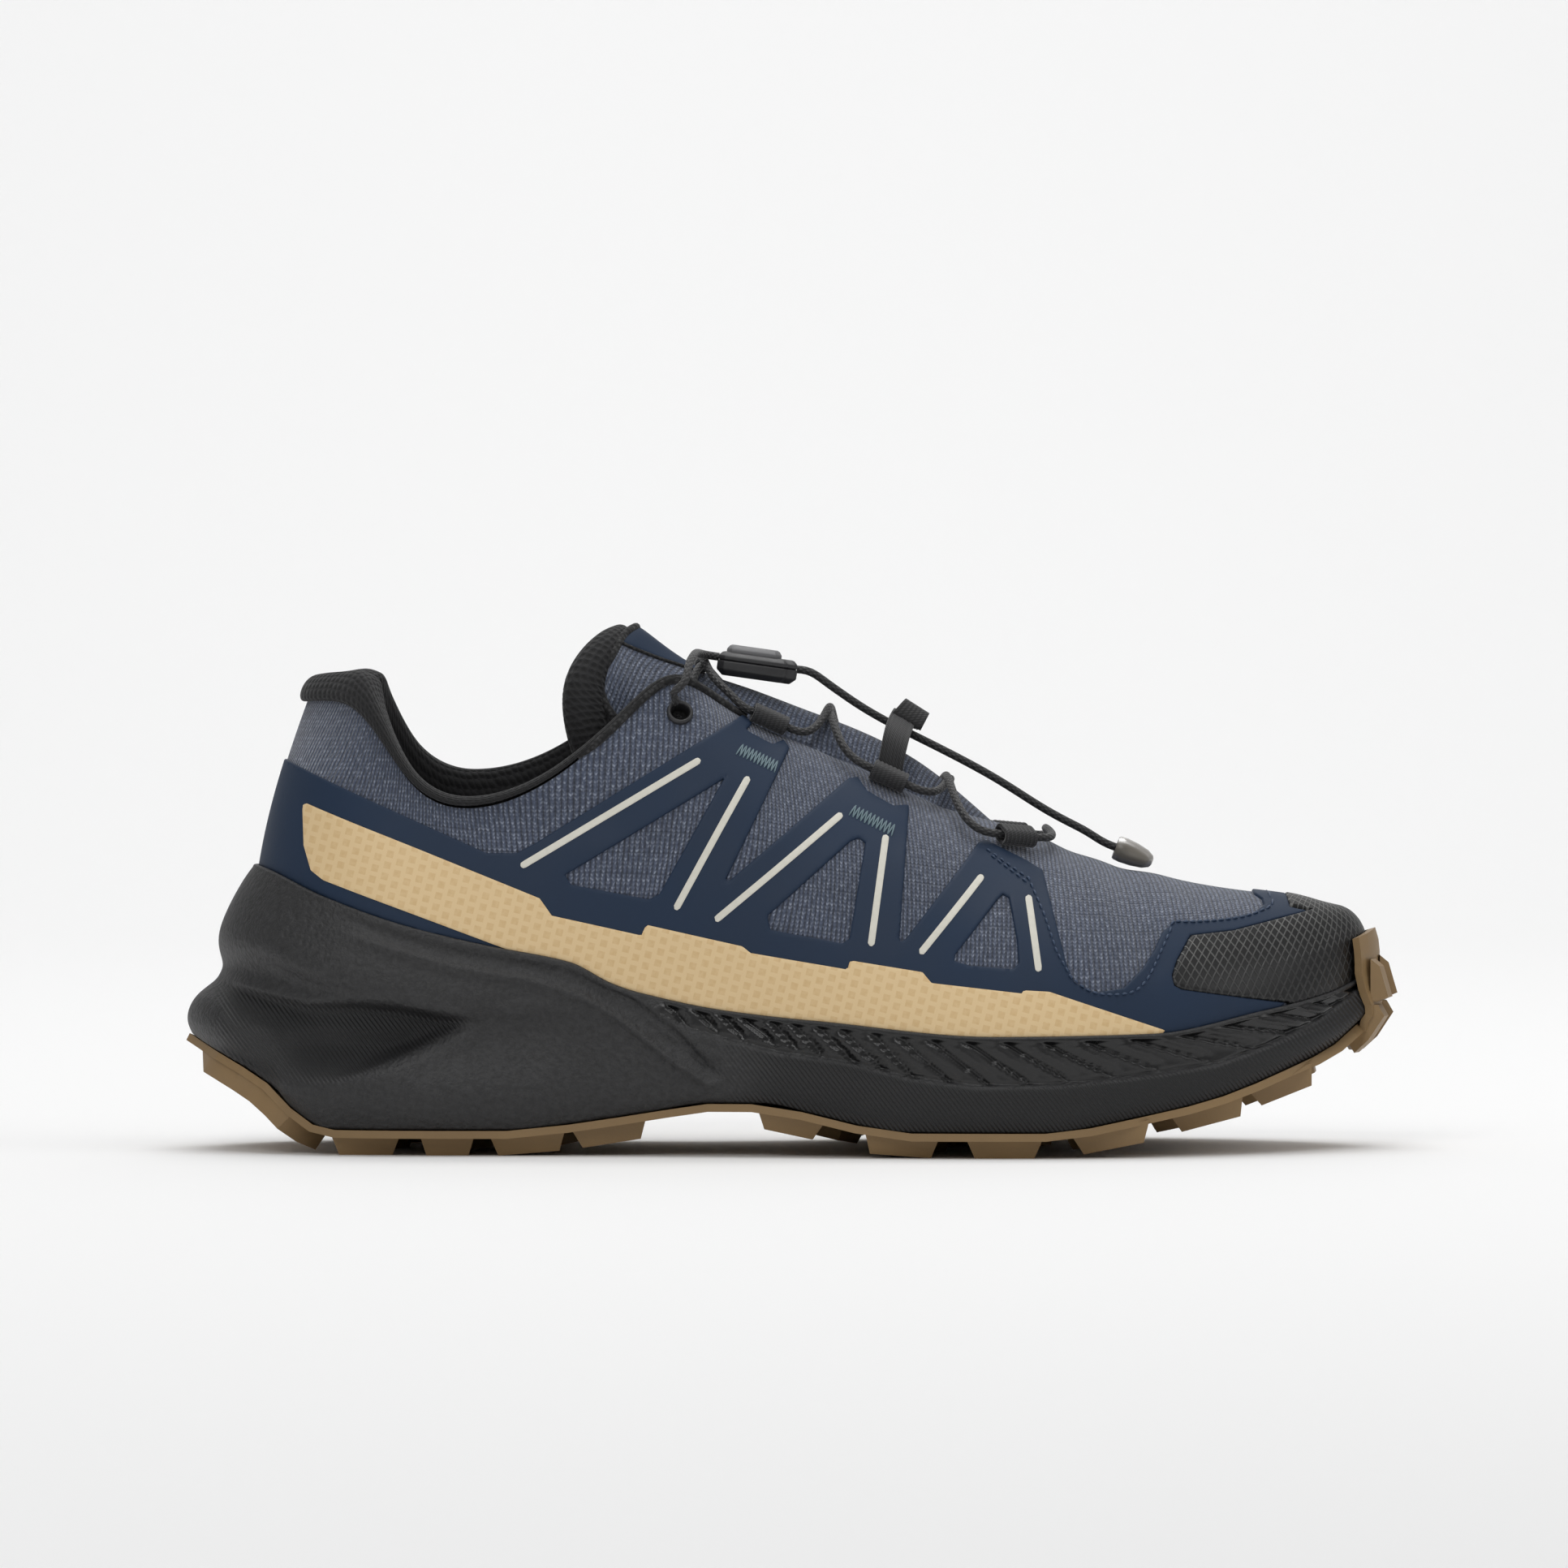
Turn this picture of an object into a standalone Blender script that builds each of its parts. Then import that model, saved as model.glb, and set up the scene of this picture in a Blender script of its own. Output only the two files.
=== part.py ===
"""Trail running shoe for the right foot, empty and laced, standing on its lugs.

The toe points along +X, the outer (lateral) side faces -Y, and +Z is up. The origin is on the floor,
in the middle of the sole's length and width. Lengths are in metres.

Every piece that touches the foot's shape is worked out from one wall function: a ring of cross
sections round the shoe, each a curve from the footbed's edge up to the collar, the throat or the
ridge over the toes.
"""

import math
from collections import namedtuple

import bmesh
import bpy
import numpy as np
from mathutils import Matrix, Vector
from mathutils.bvhtree import BVHTree
from mathutils.geometry import tessellate_polygon

# Sizes of the upper
LAST_LENGTH = 0.2745  # back seam to toe tip, outside
BALL_WIDTH = 0.104  # across the ball, outside
UPPER_HEIGHT = 0.086  # footbed to the top of the eyestay
WALL = 0.0024  # knit, foam and lining together
GAP = 0.0003  # between pieces that meet
FILM = 0.0008  # welded side film
CAP = 0.0010  # rubbery toe cap
COLLAR_ROLL = 0.0085  # height of the padded collar above the knit at the heel
COLLAR_PAD = 0.0060  # thickness of the collar pad inside the heel
TONGUE = 0.0048  # thickness of the padded tongue
INSOLE = 0.0040
INSOLE_CUP = 0.0020  # how far the insole's edge rises
INSOLE_BEVEL = 0.0080  # width of that raised edge

# Sizes of the sole
SOLE_LENGTH = 0.300
HEEL_STACK = 0.031  # floor to footbed under the heel
FOREFOOT_STACK = 0.024
TOE_SPRING = 0.0125
ARCH_RISE = 0.0068
HEEL_BEVEL = 0.0231  # how far the back of the heel is cut away from the floor
HEEL_CUP = 0.0395  # footbed to the top of the midsole's rim behind the heel
HEEL_FLARE = 0.0191  # how far the midsole reaches out behind the upper
SIDE_FLARE = 0.0080
RIM_LIP = 0.0018  # thickness of the midsole at its rim
SHEET = 0.0019  # outsole between its lugs
SHEET_EDGE = 0.0005  # how far the outsole stands out from under the midsole
LUG_HEIGHT = 0.0043
STRAP = 0.0019  # outsole strap that climbs the toe
TOE_LUG = 0.0036  # height of the lugs on that strap

# Sizes of the lacing
CORD = 0.0020
LOOP_WIDTH = 0.0090
LOOP_LENGTH = 0.0066
LOOP_TAPE = 0.0009
EYELET_RADIUS = 0.0033
EYELET_HOLE = 0.0022
EYELET_RING = 0.0009  # thickness of the ring on the wall
LOCK_LENGTH = 0.0195
LOCK_WIDTH = 0.0140
LOCK_HEIGHT = 0.0078
BAND_WIDTH = 0.0072
BAND_TAPE = 0.0016
PULL_LENGTH = 0.0098
PULL_WIDTH = 0.0070

# Columns of facets round the shoe, by row of the wall table. They stand closer at the heel's bevel
# and round the toe.
LATERAL_COLUMNS = [
    *(0, 0.5, 0.75, 1, 1.25, 1.5, 1.75, 2, 2.5),
    *(3 + 2 * k / 3 for k in range(16)),
    *(13.5, 14, 14.5, 15, 15.5, 16, 16.25, 16.5, 16.75, 17),
]
LEVELS = (0, 0.16, 0.33, 0.5, 0.66, 0.8, 0.91, 1)
FLOOR_DROP = GAP + SHEET + LUG_HEIGHT  # midsole's underside to the floor
HEEL_X = HEEL_FLARE + GAP - SOLE_LENGTH / 2 - 0.007 * LAST_LENGTH  # where along is 0

# One row for each section, from the back seam to the toe tip. along is a share of LAST_LENGTH,
# out and in are shares of half BALL_WIDTH (lateral is negative), up is a share of UPPER_HEIGHT
# above the footbed. rise, bulge, shoulder and drop shape the section's two handles.
WallRow = namedtuple(
    "WallRow",
    "foot_along foot_out foot_in top_along top_out top_in up_out up_in rise bulge shoulder drop",
)
WALL_ROWS = [
    WallRow(0.007, 0.058, 0.058, 0.045, 0.048, 0.048, 0.928, 0.928, 0.35, 0.135, 0.80, 0.285),
    WallRow(0.040, -0.385, 0.519, 0.072, -0.250, 0.375, 0.930, 0.930, 0.36, 0.105, 0.80, 0.280),
    WallRow(0.101, -0.606, 0.702, 0.105, -0.442, 0.558, 0.866, 0.884, 0.38, 0.077, 0.70, 0.300),
    WallRow(0.173, -0.673, 0.740, 0.148, -0.548, 0.644, 0.677, 0.733, 0.42, 0.058, 0.60, 0.330),
    WallRow(0.257, -0.692, 0.692, 0.206, -0.577, 0.654, 0.630, 0.692, 0.45, 0.048, 0.60, 0.330),
    WallRow(0.329, -0.721, 0.654, 0.271, -0.558, 0.625, 0.720, 0.764, 0.45, 0.048, 0.55, 0.300),
    WallRow(0.390, -0.769, 0.644, 0.332, -0.471, 0.548, 0.898, 0.915, 0.45, 0.048, 0.50, 0.250),
    WallRow(0.448, -0.827, 0.692, 0.381, -0.337, 0.471, 1.015, 1.015, 0.45, 0.048, 0.42, 0.180),
    WallRow(0.517, -0.904, 0.788, 0.441, -0.221, 0.375, 0.920, 0.920, 0.45, 0.048, 0.34, 0.100),
    WallRow(0.589, -0.967, 0.894, 0.528, -0.192, 0.346, 0.827, 0.827, 0.46, 0.048, 0.34, 0.060),
    WallRow(0.651, -0.990, 0.962, 0.611, -0.144, 0.308, 0.715, 0.715, 0.50, 0.048, 0.38, 0.040),
    WallRow(0.705, -0.987, 1.000, 0.690, 0.083, 0.083, 0.643, 0.643, 0.55, 0.048, 0.45, 0.000),
    WallRow(0.763, -0.933, 1.000, 0.744, 0.100, 0.100, 0.564, 0.564, 0.58, 0.048, 0.50, 0.000),
    WallRow(0.828, -0.798, 0.942, 0.813, 0.125, 0.125, 0.493, 0.493, 0.60, 0.048, 0.52, 0.000),
    WallRow(0.889, -0.596, 0.837, 0.878, 0.154, 0.154, 0.419, 0.419, 0.61, 0.048, 0.54, 0.000),
    WallRow(0.940, -0.346, 0.654, 0.929, 0.179, 0.179, 0.365, 0.365, 0.60, 0.058, 0.62, 0.000),
    WallRow(0.974, -0.077, 0.452, 0.958, 0.192, 0.192, 0.310, 0.310, 0.52, 0.081, 0.90, 0.020),
    WallRow(0.988, 0.212, 0.212, 0.972, 0.202, 0.202, 0.280, 0.280, 0.45, 0.115, 1.90, 0.040),
]
LAST_ROW = len(WALL_ROWS) - 1
THROAT_ROW = 11  # where the throat closes and the ridge over the toes begins

# Heights along the sole: heel is the share of HEEL_STACK over FOREFOOT_STACK, spring the share of
# TOE_SPRING, for the footbed. rim is the midsole's rim over the footbed, a share of HEEL_CUP.
BedRow = namedtuple("BedRow", "along heel spring rim")
BED_ROWS = [
    BedRow(-0.010, 1.00, 0.00, 1.000),
    BedRow(0.011, 1.00, 0.00, 0.965),
    BedRow(0.065, 1.00, 0.00, 0.800),
    BedRow(0.137, 1.00, 0.00, 0.623),
    BedRow(0.210, 1.00, 0.00, 0.500),
    BedRow(0.285, 0.98, 0.00, 0.400),
    BedRow(0.322, 0.93, 0.00, 0.280),
    BedRow(0.345, 0.88, 0.00, 0.235),
    BedRow(0.426, 0.68, 0.00, 0.157),
    BedRow(0.500, 0.50, 0.00, 0.134),
    BedRow(0.660, 0.00, 0.00, 0.127),
    BedRow(0.800, 0.00, 0.03, 0.130),
    BedRow(0.900, 0.00, 0.37, 0.150),
    BedRow(0.960, 0.00, 0.66, 0.152),
    BedRow(1.000, 0.00, 1.00, 0.162),
]

# The midsole's underside over its lowest plane: shares of HEEL_BEVEL, ARCH_RISE and TOE_SPRING.
UnderRow = namedtuple("UnderRow", "along bevel arch spring")
UNDER_ROWS = [
    UnderRow(-0.068, 1.00, 0.00, 0.00),
    UnderRow(-0.048, 0.88, 0.00, 0.00),
    UnderRow(0.020, 0.42, 0.00, 0.00),
    UnderRow(0.035, 0.22, 0.00, 0.00),
    UnderRow(0.069, 0.00, 0.00, 0.00),
    UnderRow(0.228, 0.00, 0.00, 0.00),
    UnderRow(0.282, 0.00, 0.22, 0.00),
    UnderRow(0.354, 0.00, 0.66, 0.00),
    UnderRow(0.412, 0.00, 1.00, 0.00),
    UnderRow(0.455, 0.00, 1.00, 0.00),
    UnderRow(0.499, 0.00, 0.66, 0.00),
    UnderRow(0.553, 0.00, 0.16, 0.00),
    UnderRow(0.582, 0.00, 0.00, 0.00),
    UnderRow(0.705, 0.00, 0.00, 0.00),
    UnderRow(0.784, 0.00, 0.00, 0.27),
    UnderRow(0.857, 0.00, 0.00, 0.62),
    UnderRow(0.929, 0.00, 0.00, 1.20),
    UnderRow(0.965, 0.00, 0.00, 1.55),
    UnderRow(0.990, 0.00, 0.00, 1.95),
    UnderRow(1.010, 0.00, 0.00, 2.20),
]

# The midsole's side. Each zone lists (height share between underside and rim, reach), where reach is
# a share of HEEL_FLARE behind the heel and of SIDE_FLARE elsewhere.
SoleZone = namedtuple("SoleZone", "row flare lip levels")
SOLE_ZONES = [
    SoleZone(0, 1, 1, [
        (0, 0.94), (0.10, 0.985), (0.23, 0.80), (0.335, 0.50), (0.44, 0.43), (0.61, 0.456), (0.865, 0.25),
    ]),
    SoleZone(1.5, 0, 1, [
        (0, 0.75), (0.12, 1.30), (0.27, 1.45), (0.42, 0.90), (0.60, 0.58), (0.70, 0.86), (0.88, 0.50),
    ]),
    SoleZone(3, 0, 1, [
        (0, 0.55), (0.10, 0.95), (0.25, 1.00), (0.40, 0.60), (0.56, 0.38), (0.68, 0.62), (0.86, 0.40),
    ]),
    SoleZone(5, 0, 1, [
        (0, 0.35), (0.10, 0.60), (0.25, 0.68), (0.42, 0.64), (0.60, 0.52), (0.72, 0.46), (0.88, 0.32),
    ]),
    SoleZone(7, 0, 1, [
        (0, 0.28), (0.10, 0.48), (0.25, 0.52), (0.42, 0.48), (0.60, 0.40), (0.72, 0.36), (0.88, 0.28),
    ]),
    SoleZone(11, 0, 1, [
        (0, 0.32), (0.12, 0.56), (0.28, 0.60), (0.46, 0.54), (0.54, 0.38), (0.72, 0.34), (0.88, 0.27),
    ]),
    SoleZone(14, 0, 1, [
        (0, 0.26), (0.12, 0.42), (0.28, 0.50), (0.46, 0.48), (0.54, 0.38), (0.72, 0.32), (0.88, 0.26),
    ]),
    SoleZone(16, 0, 1, [
        (0, 0.29), (0.12, 0.46), (0.28, 0.60), (0.46, 0.57), (0.54, 0.50), (0.72, 0.38), (0.88, 0.30),
    ]),
    SoleZone(17, 0, 1, [
        (0, 0.31), (0.12, 0.50), (0.28, 0.65), (0.46, 0.62), (0.54, 0.56), (0.72, 0.42), (0.88, 0.31),
    ]),
]


def natural(knots, values, at):
    """Natural cubic spline through the rows of values, read at the places in at."""
    knots = np.asarray(knots, float)
    values = np.asarray(values, float)
    values = values.reshape(len(knots), -1)
    step = np.diff(knots)
    slope = np.diff(values, axis=0) / step[:, None]
    count = len(knots)
    matrix = np.eye(count)
    right = np.zeros_like(values)
    for i in range(1, count - 1):
        matrix[i, i - 1 : i + 2] = step[i - 1], 2 * (step[i - 1] + step[i]), step[i]
        right[i] = 6 * (slope[i] - slope[i - 1])
    bend = np.linalg.solve(matrix, right)
    at = np.asarray(at, float)
    cell = np.clip(np.searchsorted(knots, at, side="right") - 1, 0, count - 2)
    width = step[cell][:, None]
    left = (knots[cell + 1] - at)[:, None] / width
    rest = 1 - left
    return (
        left * values[cell]
        + rest * values[cell + 1]
        + ((left**3 - left) * bend[cell] + (rest**3 - rest) * bend[cell + 1]) * width**2 / 6
    )


def glide(knots, values, at):
    """Monotone cubic through knots and values: it is flat where they are, and never overshoots."""
    knots = np.asarray(knots, float)
    values = np.asarray(values, float)
    step = np.diff(knots)
    slope = np.diff(values) / step
    tangent = np.zeros(len(knots))
    tangent[0], tangent[-1] = slope[0], slope[-1]
    same = slope[:-1] * slope[1:] > 0
    before, after = slope[:-1][same], slope[1:][same]
    tangent[1:-1][same] = 2 * before * after / (before + after)
    at = np.clip(np.asarray(at, float), knots[0], knots[-1])
    cell = np.clip(np.searchsorted(knots, at, side="right") - 1, 0, len(step) - 1)
    t = (at - knots[cell]) / step[cell]
    return (
        (2 * t**3 - 3 * t**2 + 1) * values[cell]
        + (t**3 - 2 * t**2 + t) * step[cell] * tangent[cell]
        + (3 * t**2 - 2 * t**3) * values[cell + 1]
        + (t**3 - t**2) * step[cell] * tangent[cell + 1]
    )


def column(rows, name):
    return np.array([getattr(row, name) for row in rows])


def along_of(x):
    return (np.asarray(x) - HEEL_X) / LAST_LENGTH


def x_of(along):
    return HEEL_X + np.asarray(along) * LAST_LENGTH


def footbed(x):
    """Height of the midsole's footbed."""
    along = along_of(x)
    heel = glide(column(BED_ROWS, "along"), column(BED_ROWS, "heel"), along)
    spring = glide(column(BED_ROWS, "along"), column(BED_ROWS, "spring"), along)
    return FOREFOOT_STACK + (HEEL_STACK - FOREFOOT_STACK) * heel + TOE_SPRING * spring


def rim(x):
    """Height of the midsole's rim."""
    return footbed(x) + HEEL_CUP * glide(column(BED_ROWS, "along"), column(BED_ROWS, "rim"), along_of(x))


def underside(x):
    """Height of the midsole's underside."""
    along = along_of(x)
    places = column(UNDER_ROWS, "along")
    return (
        FLOOR_DROP
        + HEEL_BEVEL * glide(places, column(UNDER_ROWS, "bevel"), along)
        + ARCH_RISE * glide(places, column(UNDER_ROWS, "arch"), along)
        + TOE_SPRING * glide(places, column(UNDER_ROWS, "spring"), along)
    )


def ring_rows():
    """Row numbers round the shoe: heel to toe on the lateral side, then back, as negatives, on the medial."""
    lateral = np.array(LATERAL_COLUMNS, float)
    return np.concatenate([lateral, -lateral[-2:0:-1]])


def foot_outline(rows):
    """Footbed's edge at the upper's outside, in plan: a closed spline through both sides of the table."""
    lateral = [(row.foot_along, row.foot_out) for row in WALL_ROWS]
    medial = [(row.foot_along, row.foot_in) for row in WALL_ROWS[-2:0:-1]]
    loop = np.array(lateral + medial)
    turn = len(loop)
    knots = np.arange(-3, turn + 4)
    place = np.where(rows >= 0, rows, turn + rows)
    spots = natural(knots, loop[knots % turn], place)
    return np.stack([x_of(spots[:, 0]), spots[:, 1] * BALL_WIDTH / 2], axis=1)


def top_line(rows):
    """Collar, throat and ridge: an open spline round the collar and throat, and one along the ridge."""
    bed = footbed(x_of(column(WALL_ROWS, "foot_along")))
    out_side = np.stack(
        [
            x_of(column(WALL_ROWS, "top_along")),
            column(WALL_ROWS, "top_out") * BALL_WIDTH / 2,
            bed + column(WALL_ROWS, "up_out") * UPPER_HEIGHT,
        ],
        axis=1,
    )
    in_side = np.stack(
        [
            out_side[:, 0],
            column(WALL_ROWS, "top_in") * BALL_WIDTH / 2,
            bed + column(WALL_ROWS, "up_in") * UPPER_HEIGHT,
        ],
        axis=1,
    )
    rim_points = np.concatenate([in_side[THROAT_ROW:0:-1], out_side[: THROAT_ROW + 1]])
    rim_curve = natural(
        np.arange(-THROAT_ROW, THROAT_ROW + 1), rim_points, np.clip(rows, -THROAT_ROW, THROAT_ROW)
    )
    ridge = np.concatenate([out_side[THROAT_ROW:], out_side[-2 : THROAT_ROW - 1 : -1]])
    ridge_curve = natural(
        THROAT_ROW + np.arange(len(ridge)), ridge, np.clip(np.abs(rows), THROAT_ROW, LAST_ROW)
    )
    return np.where((np.abs(rows) >= THROAT_ROW)[:, None], ridge_curve, rim_curve)


def wall(rows, levels):
    """The upper's outer surface: one cubic curve for each row number, read at each level from 0 to 1."""
    rows = np.asarray(rows, float)
    levels = np.asarray(levels, float)
    foot_plan = foot_outline(rows)
    foot = np.column_stack([foot_plan, footbed(foot_plan[:, 0]) + GAP])
    top = top_line(rows)
    number = np.arange(LAST_ROW + 1)
    rise, bulge, shoulder, drop = (
        glide(number, column(WALL_ROWS, name), np.abs(rows))[:, None]
        for name in ("rise", "bulge", "shoulder", "drop")
    )
    height = (top[:, 2] - foot[:, 2])[:, None]
    lean = foot - top
    lean[:, 2] = 0
    away = lean / np.linalg.norm(lean, axis=1)[:, None]
    up = np.array([[0, 0, 1.0]])
    first = foot + up * rise * height + away * bulge * BALL_WIDTH / 2
    second = top + lean * shoulder - up * drop * height
    t = levels[None, :, None]
    return (
        (1 - t) ** 3 * foot[:, None]
        + 3 * t * (1 - t) ** 2 * first[:, None]
        + 3 * t**2 * (1 - t) * second[:, None]
        + t**3 * top[:, None]
    )


def wall_normals(rows, levels):
    """Outward unit normals of the wall, from small steps along and up it."""
    step = 1e-3
    rows = np.asarray(rows, float)
    levels = np.asarray(levels, float)
    turn = 2 * LAST_ROW

    def signed(place):
        place = np.mod(place, turn)
        return np.where(place <= LAST_ROW, place, place - turn)

    place = np.where(rows >= 0, rows, turn + rows)
    along = wall(signed(place + step), levels) - wall(signed(place - step), levels)
    low = np.clip(levels - step, 0, 1 - 2 * step)
    upward = wall(rows, low + 2 * step) - wall(rows, low)
    normal = np.cross(along, upward)
    length = np.linalg.norm(normal, axis=2, keepdims=True)
    normal = normal / np.maximum(length, 1e-12)
    ridge = (np.abs(rows)[:, None] >= THROAT_ROW) & (levels[None, :] >= 1)
    normal[ridge, 1] = 0
    tip = (np.abs(rows)[:, None] > LAST_ROW - 0.1) & (levels[None, :] >= 1)
    normal[tip] = (0.55, 0, 1)
    return normal / np.linalg.norm(normal, axis=2, keepdims=True)


def wall_offset(rows, levels, out):
    """The wall moved outwards along its normals, or inwards where out is negative."""
    return wall(rows, levels) + wall_normals(rows, levels) * out


RING = ring_rows()
RING_SIZE = len(RING)


def plan_normals(points):
    """Outward unit normals, in plan, of a closed ring that runs heel, lateral, toe, medial."""
    ahead = np.roll(points[:, :2], -1, axis=0) - np.roll(points[:, :2], 1, axis=0)
    normal = np.column_stack([ahead[:, 1], -ahead[:, 0], np.zeros(len(ahead))])
    return normal / np.linalg.norm(normal, axis=1)[:, None]


FINE_LEVELS = np.linspace(0, 1, 81)
FINE_WALL = wall(RING, FINE_LEVELS)
FOOT_RING = FINE_WALL[:, 0]
OUTWARD = plan_normals(FOOT_RING)


def wall_at_height(heights):
    """The wall's point in each column at the height given for it, or its foot where that is lower."""
    places = np.zeros((RING_SIZE, 3))
    for i, height in enumerate(heights):
        line = FINE_WALL[i]
        rising = slice(0, int(np.argmax(line[:, 2])) + 1)
        for axis in range(2):
            places[i, axis] = np.interp(height, line[rising, 2], line[rising, axis])
    places[:, 2] = heights
    return places


def rim_heights():
    """The height at which each column of the wall passes the rim."""
    heights = rim(FOOT_RING[:, 0])
    for _ in range(6):
        heights = rim(wall_at_height(heights)[:, 0])
    return heights


RIM_HEIGHTS = rim_heights()


def material(name, colour, roughness, metallic=0.0):
    made = bpy.data.materials.new(name)
    made.use_nodes = True
    shader = made.node_tree.nodes["Principled BSDF"]
    shader.inputs["Base Color"].default_value = (*colour, 1)
    shader.inputs["Roughness"].default_value = roughness
    shader.inputs["Metallic"].default_value = metallic
    return made


def add_mesh(name, points, faces, finish, smooth_angle=35):
    """Puts a mesh in the scene, with its normals made to point outwards."""
    mesh = bpy.data.meshes.new(name)
    mesh.from_pydata([tuple(map(float, p)) for p in points], [], [tuple(map(int, f)) for f in faces])
    shape = bmesh.new()
    shape.from_mesh(mesh)
    bmesh.ops.remove_doubles(shape, verts=shape.verts, dist=1e-6)
    bmesh.ops.recalc_face_normals(shape, faces=shape.faces)
    shape.to_mesh(mesh)
    shape.free()
    mesh.shade_smooth()
    mesh.set_sharp_from_angle(angle=math.radians(smooth_angle))
    mesh.materials.append(finish)
    made = bpy.data.objects.new(name, mesh)
    bpy.context.scene.collection.objects.link(made)
    return made


def grid_faces(first, columns, levels, closed):
    """Triangles of a grid of points that starts at index first, one column after another."""
    last = columns if closed else columns - 1
    faces = []
    for i in range(last):
        for j in range(levels - 1):
            a = first + i * levels + j
            b = first + (i + 1) % columns * levels + j
            faces += [(a, b, b + 1), (a, b + 1, a + 1)]
    return faces


def sheet_solid(name, outside, inside, finish, closed=False):
    """A solid between two grids of one size, with closed edges. closed joins the last column to the first."""
    columns, levels = outside.shape[:2]
    size = columns * levels
    points = np.concatenate([outside.reshape(-1, 3), inside.reshape(-1, 3)])
    faces = grid_faces(0, columns, levels, closed) + grid_faces(size, columns, levels, closed)
    last = columns if closed else columns - 1
    for i in range(last):
        a, b = i * levels, (i + 1) % columns * levels
        faces.append((a, b, size + b, size + a))
        faces.append((a + levels - 1, b + levels - 1, size + b + levels - 1, size + a + levels - 1))
    if not closed:
        for j in range(levels - 1):
            for a in (0, (columns - 1) * levels):
                faces.append((a + j, a + j + 1, size + a + j + 1, size + a + j))
    return add_mesh(name, points, faces, finish)


def ladder_faces(ring_start, size):
    """Rungs from each lateral column of a ring to the medial column of the same row, which fill the ring."""
    half = size // 2
    faces = [(ring_start, ring_start + 1, ring_start + size - 1)]
    for i in range(1, half - 1):
        faces.append((ring_start + i, ring_start + i + 1, ring_start + size - i - 1, ring_start + size - i))
    faces.append((ring_start + half - 1, ring_start + half, ring_start + half + 1))
    return faces


def ring_solid(name, rings, finish):
    """A solid lofted through closed rings, with its first and last rings filled by rungs."""
    size = len(rings[0])
    points = np.concatenate(rings)
    faces = []
    for k in range(len(rings) - 1):
        for i in range(size):
            j = (i + 1) % size
            faces.append((k * size + i, k * size + j, (k + 1) * size + j, (k + 1) * size + i))
    faces += ladder_faces(0, size) + ladder_faces((len(rings) - 1) * size, size)
    return add_mesh(name, points, faces, finish)


def boolean(target, tool, operation):
    """Applies a Boolean to target with tool, and removes tool."""
    finish = target.data.materials[0]
    step = target.modifiers.new(operation.lower(), "BOOLEAN")
    step.operation = operation
    step.object = tool
    step.solver = "EXACT"
    graph = bpy.context.evaluated_depsgraph_get()
    mesh = bpy.data.meshes.new_from_object(target.evaluated_get(graph))
    target.modifiers.clear()
    target.data = mesh
    target.data.materials.clear()
    target.data.materials.append(finish)
    bpy.data.objects.remove(tool)
    return target


def merge_flat(target):
    """Joins faces that lie in one plane."""
    shape = bmesh.new()
    shape.from_mesh(target.data)
    bmesh.ops.dissolve_limit(shape, angle_limit=math.radians(0.1), verts=shape.verts, edges=shape.edges)
    shape.to_mesh(target.data)
    shape.free()


def join(parts):
    """One object from several that don't touch, for use as a Boolean's tool."""
    shape = bmesh.new()
    for part in parts:
        shape.from_mesh(part.data)
    for part in parts[1:]:
        bpy.data.objects.remove(part)
    shape.to_mesh(parts[0].data)
    shape.free()
    return parts[0]


def prism(name, start, end, outline, finish):
    """A solid between two rings of points, both filled by the triangles of their flat outline."""
    size = len(outline)
    fill = tessellate_polygon([[Vector((float(u), float(v), 0)) for u, v in outline]])
    faces = [tuple(t) for t in fill] + [tuple(size + i for i in t) for t in fill]
    faces += [(i, (i + 1) % size, size + (i + 1) % size, size + i) for i in range(size)]
    return add_mesh(name, np.concatenate([start, end]), faces, finish)


def cord_tube(name, points, finish, diameter=CORD):
    """A cord: a straight-segment curve with a round bevel and filled ends."""
    curve = bpy.data.curves.new(name, "CURVE")
    curve.dimensions = "3D"
    curve.bevel_depth = diameter / 2
    curve.bevel_resolution = 2
    curve.use_fill_caps = True
    spline = curve.splines.new("POLY")
    spline.points.add(len(points) - 1)
    for spot, place in zip(spline.points, points):
        spot.co = (*map(float, place), 1)
    curve.materials.append(finish)
    made = bpy.data.objects.new(name, curve)
    bpy.context.scene.collection.objects.link(made)
    return made


def through(points, spacing):
    """A smooth curve through the points, read about every spacing."""
    points = np.asarray(points, float)
    chord = np.concatenate([[0], np.cumsum(np.linalg.norm(np.diff(points, axis=0), axis=1))])
    count = max(3, int(round(chord[-1] / spacing)) + 1)
    return natural(chord, points, np.linspace(0, chord[-1], count))


def clear_scene():
    for old in list(bpy.data.objects):
        bpy.data.objects.remove(old, do_unlink=True)


clear_scene()
KNIT = material("blue grey rib knit", (0.105, 0.125, 0.175), 0.85)
NAVY = material("navy welded film", (0.030, 0.052, 0.088), 0.5)
SAND = material("sand printed film", (0.70, 0.53, 0.32), 0.5)
FOAM = material("black moulded foam", (0.022, 0.022, 0.024), 0.55)
GUM = material("brown gum rubber", (0.165, 0.105, 0.055), 0.6)
MESH = material("black spacer mesh", (0.012, 0.012, 0.013), 0.9)
CAP_RUBBER = material("black toe cap rubber", (0.020, 0.020, 0.022), 0.45)
WEBBING = material("black webbing", (0.012, 0.012, 0.012), 0.8)
PLASTIC = material("black moulded plastic", (0.018, 0.018, 0.020), 0.4)
SMOKE = material("smoky soft plastic", (0.10, 0.095, 0.085), 0.35)


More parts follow.
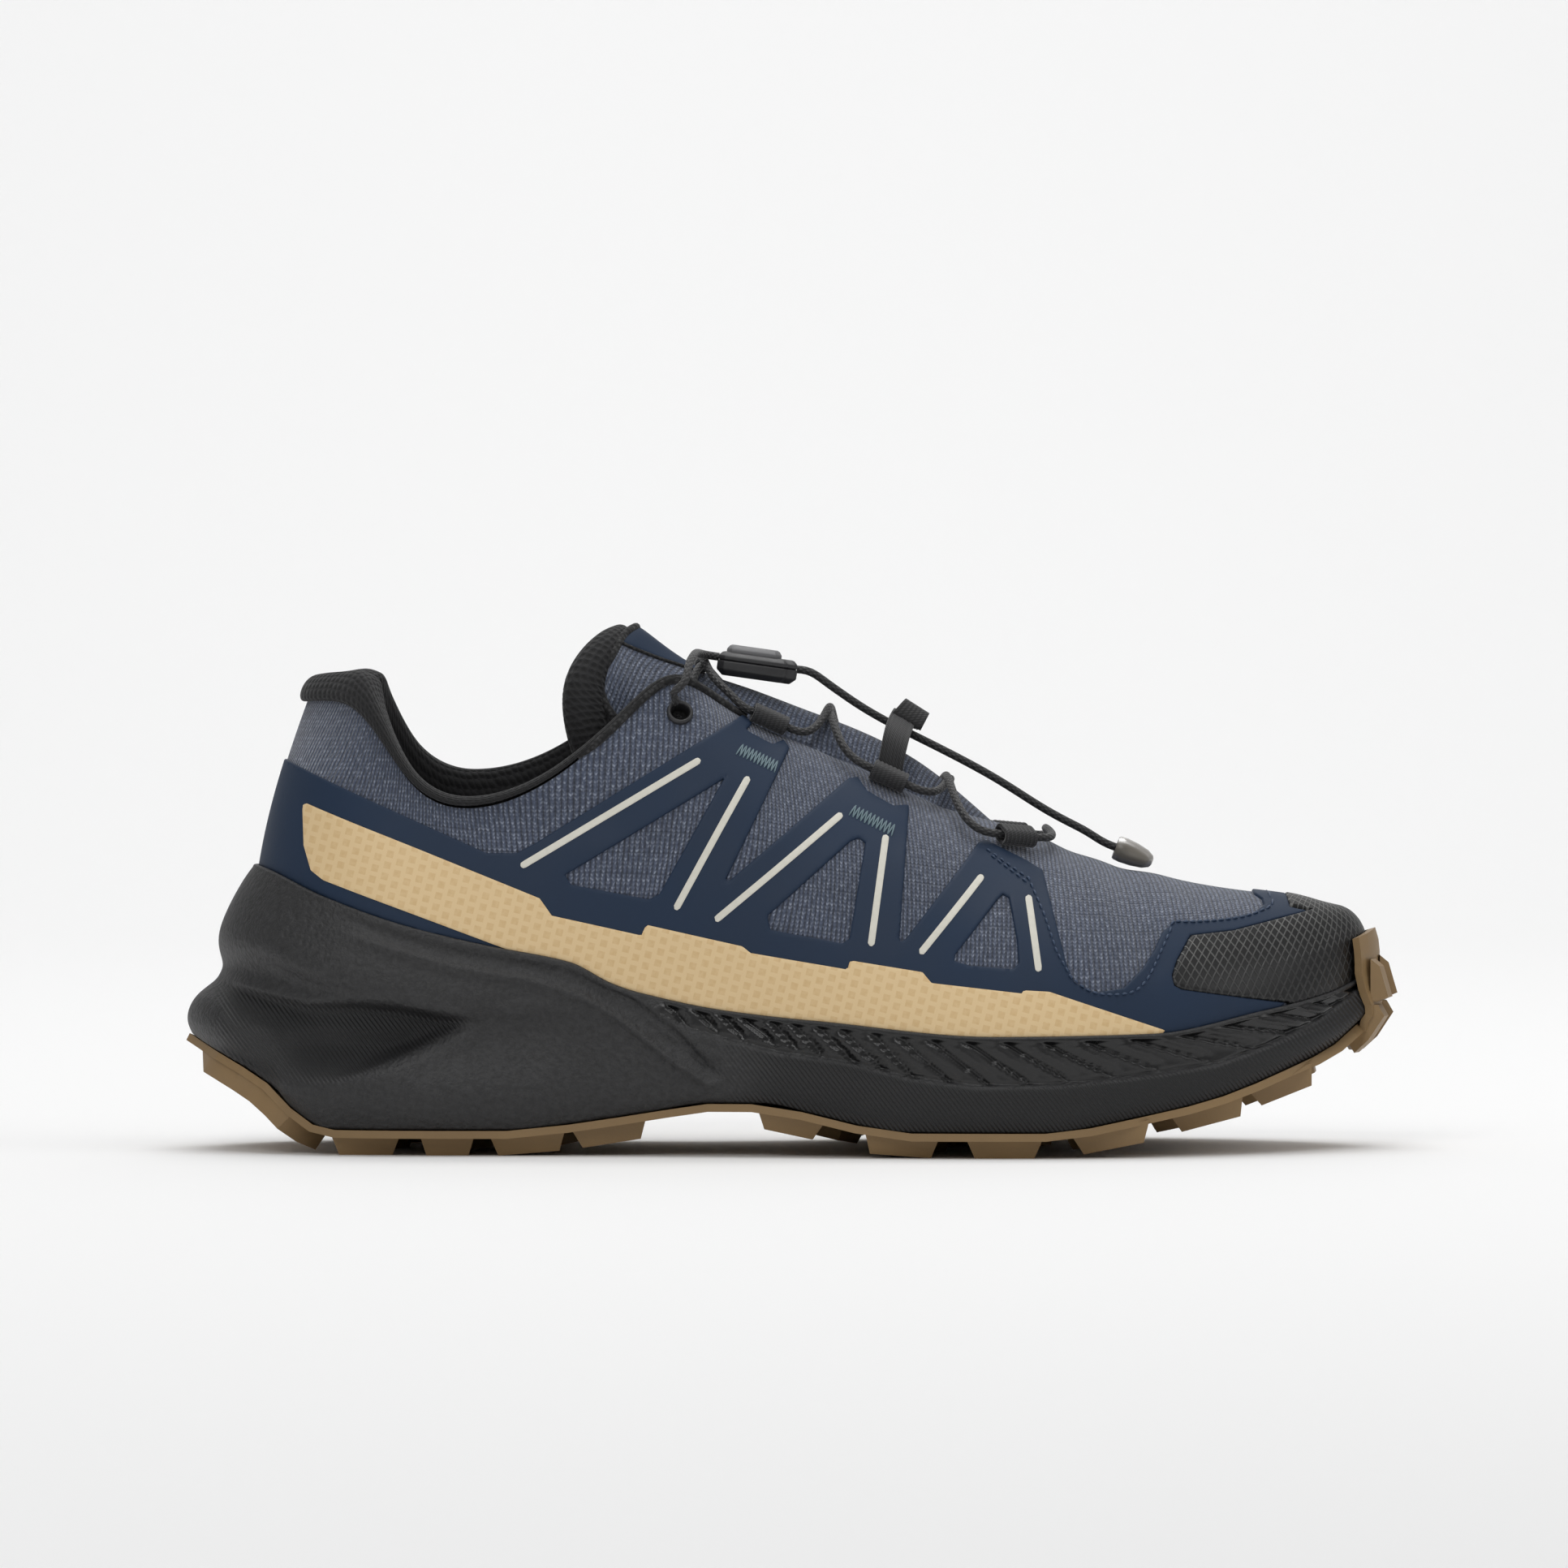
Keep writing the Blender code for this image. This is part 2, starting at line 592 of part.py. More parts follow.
def shell(name, outer, inner, finish):
    """The whole wall between two offsets from its outside, its two halves joined along the ridge."""
    outside = wall_offset(RING, LEVELS, outer)
    inside = wall_offset(RING, LEVELS, inner)
    levels = len(LEVELS)
    size = RING_SIZE * levels
    index = np.arange(2 * size).reshape(2, RING_SIZE, levels)
    for i, row in enumerate(RING):
        if row <= -THROAT_ROW:
            index[:, i, -1] = index[:, RING_SIZE - i, -1]
    faces = []
    for i in range(RING_SIZE):
        n = (i + 1) % RING_SIZE
        for j in range(levels - 1):
            for side in range(2):
                a, b = index[side, i, j], index[side, n, j]
                c, d = index[side, n, j + 1], index[side, i, j + 1]
                faces.append([a, b, c])
                if c != d:
                    faces.append([a, c, d])
        faces.append([index[0, i, 0], index[0, n, 0], index[1, n, 0], index[1, i, 0]])
        if max(abs(RING[i]), abs(RING[n])) <= THROAT_ROW:
            faces.append([index[1, i, -1], index[0, i, -1], index[0, n, -1]])
            faces.append([index[1, i, -1], index[0, n, -1], index[1, n, -1]])
    points = np.concatenate([outside.reshape(-1, 3), inside.reshape(-1, 3)])
    used = sorted({v for face in faces for v in face})
    renumber = {v: k for k, v in enumerate(used)}
    faces = [[renumber[v] for v in face] for face in faces]
    return add_mesh(name, points[used], faces, finish)


def side_prism(outline, low, high):
    """A cutter from y low to y high: its outline is x and z, in millimetres from the heel and the floor."""
    flat = np.array([(x / 1000 - SOLE_LENGTH / 2, z / 1000) for x, z in outline])
    start = np.column_stack([flat[:, 0], np.full(len(flat), low), flat[:, 1]])
    end = np.column_stack([flat[:, 0], np.full(len(flat), high), flat[:, 1]])
    return prism("cutter", start, end, flat, KNIT)


def rim_edge(start, end, lift, count=24):
    """Points in millimetres of the midsole's rim, raised by lift, from x start to x end."""
    xs = np.linspace(start, end, count)
    return [(x, 1000 * (float(rim(x / 1000 - SOLE_LENGTH / 2)) + lift)) for x in xs]


def sole_levels():
    """Rings of the midsole's outer side, from its underside to just below the rim."""
    low = underside(FOOT_RING[:, 0])
    zone_rows = [zone.row for zone in SOLE_ZONES]
    count = len(SOLE_ZONES[0].levels)
    place = np.abs(RING)
    rings = []
    for k in range(count):
        share = glide(zone_rows, [zone.levels[k][0] for zone in SOLE_ZONES], place)
        reach = glide(
            zone_rows,
            [zone.levels[k][1] * (HEEL_FLARE if zone.flare else SIDE_FLARE) for zone in SOLE_ZONES],
            place,
        )
        if k == 0:
            ring = FOOT_RING + OUTWARD * (GAP + reach)[:, None]
            low = underside(ring[:, 0])
            ring[:, 2] = low
        else:
            height = low + share * (RIM_HEIGHTS - low)
            base = wall_at_height(np.maximum(height, FOOT_RING[:, 2]))
            ring = base + OUTWARD * (GAP + reach)[:, None]
            ring[:, 2] = height
        rings.append(ring)
    return rings


SOLE_RINGS = sole_levels()


def make_midsole():
    """Moulded foam: a cup that the upper sits in, with a sculpted, flared side."""
    edge = wall_at_height(RIM_HEIGHTS)
    inner_rim = edge + OUTWARD * GAP
    lip = RIM_LIP * glide(column(SOLE_ZONES, "row"), column(SOLE_ZONES, "lip"), np.abs(RING))
    outer_rim = edge + OUTWARD * (GAP + lip)[:, None]
    rings = SOLE_RINGS + [outer_rim, inner_rim]
    for share in (0.6, 0.25):
        height = FOOT_RING[:, 2] + share * (RIM_HEIGHTS - FOOT_RING[:, 2])
        rings.append(wall_at_height(height) + OUTWARD * GAP)
    bed_edge = FOOT_RING + OUTWARD * GAP
    bed_edge[:, 2] = footbed(FOOT_RING[:, 0])
    rings.append(bed_edge)
    return ring_solid("midsole", rings, FOAM)


def make_insole():
    """Sockliner: a thin foam plate on the footbed, its edge turned up a little."""
    edge = wall_offset(RING, [0.0], -(WALL + 2 * GAP))[:, 0]
    bed = footbed(edge[:, 0])
    low = edge.copy()
    low[:, 2] = bed + GAP
    high = low.copy()
    high[:, 2] = bed + GAP + INSOLE + INSOLE_CUP
    inner = edge - OUTWARD * INSOLE_BEVEL
    inner[:, 2] = footbed(inner[:, 0]) + GAP + INSOLE
    return ring_solid("insole", [low, high, inner], MESH)


def sole_face(points, depth):
    """Points in plan carried to a depth below the midsole's underside, square to it."""
    points = np.asarray(points, float)
    step = 1e-4
    slope = (underside(points[:, 0] + step) - underside(points[:, 0] - step)) / (2 * step)
    down = np.column_stack([slope, np.zeros(len(points)), -np.ones(len(points))])
    down /= np.linalg.norm(down, axis=1)[:, None]
    base = np.column_stack([points[:, 0], points[:, 1], underside(points[:, 0])])
    return base + down * depth


# Lugs of the outsole: along is a share of LAST_LENGTH, across a share of the sole's half width there
# (negative is lateral), long and wide are shares of BALL_WIDTH, and form names an outline below.
Lug = namedtuple("Lug", "along across long wide form")
LUG_FORMS = {
    "edge": [(-0.5, -0.5), (0.5, -0.5), (0.42, 0.15), (0.12, 0.5), (-0.3, 0.42), (-0.46, 0.1)],
    "chevron": [(-0.5, -0.5), (0.1, -0.5), (0.5, 0), (0.1, 0.5), (-0.5, 0.5), (-0.12, 0)],
}
LUGS = [
    Lug(0.102, -0.76, 0.165, 0.125, "edge"),
    Lug(0.175, -0.76, 0.130, 0.135, "edge"),
    Lug(0.246, -0.77, 0.178, 0.135, "edge"),
    Lug(0.318, -0.76, 0.178, 0.130, "edge"),
    Lug(0.482, -0.78, 0.163, 0.125, "edge"),
    Lug(0.580, -0.80, 0.173, 0.140, "edge"),
    Lug(0.670, -0.81, 0.183, 0.150, "edge"),
    Lug(0.763, -0.80, 0.183, 0.150, "edge"),
    Lug(0.849, -0.77, 0.173, 0.140, "edge"),
    Lug(0.916, -0.72, 0.154, 0.110, "edge"),
    Lug(0.130, 0.76, 0.172, 0.135, "edge"),
    Lug(0.210, 0.76, 0.150, 0.135, "edge"),
    Lug(0.285, 0.76, 0.160, 0.125, "edge"),
    Lug(0.530, 0.78, 0.150, 0.120, "edge"),
    Lug(0.620, 0.80, 0.173, 0.145, "edge"),
    Lug(0.710, 0.81, 0.178, 0.150, "edge"),
    Lug(0.798, 0.80, 0.173, 0.150, "edge"),
    Lug(0.880, 0.77, 0.163, 0.130, "edge"),
    Lug(0.938, 0.62, 0.085, 0.090, "edge"),
    Lug(0.115, 0.02, 0.150, 0.190, "chevron"),
    Lug(0.190, 0.02, 0.150, 0.190, "chevron"),
    Lug(0.265, 0.02, 0.150, 0.180, "chevron"),
    Lug(0.525, -0.12, 0.140, 0.190, "chevron"),
    Lug(0.600, -0.24, 0.140, 0.190, "chevron"),
    Lug(0.620, 0.28, 0.140, 0.170, "chevron"),
    Lug(0.675, -0.25, 0.140, 0.190, "chevron"),
    Lug(0.695, 0.28, 0.140, 0.190, "chevron"),
    Lug(0.750, -0.25, 0.140, 0.190, "chevron"),
    Lug(0.770, 0.28, 0.140, 0.190, "chevron"),
    Lug(0.825, -0.22, 0.140, 0.180, "chevron"),
    Lug(0.845, 0.28, 0.140, 0.180, "chevron"),
    Lug(0.905, 0.10, 0.150, 0.200, "chevron"),
]
LUG_TAPER = 0.76
BRAKE_ROOT = GAP + 0.5 * SHEET


def lug_mesh(lug):
    """One lug: its outline on the sheet, drawn in and carried down to the tread's face."""
    row = int(np.argmin(np.abs(SOLE_RINGS[0][: RING_SIZE // 2, 0] - x_of(lug.along))))
    lateral, medial = SOLE_RINGS[0][row, 1], SOLE_RINGS[0][-row, 1]
    middle = (lateral + medial) / 2
    centre = np.array([x_of(lug.along), middle + lug.across * (medial - lateral) / 2])
    side = 1 if lug.across < 0 or lug.form == "chevron" else -1
    form = np.array(LUG_FORMS[lug.form]) * [lug.long * BALL_WIDTH, side * lug.wide * BALL_WIDTH]
    base = sole_face(centre + form, GAP + SHEET / 2)
    face = sole_face(centre + form * LUG_TAPER, GAP + SHEET + LUG_HEIGHT)
    return prism("lug", base, face, form, GUM)


# Long lugs of the heel's rounded back edge: from and to are rows of the wall table, negative on the
# medial side, and width is a share of BALL_WIDTH.
Brake = namedtuple("Brake", "start end width")
BRAKES = [Brake(0.22, 1.28, 0.115), Brake(-1.28, -0.22, 0.115)]


def brake_mesh(brake):
    """A long lug bent round the heel: it follows the sole's edge and the bevel."""
    rows = np.linspace(brake.start, brake.end, 7)
    turn = 2 * LAST_ROW
    places = np.append(np.mod(RING, turn), turn)
    ring = np.concatenate([SOLE_RINGS[0], SOLE_RINGS[0][:1]])
    out = np.concatenate([OUTWARD, OUTWARD[:1]])
    edge = np.column_stack([np.interp(np.mod(rows, turn), places, ring[:, k]) for k in range(2)])
    inward = -np.column_stack([np.interp(np.mod(rows, turn), places, out[:, k]) for k in range(2)])
    width = brake.width * BALL_WIDTH
    depth = GAP + SHEET + LUG_HEIGHT
    base = np.stack([sole_face(edge + inward * width * share, BRAKE_ROOT) for share in (0, 0.5, 1)], axis=1)
    face = np.stack([sole_face(edge + inward * width * share, depth) for share in (0.03, 0.5, 0.88)], axis=1)
    back, front = (0, -1) if brake.start > 0 else (-1, 0)
    face[back] += (face[1 if back == 0 else -2] - face[back]) * 0.9
    face[front] += (face[-2 if front == -1 else 1] - face[front]) * 0.15
    return sheet_solid("brake", face, base, GUM)


STRAP_TOPS = (0.25, 0.5, 0.75, 1.0)  # shares of STRAP_CLIMB above the rim
STRAP_CLIMB = 0.0112  # how far the strap climbs over the toe cap


def make_outsole():
    """Gum rubber: a thin sheet with tapered lugs, turned up over the toe as a strap."""
    ring = SOLE_RINGS[0] + OUTWARD * SHEET_EDGE
    top = sole_face(ring[:, :2], GAP)
    low = sole_face(ring[:, :2], GAP + SHEET)
    toe = np.abs(RING) > 14.5
    low[toe, :2] += OUTWARD[toe, :2] * STRAP * 0.5
    outsole = ring_solid("outsole", [top, low], GUM)
    boolean(outsole, join([lug_mesh(lug) for lug in LUGS] + [brake_mesh(brake) for brake in BRAKES]), "UNION")
    boolean(outsole, make_toe_strap(), "UNION")
    return outsole


STRAP_HALF = 3  # columns of the ring on each side of the toe tip

# Side profiles of the strap's lugs: out from the strap's face and up from the midsole's underside,
# as shares of TOE_LUG. Some points of each lie inside the strap and the sheet.
TOE_LUG_FORMS = [
    [(-0.33, 1.36), (0.11, 1.36), (0.89, 1.69), (0.28, 3.78), (-0.33, 4.28)],
    [
        (-0.28, 1.14), (-0.33, 0.28), (-0.83, -0.33), (-2.22, -0.92), (-1.47, -2.19), (-0.50, -1.31),
        (0.61, 0.36), (0.17, 1.14),
    ],
]
TOE_LUG_WIDTH = 0.0062


def strap_grid():
    """The strap's inner face: it follows the midsole's front and then the toe cap, a gap away."""
    half = RING_SIZE // 2
    columns = [half + k for k in range(-STRAP_HALF, STRAP_HALF + 1)]
    outward = OUTWARD[columns]
    start = sole_face(SOLE_RINGS[0][columns][:, :2], GAP + SHEET * 0.6) + outward * GAP
    levels = [start]
    for ring in SOLE_RINGS[1:]:
        levels.append(ring[columns] + outward * GAP)
    for share in STRAP_TOPS:
        ring = wall_at_height(RIM_HEIGHTS + share * STRAP_CLIMB) + OUTWARD * (GAP + CAP + 2 * GAP)
        levels.append(ring[columns])
    inside = np.stack(levels, axis=1)
    along = np.gradient(inside, axis=0)
    upward = np.gradient(inside, axis=1)
    normal = np.cross(along, upward)
    return inside, normal / np.linalg.norm(normal, axis=2, keepdims=True)


def toe_lug(form, column_index, face):
    """One lug of the strap: its side profile in the plane of a column, given a width along the strap."""
    out = OUTWARD[column_index]
    side = np.array([-out[1], out[0], 0])
    low = underside(SOLE_RINGS[0][column_index, 0])
    profile = np.array(form) * TOE_LUG
    middle = np.array([face[0], face[1], 0]) + profile[:, :1] * out
    middle[:, 2] = low + profile[:, 1]
    half = TOE_LUG_WIDTH / 2 * np.where(profile[:, :1] > 0, 0.85, 1)
    return prism("lug", middle - side * half, middle + side * half, profile, GUM)


def make_toe_strap():
    inside, normal = strap_grid()
    outside = inside + normal * STRAP
    strap = sheet_solid("strap", inside, outside, GUM)
    half = RING_SIZE // 2
    lugs = []
    for step in (-2, 0, 2):
        faces = outside[step + STRAP_HALF]
        widest = faces[np.argmax(faces @ OUTWARD[half + step])]
        for form in TOE_LUG_FORMS:
            lugs.append(toe_lug(form, half + step, widest))
    return boolean(strap, join(lugs), "UNION")


# Outlines of the flat pieces on the upper, as the side view shows them: x from the back of the heel and
# z from the floor, in millimetres. The same outlines are cut through both sides of the shoe.
FILM_EDGE = [
    (10, 96.4), (24, 96.4), (75, 73.6), (82.5, 73.6), (87, 76), (137.3, 106.9), (139.7, 105.3),
    (137.9, 103.5), (144.8, 99.8), (147.6, 100.9), (148.8, 99.1), (133.5, 67.8), (133.2, 66.9),
    (134.8, 67.2), (163.7, 91.6), (165.7, 91.8),
    (168, 88.5), (174.5, 84.8), (178.2, 85.1), (175.6, 52.9), (176.2, 52.3), (177.5, 52.9), (195.7, 76),
    (197, 76.5), (207, 71.5), (211, 69.1), (212.4, 63.1), (214.2, 55.4), (216.3, 46.9), (218.2, 42.5),
    (223.2, 39.9), (230.5, 41), (235.4, 45.7), (238.4, 50), (240.5, 54.2), (243.6, 56.6), (253, 56.6),
    (263.8, 58.2), (266.4, 60.1), (266.1, 61.6), (264.3, 62.8), (264.3, 70), (272, 70), (272, 62.4),
    (272.5, 59.4), (276.6, 58.5), (269.7, 57.1), (258, 54.5), (247.1, 53.5), (243.5, 47.7), (242.1, 43.9),
    (242.7, 41.4), (244.7, 40.4), (254.3, 39), (270.6, 36.7),
]
WINDOWS = [
    [(94, 68.6), (95.6, 66), (115, 62.4), (117.6, 63.8), (133.7, 92.6)],
    [(143.5, 58.8), (144.3, 55.2), (162.1, 51.9), (163.9, 53), (167.9, 76.3), (166.1, 77.7), (163.9, 76.9)],
    [
        (189.2, 49.5), (189, 47.7), (193, 46.5), (203.5, 45.7), (205.1, 47.1), (204.7, 53), (202.9, 63),
        (201.1, 64), (199.5, 62.4),
    ],
]
PANEL_EDGE = [
    (30.2, 85), (31, 85.4), (88, 62.6), (91, 58.4), (113.2, 53.6), (114.4, 56.2), (137.7, 51.1),
    (139.7, 49.5), (163.5, 45.5), (164.1, 47.7), (181.4, 44.9), (183.6, 42.3), (205.8, 39.7),
    (205.7, 40.5), (212.2, 40.1),
    (240, 30.8),
]
PANEL_FOOT = [(80, 50.6), (35.4, 67.2), (32.4, 69.5), (30.6, 75.5)]
CAP_EDGE = [
    (305, 70), (272.4, 70), (272.4, 62.6), (273, 59.9), (278.4, 58.6), (269.8, 56.6), (258.1, 54),
    (247.4, 53), (244, 47.5), (242.6, 43.9), (243.1, 41.8), (244.8, 40.9), (254.3, 39.5), (271.1, 37.2),
]
PANEL_PRINT = 0.0006  # thickness of the sand panel


def side_piece(name, outline, holes, inner, thickness, finish, sides=((-0.08, 0.08),)):
    """A thin piece on the upper: the wall between two offsets, cut by its outline, less its holes."""
    for low, high in sides:
        piece = shell(name, inner + thickness, inner, finish)
        boolean(piece, side_prism(outline, low, high), "INTERSECT")
        for hole in holes:
            boolean(piece, side_prism(hole, low - 0.01, high + 0.01), "DIFFERENCE")
        merge_flat(piece)


def make_side_film():
    """Navy film: a heel wrap and chevron arms, with the knit showing through its windows."""
    outline = FILM_EDGE + rim_edge(269, 10, 2 * GAP, 26)
    side_piece("side_film", outline, WINDOWS, GAP, FILM, NAVY)


def make_panels():
    """Sand panels printed on the film, one on each side."""
    outline = PANEL_EDGE + rim_edge(244, 84, 2 * GAP, 16) + PANEL_FOOT
    for name, low, high in (("lateral_panel", -0.08, -0.004), ("medial_panel", 0.004, 0.08)):
        side_piece(name, outline, [], 2 * GAP + FILM, PANEL_PRINT, SAND, ((low, high),))


def make_toe_cap():
    """Toe cap: the front of the wall, down to the rim."""
    outline = CAP_EDGE + rim_edge(272, 305, 2 * GAP, 8)
    side_piece("toe_cap", outline, [], GAP, CAP, CAP_RUBBER)


# Collar padding: rows of the wall table, how far it stands over the knit as a share of COLLAR_ROLL, and
# its thickness inside as a share of COLLAR_PAD.
PadRow = namedtuple("PadRow", "row roll thick")
PAD_ROWS = [
    PadRow(0, 1.00, 1.00),
    PadRow(1.5, 1.00, 1.00),
    PadRow(2.5, 0.75, 1.00),
    PadRow(3.5, 0.40, 0.95),
    PadRow(4.5, 0.33, 0.80),
    PadRow(5.5, 0.30, 0.50),
    PadRow(6.5, 0.27, 0.32),
    PadRow(7.5, 0.24, 0.28),
    PadRow(8.0, 0.20, 0.24),
]


def pad_thickness(rows):
    return COLLAR_PAD * glide(column(PAD_ROWS, "row"), column(PAD_ROWS, "thick"), np.abs(rows))


def make_collar_padding():
    """Padded collar: a roll on the knit's edge, and a lining that hangs inside it."""
    rows = np.sort(RING[np.abs(RING) <= 8])
    roll = (COLLAR_ROLL * glide(column(PAD_ROWS, "row"), column(PAD_ROWS, "roll"), np.abs(rows)))[:, None]
    pad = pad_thickness(rows)[:, None]
    levels = LEVELS[-3:]
    face = wall(rows, levels)
    out = wall_normals(rows, levels)
    top = face[:, -1]
    rise = top - wall(rows, [0.97])[:, 0]
    rise /= np.linalg.norm(rise, axis=1)[:, None]
    side = out[:, -1]
    ring = [
        top + rise * 2 * GAP + side * 0.0001,
        top + rise * (GAP + 0.40 * roll) + side * 0.0010,
        top + rise * (GAP + 0.85 * roll) - side * 0.0006,
        top + rise * (GAP + roll) - side * (WALL + 0.35 * pad),
        top + rise * (GAP + 0.70 * roll) - side * (WALL + GAP + 0.90 * pad),
        face[:, 1] - out[:, 1] * (WALL + GAP + pad),
        face[:, 0] - out[:, 0] * (WALL + GAP + 0.35 * pad),
        face[:, 0] - out[:, 0] * (WALL + 2 * GAP),
        face[:, 1] - out[:, 1] * (WALL + 2 * GAP),
        top + rise * 2 * GAP - side * (WALL + 2 * GAP),
    ]
    size = len(ring)
    points = np.stack(ring, axis=1).reshape(-1, 3)
    faces = []
    for i in range(len(rows) - 1):
        for j in range(size):
            a, b = i * size + j, i * size + (j + 1) % size
            faces += [(a, b, b + size), (a, b + size, a + size)]
    fill = [(0, 1, 9), (1, 2, 9), (2, 3, 9), (3, 4, 9), (4, 8, 9), (4, 5, 8), (5, 7, 8), (5, 6, 7)]
    faces += fill + [tuple(i + (len(rows) - 1) * size for i in f) for f in fill]
    return add_mesh("collar_padding", points, faces, MESH)


# Tongue stations, toe end first. Those with a row follow the wall's inside at that row; the rest give
# their edge and wing as x, half width and z. Crown is x and z. All in millimetres from heel and floor.
Station = namedtuple("Station", "row crown edge wing")
TONGUE_MIDDLE = 0.0040  # the tongue's centre line lies this far to the medial side
STATIONS = [
    Station(10.75, (203.5, 75.5), None, None),
    Station(10.3, (194, 83.5), None, None),
    Station(9.7, (181, 94.0), None, None),
    Station(9.1, (166, 102.0), None, None),
    Station(8.5, (152, 107.5), None, None),
    Station(7.9, (139, 112.7), None, None),
    Station(None, (129, 116.8), (124, 16.5, 108.0), (119, 18.8, 96.0)),
    Station(None, (120, 122.6), (112.5, 16.5, 112.5), (108, 18.6, 101.0)),
    Station(None, (113.5, 127.5), (106.5, 15.5, 119.0), (102.5, 18.0, 108.5)),
    Station(None, (110.5, 129.3), (105.5, 12.0, 123.5), (102.0, 14.5, 116.0)),
]


def tongue_section(station):
    """Seven points of the tongue's outside at one station, from the lateral wing to the medial one."""
    crown = np.array([station.crown[0] / 1000 - SOLE_LENGTH / 2, TONGUE_MIDDLE, station.crown[1] / 1000])
    if station.row is None:
        edges = []
        for side in (-1, 1):
            spots = []
            for x, half, z in (station.wing, station.edge):
                spots.append((x / 1000 - SOLE_LENGTH / 2, TONGUE_MIDDLE + side * half / 1000, z / 1000))
            edges.append(np.array(spots))
    else:
        under_pad = pad_thickness([station.row])[0] if station.row < 9 else 0
        depth = -(WALL + 5 * GAP + under_pad)
        edges = [wall_offset([side * station.row], [0.80, 0.97], depth)[0] for side in (1, -1)]
    spots = []
    for wing, edge in edges:
        middle = (edge + crown) / 2
        middle[2] = edge[2] + 0.72 * (crown[2] - edge[2])
        spots.append([wing, (wing + edge) / 2 + (edge - crown) * (0.04, 0.04, 0), edge, middle])
    return np.array(spots[0] + [crown] + spots[1][::-1])


def tongue_grids():
    """The tongue's outside, smoothed from station to station, and its inside."""
    sections = np.array([tongue_section(station) for station in STATIONS])
    count = 2 * len(STATIONS) - 1
    knots = np.arange(len(STATIONS))
    flat = natural(knots, sections.reshape(len(STATIONS), -1), np.linspace(0, len(STATIONS) - 1, count))
    outside = flat.reshape(count, -1, 3)
    normal = np.cross(np.gradient(outside, axis=0), np.gradient(outside, axis=1))
    normal /= np.linalg.norm(normal, axis=2, keepdims=True)
    if normal[:, outside.shape[1] // 2, 2].mean() < 0:
        normal = -normal
    share = np.array([0.35, 0.7, 1, 1, 1, 1, 1, 0.7, 0.35])[None, :, None]
    return outside, outside - normal * TONGUE * share


def make_tongue():
    outside, inside = tongue_grids()
    return sheet_solid("tongue", outside, inside, MESH)


def wall_spot(x, z, side):
    """The wall's point, outward normal and forward tangent at x and z of the side view, in millimetres."""
    rows = np.linspace(5, LAST_ROW - 1, 361) * side
    levels = np.linspace(0.3, 1, 141)
    points = wall(rows, levels)
    far = (points[:, :, 0] - (x / 1000 - SOLE_LENGTH / 2)) ** 2 + (points[:, :, 2] - z / 1000) ** 2
    i, j = np.unravel_index(np.argmin(far), far.shape)
    normal = wall_normals(rows[[i]], levels[[j]])[0, 0]
    ahead = top_line(rows[[min(i + 4, 360)]]) - top_line(rows[[max(i - 4, 0)]])
    ahead = ahead[0] - normal * (ahead[0] @ normal)
    return points[i, j], normal, ahead / np.linalg.norm(ahead)


def disc(centre, normal, radius, low, high, finish, sides=12):
    """A round block on a surface, from low to high along its normal."""
    turn = Vector(normal).to_track_quat("Z", "Y").to_matrix()
    angles = np.arange(sides) * 2 * math.pi / sides
    flat = np.column_stack([np.cos(angles), np.sin(angles)]) * radius
    ring = np.array([turn @ Vector((u, v, 0)) for u, v in flat]) + centre
    return prism("disc", ring + normal * low, ring + normal * high, flat, finish)


EYELET_SPOT = (122.4, 107.9)  # x and z in the side view, millimetres
LOOP_SPOTS = [(143.0, 104.4), (172.6, 90.0), (203.8, 75.4)]


def make_eyelets(upper):
    """Punched eyelets: a hole through the wall and a ring on its face, one on each side."""
    for name, side in (("lateral_eyelet", 1), ("medial_eyelet", -1)):
        centre, normal, _ = wall_spot(*EYELET_SPOT, side)
        boolean(upper, disc(centre, normal, EYELET_HOLE, -0.006, 0.004, PLASTIC), "DIFFERENCE")
        ring = disc(centre, normal, EYELET_RADIUS, GAP, GAP + EYELET_RING, PLASTIC)
        boolean(ring, disc(centre, normal, EYELET_HOLE, -0.002, 0.004, PLASTIC), "DIFFERENCE")
        ring.name = name


LOOP_THICK = 2 * (LOOP_TAPE + GAP) + CORD


def loop_frame(spot, side):
    """A webbing loop's centre, its outward direction, the cord's direction and the way up to the throat."""
    point, normal, ahead = wall_spot(*spot, side)
    up = np.cross(ahead, normal) * side
    up = up if up[2] > 0 else -up
    centre = point + normal * (2 * GAP + LOOP_THICK / 2)
    return centre, normal, ahead, up


def make_loops():
    """Webbing loops that hold the cord: a flat tape folded round it."""
    number = 0
    for spot in LOOP_SPOTS:
        number += 1
        for word, side in (("lateral", 1), ("medial", -1)):
            centre, normal, ahead, up = loop_frame(spot, side)
            solid = None
            for half_long, half_thick, half_wide in (
                (LOOP_LENGTH / 2, LOOP_THICK / 2, LOOP_WIDTH / 2),
                (LOOP_LENGTH / 2 - LOOP_TAPE, LOOP_THICK / 2 - LOOP_TAPE, LOOP_WIDTH),
            ):
                angles = np.linspace(0, 2 * math.pi, 8, endpoint=False) + math.pi / 8
                flat = np.column_stack([np.cos(angles), np.sin(angles)]) * half_thick
                flat[:, 0] += np.sign(flat[:, 0]) * (half_long - half_thick)
                ring = centre + flat[:, :1] * up + flat[:, 1:] * normal
                rear = ring - ahead * half_wide
                block = prism(f"{word}_loop_{number}", rear, ring + ahead * half_wide, flat, WEBBING)
                solid = block if solid is None else boolean(solid, block, "DIFFERENCE")


